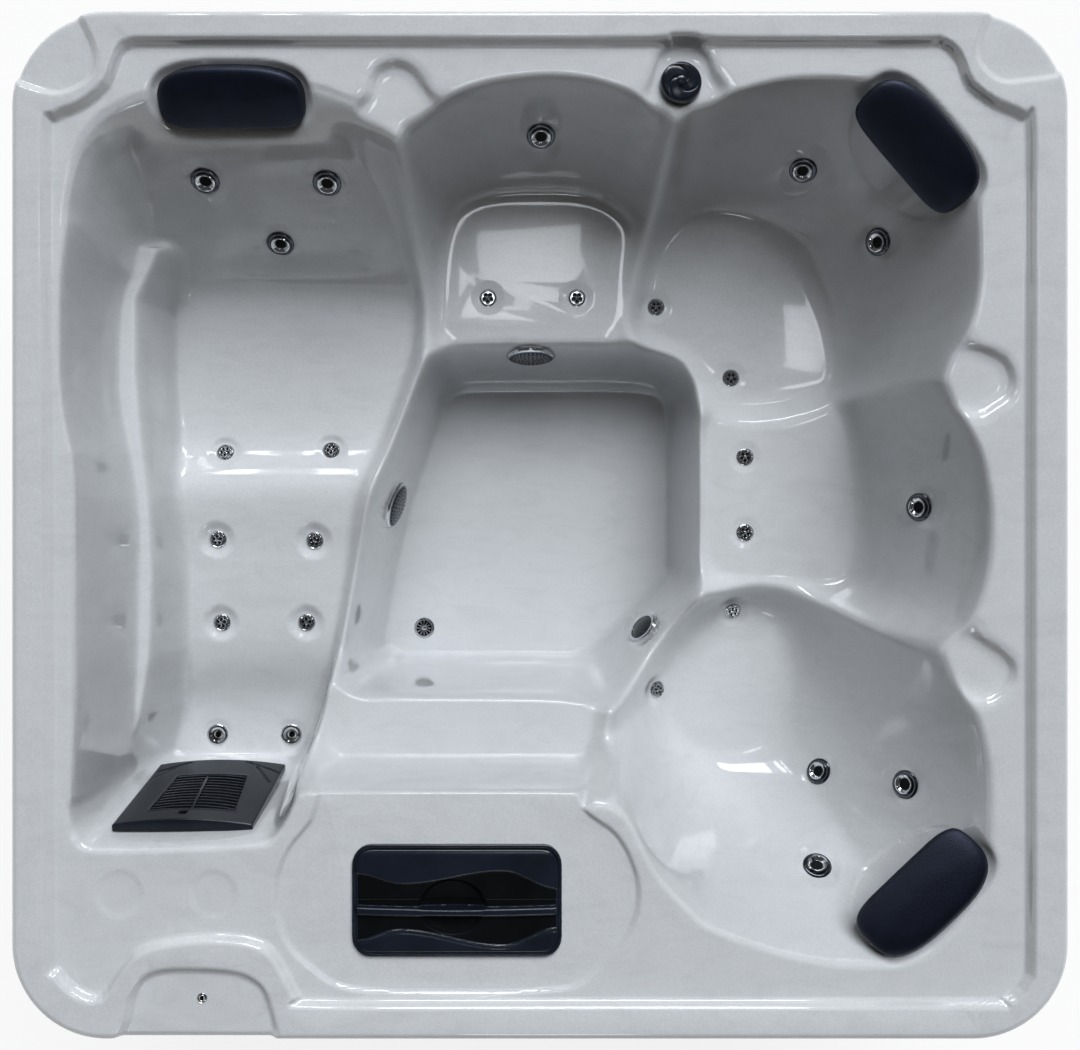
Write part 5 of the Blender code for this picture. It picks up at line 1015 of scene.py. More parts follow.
def smoked_chrome(colour):
    """Dark-tinted plating on the large escutcheons: a mirror that reads near black."""
    made, tree, shader, coords = new_finish("smoked_chrome", Metallic=1.0, Roughness=0.12)
    marks = add_node(tree, "ShaderNodeTexNoise", {"Scale": 160.0, "Detail": 3.0}, {"Vector": coords})
    pigmented(tree, shader, marks.outputs["Fac"], ((0.35, shade(colour, 0.85)), (0.65, shade(colour, 1.15))))
    return made


def moulded_abs(name, colour, roughness=0.18, shine=0.5):
    """Injection-moulded ABS: a fine spark-eroded grain of 1 mm softens its gloss."""
    made, tree, shader, coords = new_finish(name, Roughness=roughness, IOR=1.54, Specular_IOR_Level=shine)
    grain = add_node(tree, "ShaderNodeTexNoise", {"Scale": 1000.0, "Detail": 2.0}, {"Vector": coords})
    wear = add_node(tree, "ShaderNodeTexNoise", {"Scale": 14.0, "Detail": 3.0}, {"Vector": coords})
    pigmented(tree, shader, wear.outputs["Fac"], ((0.3, shade(colour, 0.75)), (0.7, shade(colour, 1.3))))
    bumped(tree, shader, grain.outputs["Fac"], 0.00008)
    return made


def foam_skin(colour):
    """Self-skinned polyurethane foam: near-black navy, pebbled at 3 mm, with a soft sheen."""
    made, tree, shader, coords = new_finish("self_skinned_foam", Roughness=0.44, IOR=1.5,
                                            Specular_IOR_Level=0.45, Specular_Tint=(0.62, 0.70, 1.0, 1.0))
    pebble = add_node(tree, "ShaderNodeTexVoronoi", {"Scale": 340.0}, {"Vector": coords})
    cloud = add_node(tree, "ShaderNodeTexNoise", {"Scale": 18.0, "Detail": 4.0}, {"Vector": coords})
    pigmented(tree, shader, cloud.outputs["Fac"], ((0.3, shade(colour, 0.7)), (0.7, shade(colour, 1.4))))
    bumped(tree, shader, pebble.outputs["Distance"], 0.00025)
    return made


def spun_fleece():
    """Spun-bonded polyester filter fleece: matt off-white with fibres 4 mm long."""
    made, tree, shader, coords = new_finish("spun_fleece", Roughness=0.9)
    fibre = add_node(tree, "ShaderNodeTexNoise", {"Scale": 420.0, "Detail": 4.0, "Distortion": 2.0},
                     {"Vector": coords})
    pigmented(tree, shader, fibre.outputs["Fac"], ((0.3, "#D5D8DB"), (0.7, "#EEF0F1")), 0.0003)
    return made


def extruded_pvc():
    """Extruded PVC pipe: milky white, half glossy, with faint yellow stains 45 mm across."""
    made, tree, shader, coords = new_finish("extruded_pvc", Roughness=0.38, IOR=1.53)
    stain = add_node(tree, "ShaderNodeTexNoise", {"Scale": 22.0, "Detail": 4.0}, {"Vector": coords})
    pigmented(tree, shader, stain.outputs["Fac"], ((0.28, "#CFCFC9"), (0.6, "#E3E3DE"), (0.8, "#D9D6CC")),
              0.0002)
    return made


def embossed_board(colour):
    """Wood-plastic composite board: dark, matt, with an embossed grain that runs along the board."""
    made, tree, shader, coords = new_finish("embossed_composite_board", Roughness=0.62)
    # Grain lines 4 mm apart across the board and about 100 mm long
    lane = add_node(tree, "ShaderNodeMapping", {"Scale": (10.0, 10.0, 250.0)}, {"Vector": coords})
    grain = add_node(tree, "ShaderNodeTexNoise", {"Scale": 1.0, "Detail": 5.0, "Roughness": 0.7},
                     {"Vector": lane.outputs["Vector"]})
    pigmented(tree, shader, grain.outputs["Fac"], ((0.3, shade(colour, 0.6)), (0.5, shade(colour, 1.0)),
                                                   (0.7, shade(colour, 1.4))), 0.0008)
    return made


def sawn_timber():
    """Pressure-treated softwood framing: pale, sawn, with growth lines 9 mm apart."""
    made, tree, shader, coords = new_finish("treated_softwood", Roughness=0.75)
    warp = add_node(tree, "ShaderNodeTexWave", {"Scale": 35.0, "Distortion": 5.0, "Detail": 3.0,
                                              "Detail Scale": 0.6}, {"Vector": coords}, bands_direction="Z")
    pigmented(tree, shader, warp.outputs["Fac"], ((0.2, "#A08B6A"), (0.6, "#C2AD88"), (0.9, "#B39A72")),
              0.0004)
    return made


def powder_paint():
    """Powder-coated motor casting: near black with orange peel 2 mm across."""
    made, tree, shader, coords = new_finish("powder_coated_casting", Roughness=0.48)
    peel = add_node(tree, "ShaderNodeTexNoise", {"Scale": 500.0, "Detail": 2.0}, {"Vector": coords})
    pigmented(tree, shader, peel.outputs["Fac"], ((0.3, "#2A2C30"), (0.7, "#34363B")), 0.0001)
    return made


def drawn_steel():
    """Drawn stainless tube: satin, with polishing lines round it 1 mm apart."""
    made, tree, shader, coords = new_finish("drawn_stainless", Metallic=1.0, Roughness=0.28)
    lines = add_node(tree, "ShaderNodeMapping", {"Scale": (1000.0, 20.0, 20.0)}, {"Vector": coords})
    brush = add_node(tree, "ShaderNodeTexNoise", {"Scale": 1.0, "Detail": 2.0},
                     {"Vector": lines.outputs["Vector"]})
    pigmented(tree, shader, brush.outputs["Fac"], ((0.3, "#B9BBBE"), (0.7, "#CDCFD2")), 0.00005)
    return made


def lamp_lens():
    """Polycarbonate lamp lens with a dark prism grid moulded in, 4 mm apart."""
    made, tree, shader, coords = new_finish("prismatic_lens", Roughness=0.2, IOR=1.58)
    prism = add_node(tree, "ShaderNodeTexVoronoi", {"Scale": 230.0, "Randomness": 0.0}, {"Vector": coords})
    pigmented(tree, shader, prism.outputs["Distance"], ((0.25, "#3A3E43"), (0.5, "#101215")), 0.0006)
    return made


def pale_floor():
    """Pale floor that the camera sees as white; it keeps the soft shadow under the tub."""
    made, tree, shader, coords = new_finish("pale_floor", Roughness=0.9)
    shader.inputs["Base Color"].default_value = linear("#EDEDED")
    path = add_node(tree, "ShaderNodeLightPath")
    seen = add_node(tree, "ShaderNodeMath", operation="MAXIMUM",
                    links={0: path.outputs["Is Camera Ray"], 1: path.outputs["Is Glossy Ray"]})
    share = add_node(tree, "ShaderNodeMath", {1: 0.85}, {0: seen.outputs[0]}, operation="MULTIPLY")
    glow = add_node(tree, "ShaderNodeEmission", {"Color": (1, 1, 1, 1), "Strength": 1.0})
    mixed = add_node(tree, "ShaderNodeMixShader",
                     links={0: share.outputs[0], 1: shader.outputs[0], 2: glow.outputs[0]})
    tree.links.new(mixed.outputs[0], tree.nodes["Material Output"].inputs["Surface"])
    return made


FINISHES = {}


def finish(name):
    """A finish by its short name, made the first time it is asked for."""
    if name not in FINISHES:
        colours = bpy.context.scene.hot_tub_colours
        black = linear("#0B0C0E")[:3]
        makers = {
            "acrylic": lambda: cloudy_acrylic(colours.acrylic),
            "chrome": plated_chrome,
            "smoked": lambda: smoked_chrome(colours.smoked),
            "trim": lambda: moulded_abs("navy_moulded_abs", colours.trim),
            "grille": lambda: moulded_abs("slate_moulded_abs", colours.grille, shine=0.3),
            # Black ABS for small black parts, also used as painted shade in holes, bores, the grille's
            # openings and the lid's sunk field
            "black_and_shade": lambda: moulded_abs("black_nozzle_abs", black, 0.4, 0.08),
            "tray": lambda: moulded_abs("black_tray_abs", black, 0.5),
            "foam": lambda: foam_skin(colours.foam),
            "fleece": spun_fleece,
            "pvc": extruded_pvc,
            "board": lambda: embossed_board(colours.board),
            "timber": sawn_timber,
            "paint": powder_paint,
            "steel": drawn_steel,
            "lens": lamp_lens}
        FINISHES[name] = makers[name]()
    return FINISHES[name]


def moulding_mesh(pitch, xs, ys, depth):
    """The shell as a closed skin: moulded top, rolled edge, turned-down lip and underside."""
    columns, rows = round(LENGTH / pitch), round(WIDTH / pitch)
    a, b = np.meshgrid(np.linspace(-1, 1, columns + 1), np.linspace(-1, 1, rows + 1), indexing="ij")
    x, y = on_rounded_outline(a, b, EDGE_RADIUS)
    top = sampled(depth, xs, ys, x, y)
    step = max(1, round(FORMING_RADIUS / (xs[1] - xs[0])))
    lowest = depth
    for axis in (0, 1):
        for shift in (-step, -step // 2, step // 2, step):
            lowest = np.maximum(lowest, np.roll(lowest, shift, axis))
    under = sampled(lowest, xs, ys, x, y) + SHELL_WALL
    number = np.arange(a.size).reshape(a.shape)
    quads = np.stack([number[:-1, :-1], number[1:, :-1], number[1:, 1:], number[:-1, 1:]], -1).reshape(-1, 4)
    border = np.concatenate([number[:-1, 0], number[-1, :-1], number[:0:-1, -1], number[0, :0:-1]])
    edge_a, edge_b, edge_depth = (grid.ravel()[border] for grid in (a, b, top))
    loops, points = [border], [np.stack([x, y, HEIGHT - top], -1).reshape(-1, 3)]
    shoulder = HEIGHT - edge_depth - EDGE_RADIUS
    levels = []
    for angle in np.radians(range(15, 91, 15)):
        levels.append((EDGE_RADIUS * (1 - math.sin(angle)), shoulder + EDGE_RADIUS * math.cos(angle)))
    skirt = HEIGHT - LIP_DEPTH + 0 * edge_depth
    levels += [(0.0, skirt + 0.003), (0.0, skirt), (SHELL_WALL, skirt), (SHELL_WALL, shoulder)]
    count = a.size
    for inset, z in levels:
        edge_x, edge_y = on_rounded_outline(edge_a, edge_b, inset)
        points.append(np.stack([edge_x, edge_y, z], -1))
        loops.append(np.arange(count, count + len(border)))
        count += len(border)
    points.append(np.stack([x, y, HEIGHT - under], -1).reshape(-1, 3))
    loops.append(border + count)
    faces = [quads, quads[:, ::-1] + count]
    for inner, outer in zip(loops, loops[1:]):
        faces.append(np.stack([inner, outer, np.roll(outer, -1), np.roll(inner, -1)], -1))
    mesh = bpy.data.meshes.new("moulded_shell")
    points, faces = np.concatenate(points), np.concatenate(faces)
    mesh.vertices.add(len(points))
    mesh.vertices.foreach_set("co", points.ravel())
    mesh.loops.add(faces.size)
    mesh.loops.foreach_set("vertex_index", faces.ravel().astype(np.int32))
    mesh.polygons.add(len(faces))
    mesh.polygons.foreach_set("loop_start", np.arange(0, faces.size, 4, dtype=np.int32))
    mesh.polygons.foreach_set("loop_total", np.full(len(faces), 4, dtype=np.int32))
    mesh.update(calc_edges=True)
    return mesh


def true_normals(obj, xs, ys, depth):
    """Normals of the moulded top from the surface itself, so that few faces still shade as a smooth skin."""
    x, y, z = place_of_verts(obj).T
    grade_x, grade_y = np.gradient(depth, xs[1] - xs[0], ys[1] - ys[0])
    slope_x, slope_y = sampled(grade_x, xs, ys, x, y), sampled(grade_y, xs, ys, x, y)
    steep = np.sqrt(1 + slope_x ** 2 + slope_y ** 2)
    on_top = np.abs(HEIGHT - sampled(depth, xs, ys, x, y) - z) < 0.3 * SHELL_WALL * steep
    corner_x, corner_y = LENGTH / 2 - CORNER_RADIUS, WIDTH / 2 - CORNER_RADIUS
    past_x, past_y = np.abs(x) - corner_x, np.abs(y) - corner_y
    inset = np.where((past_x > 0) & (past_y > 0), CORNER_RADIUS - np.hypot(past_x, past_y),
                     np.minimum(LENGTH / 2 - np.abs(x), WIDTH / 2 - np.abs(y)))
    on_top &= inset > EDGE_RADIUS - 0.001
    normals = np.stack([slope_x, slope_y, np.ones_like(x)], -1) / steep[:, None]
    normals[~on_top] = 0
    obj.data.normals_split_custom_set_from_vertices(normals.tolist())


def make_shell(pitch):
    xs, ys, depth = depth_field(pitch * 0.8)
    obj = linked("moulded_shell", moulding_mesh(pitch, xs, ys, depth))
    quads = len(obj.data.polygons)
    modify(obj, "DECIMATE", ratio=min(1.0, SKIN_TRIANGLES / (2 * quads)))
    x, y = half_plan(FILTER_PLACE_SHARES)
    opening = (WELL_SIZE[0] + 2 * CLEARANCE, WELL_SIZE[1] + 2 * CLEARANCE)
    cutter = drawn_plate("filter_opening", WELL_CORNER, [
        (*opening, HEIGHT - CUTTER_REACH[0]), (*opening, HEIGHT + CUTTER_REACH[1])])
    cutter.data.transform(Matrix.Translation((x, y, 0)))
    modify(obj, "BOOLEAN", operation="DIFFERENCE", object=cutter, solver="MANIFOLD")
    bpy.data.objects.remove(cutter)
    for face in obj.data.polygons:
        face.use_smooth = True
    coat(obj, finish("acrylic"))
    smooth(obj, 50)
    true_normals(obj, xs, ys, depth)
    seated(obj, "tub", "pearl_acrylic", "acrylic_shell")
    return obj


def jet_face(kind):
    """One jet of this kind in its own frame: origin on the acrylic, +Z out of it."""
    radius = JET_RADIUS[kind]
    if kind == "large":
        ring = turned("escutcheon", [
            (0.56 * radius, -0.0135), (0.56 * radius, -0.0030), (radius - 0.001, -0.0028), (radius, -0.001),
            (radius, 0.0010), (0.97 * radius, 0.0026), (0.90 * radius, 0.0038), (0.80 * radius, 0.0040),
            (0.735 * radius, 0.0030), (0.72 * radius, 0.0008), (0.54 * radius, -0.0006),
            (0.50 * radius, -0.0125), (0, -0.0128)], 64)
        coat(ring, finish("smoked"))
        cup = turned("nozzle_ring", [
            (0.695 * radius, -0.0005), (0.695 * radius, 0.0030), (0.67 * radius, 0.0048),
            (0.60 * radius, 0.0056), (0.52 * radius, 0.0044), (0.46 * radius, 0.0026),
            (0.41 * radius, 0.0014), (0.37 * radius, 0.0), (0.34 * radius, -0.0030),
            (0.31 * radius, -0.0100), (0, -0.0105)], 64)
        cup.data.transform(Matrix.Translation((0, -LARGE_CUP_SHIFT, 0)))
        coat(cup, finish("chrome"), finish("black_and_shade"))
        # The bore inside the nozzle ring is painted black as shade
        tint(cup, 1, lambda c: math.hypot(c.x, c.y + LARGE_CUP_SHIFT) < 0.345 * radius)
        ribs = []
        for number in range(3):
            rib = block("rib", (0.28 * radius, 0.0014, 0.003), (0.14 * radius, 0, -0.0085), 0.0006)
            turn = Matrix.Rotation(math.tau * number / 3, 4, "Z")
            rib.data.transform(Matrix.Translation((0, -LARGE_CUP_SHIFT, 0)) @ turn)
            coat(rib, finish("black_and_shade"))
            ribs.append(rib)
        return joined(f"jet_{kind}", ring, cup, *ribs)
    if kind == "medium":
        ring = turned("ring", [
            (0.46 * radius, -0.0115), (0.48 * radius, -0.0030), (radius - 0.001, -0.0028), (radius, -0.0008),
            (radius, 0.0008), (0.95 * radius, 0.0026), (0.84 * radius, 0.0040), (0.70 * radius, 0.0036),
            (0.60 * radius, 0.0016), (0.52 * radius, 0.0010), (0.50 * radius, 0.0016),
            (0.46 * radius, 0.0014), (0.42 * radius, -0.0100), (0, -0.0105)], 54)
        coat(ring, finish("chrome"), finish("black_and_shade"))
        # The bore inside the ring is painted black as shade
        tint(ring, 1, lambda c: math.hypot(c.x, c.y) < 0.45 * radius)
        hub = turned("hub", [(0.30 * radius, -0.0102), (0.28 * radius, -0.0020), (0.20 * radius, -0.0010),
                             (0.16 * radius, -0.0050), (0, -0.0050)], 6)
        coat(hub, finish("black_and_shade"))
        return joined(f"jet_{kind}", ring, hub)
    ring = turned("ring", [
        (radius - 0.001, -0.0028), (radius, -0.0008), (radius, 0.0006), (0.94 * radius, 0.0024),
        (0.84 * radius, 0.0030), (0.76 * radius, 0.0016), (0.72 * radius, 0.0004), (0, 0.0004)], 48)
    coat(ring, finish("chrome"))
    nozzles = [ring]
    for number in range(5):
        angle = math.tau * number / 5 + 0.3
        place = Matrix.Translation((0.40 * radius * math.cos(angle), 0.40 * radius * math.sin(angle), 0))
        cup = turned("cup", [
            (0.27 * radius, 0.0002), (0.27 * radius, 0.0026), (0.22 * radius, 0.0040),
            (0.15 * radius, 0.0036), (0.12 * radius, 0.0006), (0, 0.0004)], 20)
        cup.data.transform(place)
        coat(cup, finish("chrome"), finish("black_and_shade"))
        # Each cup's hole is a flat disc painted black as shade
        tint(cup, 1, lambda c, p=place.translation: math.hypot(c.x - p.x, c.y - p.y) < 0.125 * radius)
        nozzles.append(cup)
    middle = turned("middle", [(0.16 * radius, 0.0002), (0.15 * radius, 0.0034), (0.08 * radius, 0.0044),
                               (0, 0.0044)], 20)
    coat(middle, finish("chrome"))
    return joined(f"jet_{kind}", *nozzles, middle)


def make_jets():
    for kind in JET_RADIUS:
        face = jet_face("small" if kind == "dished" else kind)
        smooth(face, 40)
        for fitting in FITTINGS:
            if fitting.kind == kind:
                piece = copied(face, f"{fitting.name}_face", FRAMES[fitting.name])
                seated(piece, fitting.name, "chrome", fitting.name)
        bpy.data.objects.remove(face)


def make_drain():
    radius = FOOTWELL_FITTINGS["floor_drain"][1]
    plate = turned("floor_drain_plate", [
        (radius - 0.001, -0.0028), (radius, -0.0005), (radius, 0.0008), (0.94 * radius, 0.0028),
        (0.80 * radius, 0.0036), (0.72 * radius, 0.0020), (0.70 * radius, 0.0004), (0, 0.0004)], 54)
    coat(plate, finish("chrome"), finish("black_and_shade"))
    # The open middle under the bars is a flat disc painted black as shade
    tint(plate, 1, lambda c: math.hypot(c.x, c.y) < 0.71 * radius)
    bars = [plate]
    for number in range(12):
        bar = block("bar", (0.62 * radius, 0.0026, 0.003), (0.38 * radius, 0, 0.0018), 0.0008)
        bar.data.transform(Matrix.Rotation(math.tau * number / 12, 4, "Z"))
        coat(bar, finish("chrome"))
        bars.append(bar)
    hub = turned("hub", [
        (0.20 * radius, 0.0002), (0.20 * radius, 0.0034), (0.14 * radius, 0.0044), (0, 0.0046)], 24)
    coat(hub, finish("chrome"))
    return joined("floor_drain_face", *bars, hub)


def make_light():
    radius = FOOTWELL_FITTINGS["footwell_light"][1]
    bezel = turned("bezel", [
        (radius - 0.001, -0.0028), (radius, -0.0005), (radius, 0.0020), (0.96 * radius, 0.0050),
        (0.88 * radius, 0.0062), (0.80 * radius, 0.0056), (0.78 * radius, 0.0036), (0, 0.0036)], 64)
    coat(bezel, finish("chrome"))
    lens = turned("lens", [(0.775 * radius, 0.0030), (0.775 * radius, 0.0044), (0.60 * radius, 0.0072),
                           (0.35 * radius, 0.0092), (0.15 * radius, 0.0099), (0, 0.0100)], 64)
    coat(lens, finish("lens"))
    return joined("footwell_light_face", bezel, lens)


def make_suction_cover(name, hole_size):
    radius = FOOTWELL_FITTINGS[name][1]
    dome = turned("dome", [
        (radius - 0.001, -0.0028), (radius, -0.0005), (radius, 0.0020), (0.97 * radius, 0.0045),
        (0.90 * radius, 0.0075), (0.76 * radius, 0.0112), (0.55 * radius, 0.0135), (0.30 * radius, 0.0144),
        (0, 0.0146)], 60)
    coat(dome, finish("smoked"), finish("black_and_shade"))
    only(dome)
    holes = []
    for ring, (share, count) in enumerate(SUCTION_RINGS):
        for number in range(count):
            angle = math.tau * (number + 0.5 * (ring % 2)) / count
            hole = turned("hole", [(hole_size / 2, -0.004), (hole_size / 2, 0.03)], 8)
            hole.data.transform(Matrix.Translation((share * radius * math.cos(angle),
                                                    share * radius * math.sin(angle), 0)))
            holes.append(hole)
    cutter = joined("holes", *holes)
    cutter.data.transform(Matrix.Translation((0, 0, 0.008)))
    coat(cutter, finish("smoked"), finish("black_and_shade"))
    # The walls and floors of the holes are painted black as shade
    for face in cutter.data.polygons:
        face.material_index = 1
    modify(dome, "BOOLEAN", operation="DIFFERENCE", object=cutter, solver="EXACT")
    bpy.data.objects.remove(cutter)
    dome.data.materials.append(finish("chrome"))
    tint(dome, 2, lambda c: math.hypot(c.x, c.y) > 0.90 * radius)
    return dome


def make_knob():
    """The diverter: three raised lobes that swirl out from the middle, each with a bright edge."""
    radius = KNOB_RADIUS
    base = turned("base", [
        (radius - 0.001, -0.0028), (radius, 0.0), (radius, 0.0110), (0.985 * radius, 0.0150),
        (0.95 * radius, 0.0180), (0.88 * radius, 0.0196), (0.60 * radius, 0.0200),
        (0.30 * radius, 0.0204), (0, 0.0206)], 72)
    coat(base, finish("trim"))
    lobes = [base]
    for number in range(3):
        deselect()
        bpy.ops.mesh.primitive_grid_add(x_subdivisions=30, y_subdivisions=22, size=2)
        lobe = started("lobe")
        for vert in lobe.data.vertices:
            along, across = (vert.co.x + 1) / 2, vert.co.y
            reach = radius * (KNOB_LOBE_REACH[0] + KNOB_LOBE_REACH[1] * along)
            angle = KNOB_LOBE_SWIRL * along + across * KNOB_LOBE_SPREAD
            crown = 1 - across ** 4
            rise = (0.35 + 0.65 * (across + 1) / 2) * crown ** 0.5
            rise *= (1 - 0.35 * along ** 3) * min(1.0, 6 * (1.02 - along))
            height = KNOB_LOBE_FOOT + KNOB_LOBE_RISE * rise
            vert.co = (reach * math.cos(angle), reach * math.sin(angle), height)
        modify(lobe, "SOLIDIFY", thickness=0.004, offset=-1.0)
        lobe.data.transform(Matrix.Rotation(math.tau * number / 3, 4, "Z"))
        coat(lobe, finish("trim"))
        lobes.append(lobe)
    cap = turned("cap", [
        (0.25 * radius, 0.018), (0.25 * radius, 0.0235), (0.20 * radius, 0.0250), (0, 0.0256)], 32)
    coat(cap, finish("trim"))
    return joined("diverter_knob_face", *lobes, cap)


def make_air_valve():
    radius = PANEL_FITTING_RADIUS
    valve = turned("panel_air_valve_face", [
        (radius - 0.0005, -0.0028), (radius, 0.0), (radius, 0.0010), (0.92 * radius, 0.0024),
        (0.80 * radius, 0.0030), (0.72 * radius, 0.0020), (0.66 * radius, 0.0012),
        (0.60 * radius, 0.0026), (0.48 * radius, 0.0034), (0.40 * radius, 0.0028),
        (0.34 * radius, 0.0008), (0, 0.0006)], 40)
    coat(valve, finish("chrome"), finish("black_and_shade"))
    # The valve's middle is a flat disc painted black as shade
    tint(valve, 1, lambda c: math.hypot(c.x, c.y) < 0.34 * radius)
    return valve


def place_fitting(piece, name, slot):
    smooth(piece, 38)
    placed = copied(piece, f"{name}_piece", FRAMES[name])
    bpy.data.objects.remove(piece)
    seated(placed, name if name in frame["bodies"] else "tub", slot, name)


def make_headrest(name, place):
    """A foam pillow: an outline drawn up its rounded sides to a crown, fuller along its upper edge."""
    pillow = disc(f"{name}_pillow", 1.0, 0.0, 48)
    for vert, (u, v) in zip(pillow.data.vertices, pillow_outline(name, 48)):
        vert.co = (u, v, 0)
    edit_all(pillow)
    height = 0.0
    size = 1.0
    thick = HEADREST_THICK
    for share, level in HEADREST_LEVELS:
        draw_up(level * thick - height, share / size, share / size, level * thick)
        height, size = level * thick, share
    close_up()
    for vert in pillow.data.vertices:
        share = vert.co.z / thick
        uphill = vert.co.y / (HEADREST_WIDTH / 2)
        vert.co.z -= HEADREST_CROWN_FALL * max(0.0, share - 0.5) * 2 * max(0.0, -uphill)
        vert.co.z += HEADREST_CROWN_RISE * max(0.0, share - 0.6) * max(0.0, uphill)
    modify(pillow, "SUBSURF", levels=1, render_levels=1)
    coat(pillow, finish("foam"))
    pillow.data.transform(place @ Matrix.Translation((0, 0, CLEARANCE - HEADREST_SINK)))
    smooth(pillow, 60)
    seated(pillow, name, "dark_foam_skin", name)


def make_housing():
    """The filter's housing: a sleeve drawn up from its closed foot, out to the flange, and down its bore."""
    x, y = half_plan(FILTER_PLACE_SHARES)
    top = FLANGE_THICK + FLANGE_RIM_HEIGHT
    soft = 0.25 * FLANGE_RIM
    shelf = (FLANGE_SIZE[0] - 2 * FLANGE_RIM, FLANGE_SIZE[1] - 2 * FLANGE_RIM)
    bore = (WELL_SIZE[0] - 2 * WELL_WALL, WELL_SIZE[1] - 2 * WELL_WALL)
    levels = [(*WELL_SIZE, -WELL_LENGTH), (*WELL_SIZE, 0), (*FLANGE_SIZE, 0), (*FLANGE_SIZE, top - soft),
              (FLANGE_SIZE[0] - soft, FLANGE_SIZE[1] - soft, top - 0.3 * soft),
              (FLANGE_SIZE[0] - 2 * soft, FLANGE_SIZE[1] - 2 * soft, top),
              (shelf[0] + 2 * soft, shelf[1] + 2 * soft, top),
              (shelf[0] + soft, shelf[1] + soft, top - 0.3 * soft),
              (*shelf, top - soft), (*shelf, FLANGE_THICK), (*bore, FLANGE_THICK),
              (*bore, WELL_WALL - WELL_LENGTH)]
    housing = drawn_plate("skimmer_housing_piece", WELL_CORNER, levels)
    housing.data.transform(Matrix.Translation((x, y, HEIGHT - FILTER_DECK_DEPTH)))
    coat(housing, finish("trim"))
    smooth(housing, 32)
    seated(housing, "tub", "dark_trim", "skimmer_housing")


def wave_line(u, points):
    """A soft wave through points, by cosine steps between its crests and troughs."""
    places, levels = np.array(points).T
    k = np.clip(np.searchsorted(places, u) - 1, 0, len(places) - 2)
    t = np.clip((u - places[k]) / (places[k + 1] - places[k]), 0, 1)
    return levels[k] + (levels[k + 1] - levels[k]) * (1 - np.cos(math.pi * t)) / 2


def step_up(value, width):
    """A soft step from 0 to 1 as the value goes from minus half the width to half of it."""
    return eased(value / width + 0.5)


def ramp_up(value, width):
    """A straight step from 0 to 1 as the value goes from minus half the width to half of it."""
    return np.clip(value / width + 0.5, 0, 1)


def lid_relief(u, v, edge):
    """Height of the filter lid at shares of its half sizes; edge is the distance to its outline."""
    waved = wave_line(u, LID_UPPER_WAVE)
    lower = wave_line(u, LID_LOWER_WAVE)
    sag = LID_BAR_SAG * (1 - u * u)
    front, back = LID_BAR[0] - sag, LID_BAR[1] - sag
    height = COVER_THICK - LID_FIELD_SINK * step_up(waved - v, 0.06) * ramp_up(v - lower, 0.028)
    height -= LID_GROOVE_SINK * step_up(lower - v - 0.02, 0.02) * ramp_up(v - lower + LID_GROOVE, 0.020)
    out = np.hypot((u - LID_WELL_MIDDLE[0]) * LID_HALF[0] / FINGER_WELL[0],
                   (v - LID_WELL_MIDDLE[1]) * LID_HALF[1] / FINGER_WELL[1])
    well = step_up(1 - out, 0.16)
    bead = np.clip(1 - ((v - LID_LIP) / 0.018) ** 2, 0, 1) ** 1.5
    height += LID_BEAD * (bead * (1 - well) - step_up(LID_LIP - v, 0.02) * step_up(v - front, 0.02))
    height -= FINGER_WELL_SINK * well * (1 - 0.35 * np.clip(out, 0, 1) ** 2)
    across = np.clip(np.abs(2 * (v - back) / (front - back) - 1), 0, 1)
    bar = np.sqrt(1 - across ** 4) * step_up(1 - np.abs(u), 0.02)
    height = height + (COVER_THICK + COVER_GRIP_HEIGHT - height) * bar
    height -= LID_NOSE_FALL * np.clip((v - LID_NOSE) / (1 - LID_NOSE), 0, 1) ** 1.6
    return height - LID_EDGE[1] * (1 - np.clip(edge / LID_EDGE[0], 0, 1)) ** 2


def painted_shade_field(lid):
    """For every face of the lid, whether it lies in the sunk field between the two waves, painted black as
    shade.
    """
    middles = np.empty(len(lid.data.polygons) * 3)
    lid.data.polygons.foreach_get("center", middles)
    x, y = half_plan(FILTER_PLACE_SHARES)
    u, v = (middles.reshape(-1, 3)[:, :2] - (x, y)).T / np.array(LID_HALF)[:, None]
    sag = LID_BAR_SAG * (1 - u * u)
    on_bar = (v < LID_BAR[0] - sag + 0.02) & (v > LID_BAR[1] - sag - 0.02)
    between = (v < wave_line(u, LID_UPPER_WAVE)) & (v > wave_line(u, LID_LOWER_WAVE) + 0.02)
    return between & ~on_bar & (abs(u) < 0.98)


def make_lid():
    """The lid: a grid drawn to its rounded outline and sunk into waves, bar and finger well."""
    x, y = half_plan(FILTER_PLACE_SHARES)
    deselect()
    bpy.ops.mesh.primitive_grid_add(x_subdivisions=130, y_subdivisions=260, size=2)
    lid = started("filter_lid")
    place = place_of_verts(lid)
    a, b = place[:, 0].copy(), place[:, 1].copy()
    radius = FLANGE_CORNER - LID_INSET
    place[:, 0], place[:, 1] = rounded_square(a, b, *LID_HALF, radius)
    edge = (1 - np.maximum(np.abs(a), np.abs(b))) * LID_HALF[1]
    place[:, 2] = lid_relief(place[:, 0] / LID_HALF[0], place[:, 1] / LID_HALF[1], edge)
    lid.data.vertices.foreach_set("co", place.ravel())
    lid.data.update()
    modify(lid, "SOLIDIFY", thickness=LID_WALL, offset=-1.0)
    base = HEIGHT - FILTER_DECK_DEPTH + FLANGE_THICK + CLEARANCE
    lid.data.transform(Matrix.Translation((x, y, base)))
    coat(lid, finish("trim"), finish("black_and_shade"))
    # The sunk field between the waves is painted black as shade
    lid.data.polygons.foreach_set("material_index", painted_shade_field(lid).astype(np.int32))
    smooth(lid, 50)
    seated(lid, "filter_cover", "dark_trim", "filter_cover")


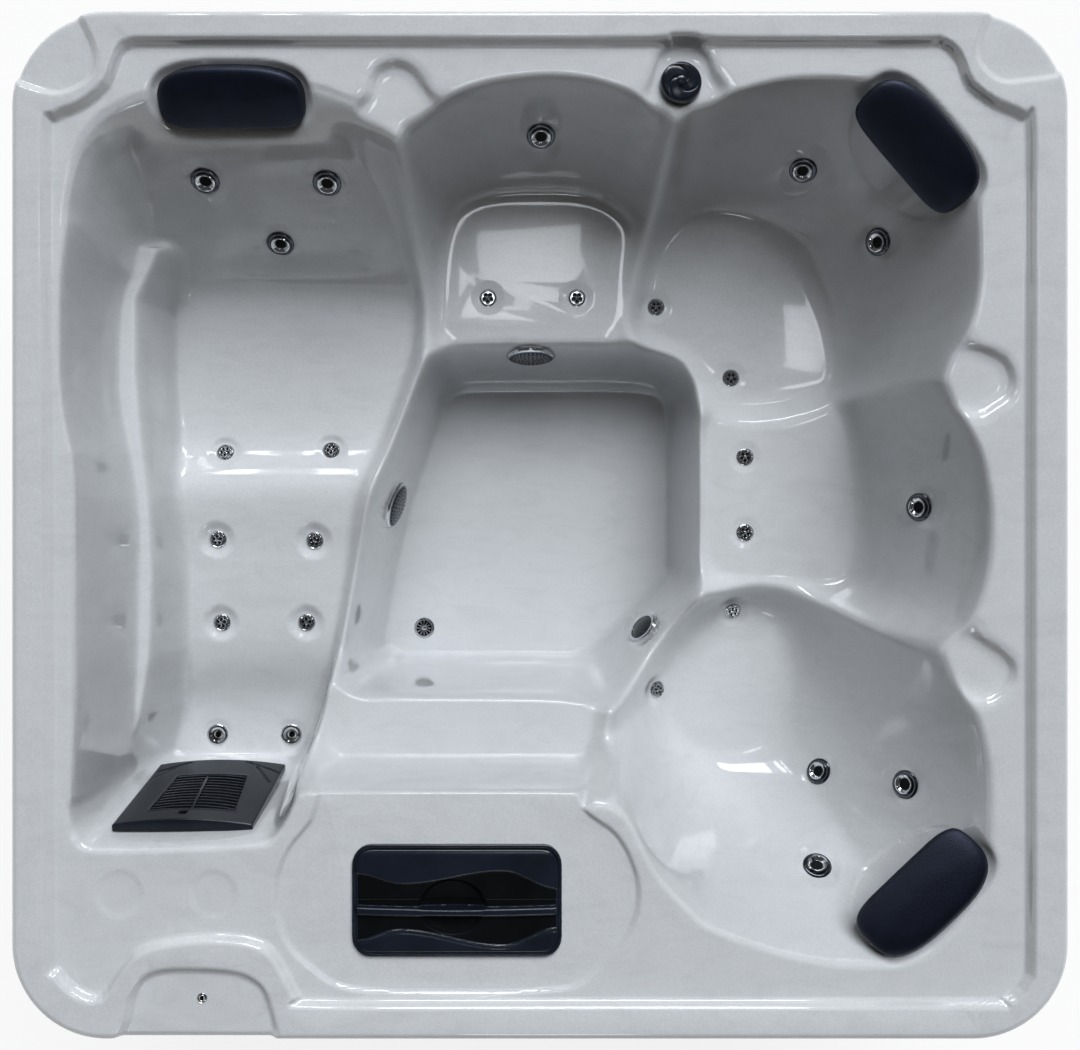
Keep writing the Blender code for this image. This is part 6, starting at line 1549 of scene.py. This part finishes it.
def make_cartridges():
    """Pleated filter cartridges: a fleece of folds between two end caps, each with a shallow dish in its
    middle.
    """
    x, y = half_plan(FILTER_PLACE_SHARES)
    foot = HEIGHT - FILTER_DECK_DEPTH - WELL_LENGTH + WELL_WALL + CLEARANCE
    folds = disc("fleece", CARTRIDGE_RADIUS - 0.004, CARTRIDGE_CAP, 2 * CARTRIDGE_FOLDS)
    for number, vert in enumerate(folds.data.vertices):
        if number % 2:
            vert.co.x *= 0.80
            vert.co.y *= 0.80
    edit_all(folds)
    draw_up(CARTRIDGE_LENGTH - 2 * CARTRIDGE_CAP)
    close_up()
    coat(folds, finish("fleece"))
    caps = [folds]
    for low in (0.0, CARTRIDGE_LENGTH - CARTRIDGE_CAP):
        cap = turned("cap", [
            (CARTRIDGE_RADIUS - 0.003, low), (CARTRIDGE_RADIUS, low + 0.002),
            (CARTRIDGE_RADIUS, low + CARTRIDGE_CAP - 0.003), (CARTRIDGE_RADIUS - 0.003, low + CARTRIDGE_CAP),
            (0.40 * CARTRIDGE_RADIUS, low + CARTRIDGE_CAP),
            (0.36 * CARTRIDGE_RADIUS, low + CARTRIDGE_CAP - 0.004), (0, low + CARTRIDGE_CAP - 0.004)], 64)
        coat(cap, finish("trim"))
        caps.append(cap)
    cartridge = joined("filter_cartridge", *caps)
    smooth(cartridge, 25)
    for name, side in (("filter_cartridge_left", -1), ("filter_cartridge_right", 1)):
        spot = Matrix.Translation((x + side * (CARTRIDGE_RADIUS + CARTRIDGE_GAP), y, foot))
        seated(copied(cartridge, f"{name}_piece", spot), name, "filter_fleece", name)
    bpy.data.objects.remove(cartridge)


def groove(s, v, start, end, width):
    """1 along a stroke between two points of the plate, 0 off it."""
    ex, ey = end[0] - start[0], end[1] - start[1]
    t = np.clip(((s - start[0]) * ex + (v - start[1]) * ey) / (ex * ex + ey * ey), 0, 1)
    off = np.hypot(s - start[0] - t * ex, v - start[1] - t * ey)
    return step_up(width / 2 - off, width / 2)


def field_edges(v):
    """Left and right edge of the louvred field at a height on the grille."""
    share = (v - GRILLE_FIELD[0]) / (GRILLE_FIELD[1] - GRILLE_FIELD[0])
    return (GRILLE_FIELD_LEFT[0] + share * (GRILLE_FIELD_LEFT[1] - GRILLE_FIELD_LEFT[0]),
            GRILLE_FIELD_RIGHT[0] + share * (GRILLE_FIELD_RIGHT[1] - GRILLE_FIELD_RIGHT[0]))


def grille_face(s, v):
    """Height of the grille's face over its seat."""
    share = s / (GRILLE_WIDTH / 2)
    height = GRILLE_THICK + GRILLE_BULGE * (1 - share * share)
    left, right = field_edges(v)
    inside = (step_up(s - left, 0.004) * step_up(right - s, 0.004) * step_up(v - GRILLE_FIELD[0], 0.004)
              * step_up(GRILLE_FIELD[1] - v, 0.004))
    wide, raised = GRILLE_FRAME
    rim = (step_up(s - left + wide, 0.003) * step_up(right + wide - s, 0.003)
           * step_up(v - GRILLE_FIELD[0] + wide, 0.003) * step_up(GRILLE_FIELD[1] + wide - v, 0.003))
    height += raised * rim - GRILLE_FIELD_SINK * inside
    for start, end in GRILLE_STROKES:
        height -= GRILLE_STROKE[1] * groove(s, v, start, end, GRILLE_STROKE[0])
    hole = step_up(GRILLE_HOLE[2] - np.abs(s - GRILLE_HOLE[0]), 0.002) * step_up(
        GRILLE_HOLE[2] - np.abs(v - GRILLE_HOLE[1]), 0.002)
    edge = np.minimum(GRILLE_WIDTH / 2 - np.abs(s), GRILLE_LENGTH / 2 - np.abs(v))
    edge_fall = GRILLE_EDGE[1] * (1 - np.clip(edge / GRILLE_EDGE[0], 0, 1)) ** 2
    return height - GRILLE_HOLE_SINK * hole - edge_fall


def make_grille():
    """The foot grille: a bowed plate sunk round its louvres, with a curved slat for every gap."""
    deselect()
    bpy.ops.mesh.primitive_grid_add(x_subdivisions=144, y_subdivisions=154, size=2)
    plate = started("plate")
    place = place_of_verts(plate)
    place[:, 0] *= GRILLE_WIDTH / 2
    place[:, 1] *= GRILLE_LENGTH / 2
    place[:, 2] = grille_face(-place[:, 0], place[:, 1])
    plate.data.vertices.foreach_set("co", place.ravel())
    only(plate)
    bpy.ops.object.mode_set(mode="EDIT")
    pick_edges(plate, lambda edge: edge.is_boundary)
    base = CLEARANCE - GRILLE_SINK
    bpy.ops.mesh.extrude_region_move(TRANSFORM_OT_translate={"value": (0, 0, -0.004)})
    bpy.ops.transform.resize(value=(1, 1, 0), center_override=(0, 0, base))
    bpy.ops.mesh.edge_face_add()
    close_up()
    coat(plate, finish("grille"), finish("black_and_shade"))
    # The sunk field behind the louvres and the square hole are painted black as shade, for the dark openings
    # of the grille
    for face in plate.data.polygons:
        s, v = -face.center.x, face.center.y
        left, right = field_edges(v)
        in_field = left + 0.002 < s < right - 0.002 and GRILLE_FIELD[0] + 0.002 < v < GRILLE_FIELD[1] - 0.002
        in_hole = max(abs(s - GRILLE_HOLE[0]), abs(v - GRILLE_HOLE[1])) < GRILLE_HOLE[2]
        if in_field or in_hole:
            face.material_index = 1
    pieces = [plate]
    pitch = (GRILLE_FIELD[1] - GRILLE_FIELD[0]) / GRILLE_ROWS
    for row in range(GRILLE_ROWS):
        v = GRILLE_FIELD[0] + (row + 0.5) * pitch
        left, right = field_edges(v)
        bar = GRILLE_BAR_PLACE[0] + (GRILLE_BAR_PLACE[1] - GRILLE_BAR_PLACE[0]) * row / (GRILLE_ROWS - 1)
        for start, end in ((left, bar - 0.003), (bar + 0.003, right)):
            pieces.append(louvre(start, end, v))
    low, high = GRILLE_FIELD
    bar = block("bar", (0.006, high - low, 0.012), (0, 0, 0), 0.0015)
    lean = math.atan2(GRILLE_BAR_PLACE[1] - GRILLE_BAR_PLACE[0], high - low)
    place = (-sum(GRILLE_BAR_PLACE) / 2, (low + high) / 2, GRILLE_THICK + GRILLE_BULGE - 0.006)
    bar.data.transform(Matrix.Translation(place) @ Matrix.Rotation(lean, 4, "Z"))
    coat(bar, finish("grille"))
    grille = joined("foot_grille_piece", *pieces, bar)
    grille.data.transform(grille_frame())
    smooth(grille, 35)
    seated(grille, "tub", "dark_trim", "foot_grille")


def louvre(start, end, v):
    """One louvre: a round rod that follows the grille's bow and is arched along its run."""
    deselect()
    bpy.ops.mesh.primitive_cylinder_add(vertices=10, radius=GRILLE_ROD_RADIUS, depth=2,
                                        rotation=(0, math.pi / 2, 0))
    rod = started("louvre")
    bpy.ops.object.transform_apply(location=True, rotation=True, scale=True)
    bpy.ops.object.mode_set(mode="EDIT")
    for cut in range(1, 10):
        bpy.ops.mesh.select_all(action="SELECT")
        bpy.ops.mesh.bisect(plane_co=(-1 + 0.2 * cut, 0, 0), plane_no=(1, 0, 0))
    bpy.ops.object.mode_set(mode="OBJECT")
    for vert in rod.data.vertices:
        s = start + (end - start) * (vert.co.x + 1) / 2
        share = s / (GRILLE_WIDTH / 2)
        lift = GRILLE_THICK + GRILLE_BULGE * (1 - share * share)
        arch = GRILLE_ARCH * (1 - (s / 0.09) ** 2)
        vert.co = (-s, v - arch + vert.co.y, lift - GRILLE_ROD_RADIUS + vert.co.z)
    coat(rod, finish("grille"))
    return rod


def outline_inset(x, y):
    """How far a plan point lies inside the tub's rounded outline, and the way out of it."""
    past_x, past_y = abs(x) - LENGTH / 2 + CORNER_RADIUS, abs(y) - WIDTH / 2 + CORNER_RADIUS
    if past_x > 0 and past_y > 0:
        reach = math.hypot(past_x, past_y)
        return CORNER_RADIUS - reach, math.copysign(past_x / reach, x), math.copysign(past_y / reach, y)
    if past_x > past_y:
        return LENGTH / 2 - abs(x), math.copysign(1, x), 0.0
    return WIDTH / 2 - abs(y), 0.0, math.copysign(1, y)


def make_panel(name, sizes):
    """One cabinet side: the wrap-round panel cut into boards by V grooves."""
    panel = linked(f"{name}_boards", frame["nodes"][name].data.copy())
    low, high = (corner[2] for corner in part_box(name))
    boards = max(1, round((high - low) / sizes.board_height))
    joints = [low + (high - low) * number / boards for number in range(1, boards)]
    edit_all(panel, "VERT")
    bpy.ops.mesh.remove_doubles(threshold=WELD_REACH)
    half = sizes.groove_width / 2
    for joint in joints:
        for height in (joint - half, joint, joint + half):
            bpy.ops.mesh.select_all(action="SELECT")
            bpy.ops.mesh.bisect(plane_co=(0, 0, height), plane_no=(0, 0, 1))
    bpy.ops.object.mode_set(mode="OBJECT")
    for vert in panel.data.vertices:
        inset, out_x, out_y = outline_inset(vert.co.x, vert.co.y)
        near = min(abs(vert.co.z - joint) for joint in joints)
        if near < half / 2 and inset < PANEL_INSET + PANEL_THICK / 2:
            vert.co.x -= out_x * sizes.groove_depth
            vert.co.y -= out_y * sizes.groove_depth
    coat(panel, finish("board"))
    smooth(panel, 25)
    seated(panel, "tub", "cabinet_board", name)


# Finish of every solid inside the cabinet, by the start of its name
HIDDEN_FINISHES = {
    "base_tray": "tray", "cabinet_frame": "timber", "control_box": "steel", "diverter_body": "pvc",
    "heater_tube": "steel", "manifold_": "pvc", "pump_motor": "paint", "pump_wet_end": "pvc",
    "suction_line": "pvc", "supply_header": "pvc"}


def dress_solids():
    for start, kind in HIDDEN_FINISHES.items():
        for name, obj in frame["nodes"].items():
            if name.startswith(start):
                for slot in obj.material_slots:
                    slot.material = finish(kind)


def lamp_at(name, kind, place, target, energy):
    """A lamp that shines from its place towards its target."""
    lamp = bpy.data.lights.new(name, kind)
    lamp.energy = energy
    obj = linked(name, lamp)
    aim = (Vector(target) - Vector(place)).to_track_quat("-Z", "Y")
    obj.matrix_world = Matrix.Translation(place) @ aim.to_matrix().to_4x4()
    return obj


def make_lights():
    way, width, level = DAYLIGHT
    sky = lamp_at("daylight", "SUN", Vector(way) * 5, (0, 0, 0), level)
    sky.data.angle = math.radians(width)
    sky.data.color = linear(DAYLIGHT_COLOUR)[:3]
    sky.visible_glossy = False
    for name, (place, target, size, watts, lights) in STUDIO_PANELS.items():
        panel = lamp_at(name, "AREA", place, target, watts)
        panel.data.color = linear(DAYLIGHT_COLOUR)[:3]
        panel.data.shape = "RECTANGLE"
        panel.data.size, panel.data.size_y = size
        panel.visible_diffuse = lights


def make_camera():
    lens = bpy.data.cameras.new("straight_above")
    lens.sensor_width = 36.0
    lens.sensor_fit = "HORIZONTAL"
    lens.lens = lens.sensor_width * CAMERA_RISE / (FRAME_WIDTH * PHOTO_SCALE)
    camera = linked("straight_above", lens)
    camera.location = (0, 0, HEIGHT + CAMERA_RISE)
    bpy.context.scene.camera = camera


def make_stage():
    make_camera()
    deselect()
    bpy.ops.mesh.primitive_plane_add(size=12, location=(0, 0, 0))
    floor = started("studio_floor")
    floor.data.transform(Matrix.Translation((0, 0, -0.0005)))
    coat(floor, pale_floor())
    world = bpy.data.worlds.new("studio")
    world.use_nodes = True
    bpy.context.scene.world = world
    tree = world.node_tree
    path = add_node(tree, "ShaderNodeLightPath")
    mirror = add_node(tree, "ShaderNodeMath", operation="MAXIMUM",
                      links={0: path.outputs["Is Glossy Ray"], 1: path.outputs["Is Transmission Ray"]})
    # White backdrop up to a third of the way to the zenith, a dim ceiling above it
    way = add_node(tree, "ShaderNodeTexCoord").outputs["Generated"]
    rise = add_node(tree, "ShaderNodeSeparateXYZ", links={"Vector": way}).outputs["Z"]
    low, high = CEILING_RISE
    ceiling = add_node(tree, "ShaderNodeMapRange", {"From Min": low, "From Max": high, "To Min": 1.0,
                                                    "To Max": CEILING_LEVEL}, {"Value": rise})
    dim = add_node(tree, "ShaderNodeBackground", {"Color": linear(FILL_COLOUR), "Strength": WORLD_LEVEL})
    seen = add_node(tree, "ShaderNodeBackground", {"Color": linear("#FFFFFF")},
                    {"Strength": ceiling.outputs["Result"]})
    white = add_node(tree, "ShaderNodeBackground", {"Color": linear("#FFFFFF"), "Strength": 1.0})
    mixed = add_node(tree, "ShaderNodeMixShader",
                     links={0: mirror.outputs[0], 1: dim.outputs[0], 2: seen.outputs[0]})
    mixed = add_node(tree, "ShaderNodeMixShader",
                     links={0: path.outputs["Is Camera Ray"], 1: mixed.outputs[0], 2: white.outputs[0]})
    tree.links.new(mixed.outputs[0], tree.nodes["World Output"].inputs["Surface"])
    make_lights()
    bpy.context.scene.view_settings.view_transform = "Standard"


class HotTubSizes(bpy.types.PropertyGroup):
    """Sizes of the finishing detail."""
    skin_pitch: FloatProperty(name="Skin pitch",
                              description="Width of a face of the moulded shell before thinning",
                              default=0.0045, min=0.003, max=0.02, unit="LENGTH")
    board_height: FloatProperty(name="Board height", description="Height of one cabinet board",
                                default=0.115, min=0.05, max=0.4, unit="LENGTH")
    groove_width: FloatProperty(name="Groove width", description="Width of the V groove between two boards",
                                default=0.005, min=0.001, max=0.02, unit="LENGTH")
    groove_depth: FloatProperty(name="Groove depth", description="Depth of the V groove between two boards",
                                default=0.004, min=0.001, max=0.01, unit="LENGTH")
    grate_hole: FloatProperty(name="Grate hole", description="Diameter of a hole in a suction cover",
                              default=0.0054, min=0.002, max=0.008, unit="LENGTH")


def colour_property(name, description, code):
    return FloatVectorProperty(name=name, description=description, default=linear(code)[:3], size=3,
                               min=0.0, max=1.0, subtype="COLOR")


class HotTubColours(bpy.types.PropertyGroup):
    """Colours of the finishes."""
    acrylic: colour_property("Acrylic", "Body colour of the moulded acrylic", "#CACCCE")
    trim: colour_property("Trim", "Moulded filter surround, lid and diverter", "#141924")
    grille: colour_property("Grille", "Moulded foot grille", "#10141C")
    foam: colour_property("Headrest", "Skinned foam of the headrests", "#080B14")
    smoked: colour_property("Escutcheon", "Smoked plating of the large jets' outer rings", "#55585E")
    board: colour_property("Cabinet", "Composite boards of the cabinet", "#45423F")


class HOTTUB_OT_shell(bpy.types.Operator):
    """Mould the acrylic shell"""
    bl_idname = "hottub.shell"
    bl_label = "Moulded Shell"

    def execute(self, context):
        make_shell(context.scene.hot_tub_sizes.skin_pitch)
        return {"FINISHED"}


class HOTTUB_OT_jets(bpy.types.Operator):
    """Turn one face of each kind of jet and set a copy at every jet"""
    bl_idname = "hottub.jets"
    bl_label = "Jets"

    def execute(self, context):
        make_jets()
        return {"FINISHED"}


class HOTTUB_OT_footwell_fittings(bpy.types.Operator):
    """Make the drain, the light and the two suction covers of the footwell"""
    bl_idname = "hottub.footwell_fittings"
    bl_label = "Footwell Fittings"

    def execute(self, context):
        place_fitting(make_drain(), "floor_drain", "chrome")
        place_fitting(make_light(), "footwell_light", "chrome")
        for name in ("suction_cover_back", "suction_cover_left"):
            place_fitting(make_suction_cover(name, context.scene.hot_tub_sizes.grate_hole), name, "chrome")
        return {"FINISHED"}


class HOTTUB_OT_controls(bpy.types.Operator):
    """Make the diverter knob and the air valve of the rim"""
    bl_idname = "hottub.controls"
    bl_label = "Controls"

    def execute(self, context):
        place_fitting(make_knob(), "diverter_knob", "dark_trim")
        place_fitting(make_air_valve(), "panel_air_valve", "chrome")
        return {"FINISHED"}


class HOTTUB_OT_headrests(bpy.types.Operator):
    """Make the foam headrests"""
    bl_idname = "hottub.headrests"
    bl_label = "Headrests"

    def execute(self, context):
        for name, place in headrest_frames().items():
            make_headrest(name, place)
        return {"FINISHED"}


class HOTTUB_OT_filter(bpy.types.Operator):
    """Make the filter's housing, its lid and the two cartridges"""
    bl_idname = "hottub.filter"
    bl_label = "Filter"

    def execute(self, context):
        make_housing()
        make_lid()
        make_cartridges()
        return {"FINISHED"}


class HOTTUB_OT_grille(bpy.types.Operator):
    """Make the louvred grille of the lounger's foot wall"""
    bl_idname = "hottub.grille"
    bl_label = "Foot Grille"

    def execute(self, context):
        make_grille()
        return {"FINISHED"}


class HOTTUB_OT_cabinet(bpy.types.Operator):
    """Cut the four cabinet sides into boards"""
    bl_idname = "hottub.cabinet"
    bl_label = "Cabinet Boards"

    def execute(self, context):
        for name in ("panel_back", "panel_left", "panel_front", "panel_right"):
            make_panel(name, context.scene.hot_tub_sizes)
        return {"FINISHED"}


class HOTTUB_OT_inner_parts(bpy.types.Operator):
    """Finish the frame, the tray, the pipes and the machines inside the cabinet"""
    bl_idname = "hottub.inner_parts"
    bl_label = "Inner Parts"

    def execute(self, context):
        dress_solids()
        return {"FINISHED"}


class HOTTUB_OT_stage(bpy.types.Operator):
    """Set the floor, the backdrop, the lamps and the camera straight above"""
    bl_idname = "hottub.stage"
    bl_label = "Stage"

    def execute(self, context):
        make_stage()
        return {"FINISHED"}


OPERATORS = (HOTTUB_OT_shell, HOTTUB_OT_jets, HOTTUB_OT_footwell_fittings, HOTTUB_OT_controls,
             HOTTUB_OT_headrests, HOTTUB_OT_filter, HOTTUB_OT_grille, HOTTUB_OT_cabinet,
             HOTTUB_OT_inner_parts, HOTTUB_OT_stage)


class HOTTUB_PT_sidebar(bpy.types.Panel):
    """The hot tub's sizes, colours and pieces"""
    bl_idname = "HOTTUB_PT_sidebar"
    bl_label = "Hot Tub"
    bl_space_type = "VIEW_3D"
    bl_region_type = "UI"
    bl_category = "Hot Tub"

    def draw(self, context):
        for group in (context.scene.hot_tub_sizes, context.scene.hot_tub_colours):
            box = self.layout.box()
            for name in group.__annotations__:
                box.prop(group, name)
        for operator in OPERATORS:
            self.layout.operator(operator.bl_idname)


CLASSES = (HotTubSizes, HotTubColours, *OPERATORS, HOTTUB_PT_sidebar)


def register():
    for cls in CLASSES:
        bpy.utils.register_class(cls)
    bpy.types.Scene.hot_tub_sizes = PointerProperty(type=HotTubSizes)
    bpy.types.Scene.hot_tub_colours = PointerProperty(type=HotTubColours)


def unregister():
    del bpy.types.Scene.hot_tub_colours
    del bpy.types.Scene.hot_tub_sizes
    for cls in reversed(CLASSES):
        bpy.utils.unregister_class(cls)


def main():
    register()
    bpy.ops.hottub.shell()
    bpy.ops.hottub.jets()
    bpy.ops.hottub.footwell_fittings()
    bpy.ops.hottub.controls()
    bpy.ops.hottub.headrests()
    bpy.ops.hottub.filter()
    bpy.ops.hottub.grille()
    bpy.ops.hottub.cabinet()
    bpy.ops.hottub.inner_parts()
    bpy.ops.hottub.stage()


if __name__ == "__main__":
    main()
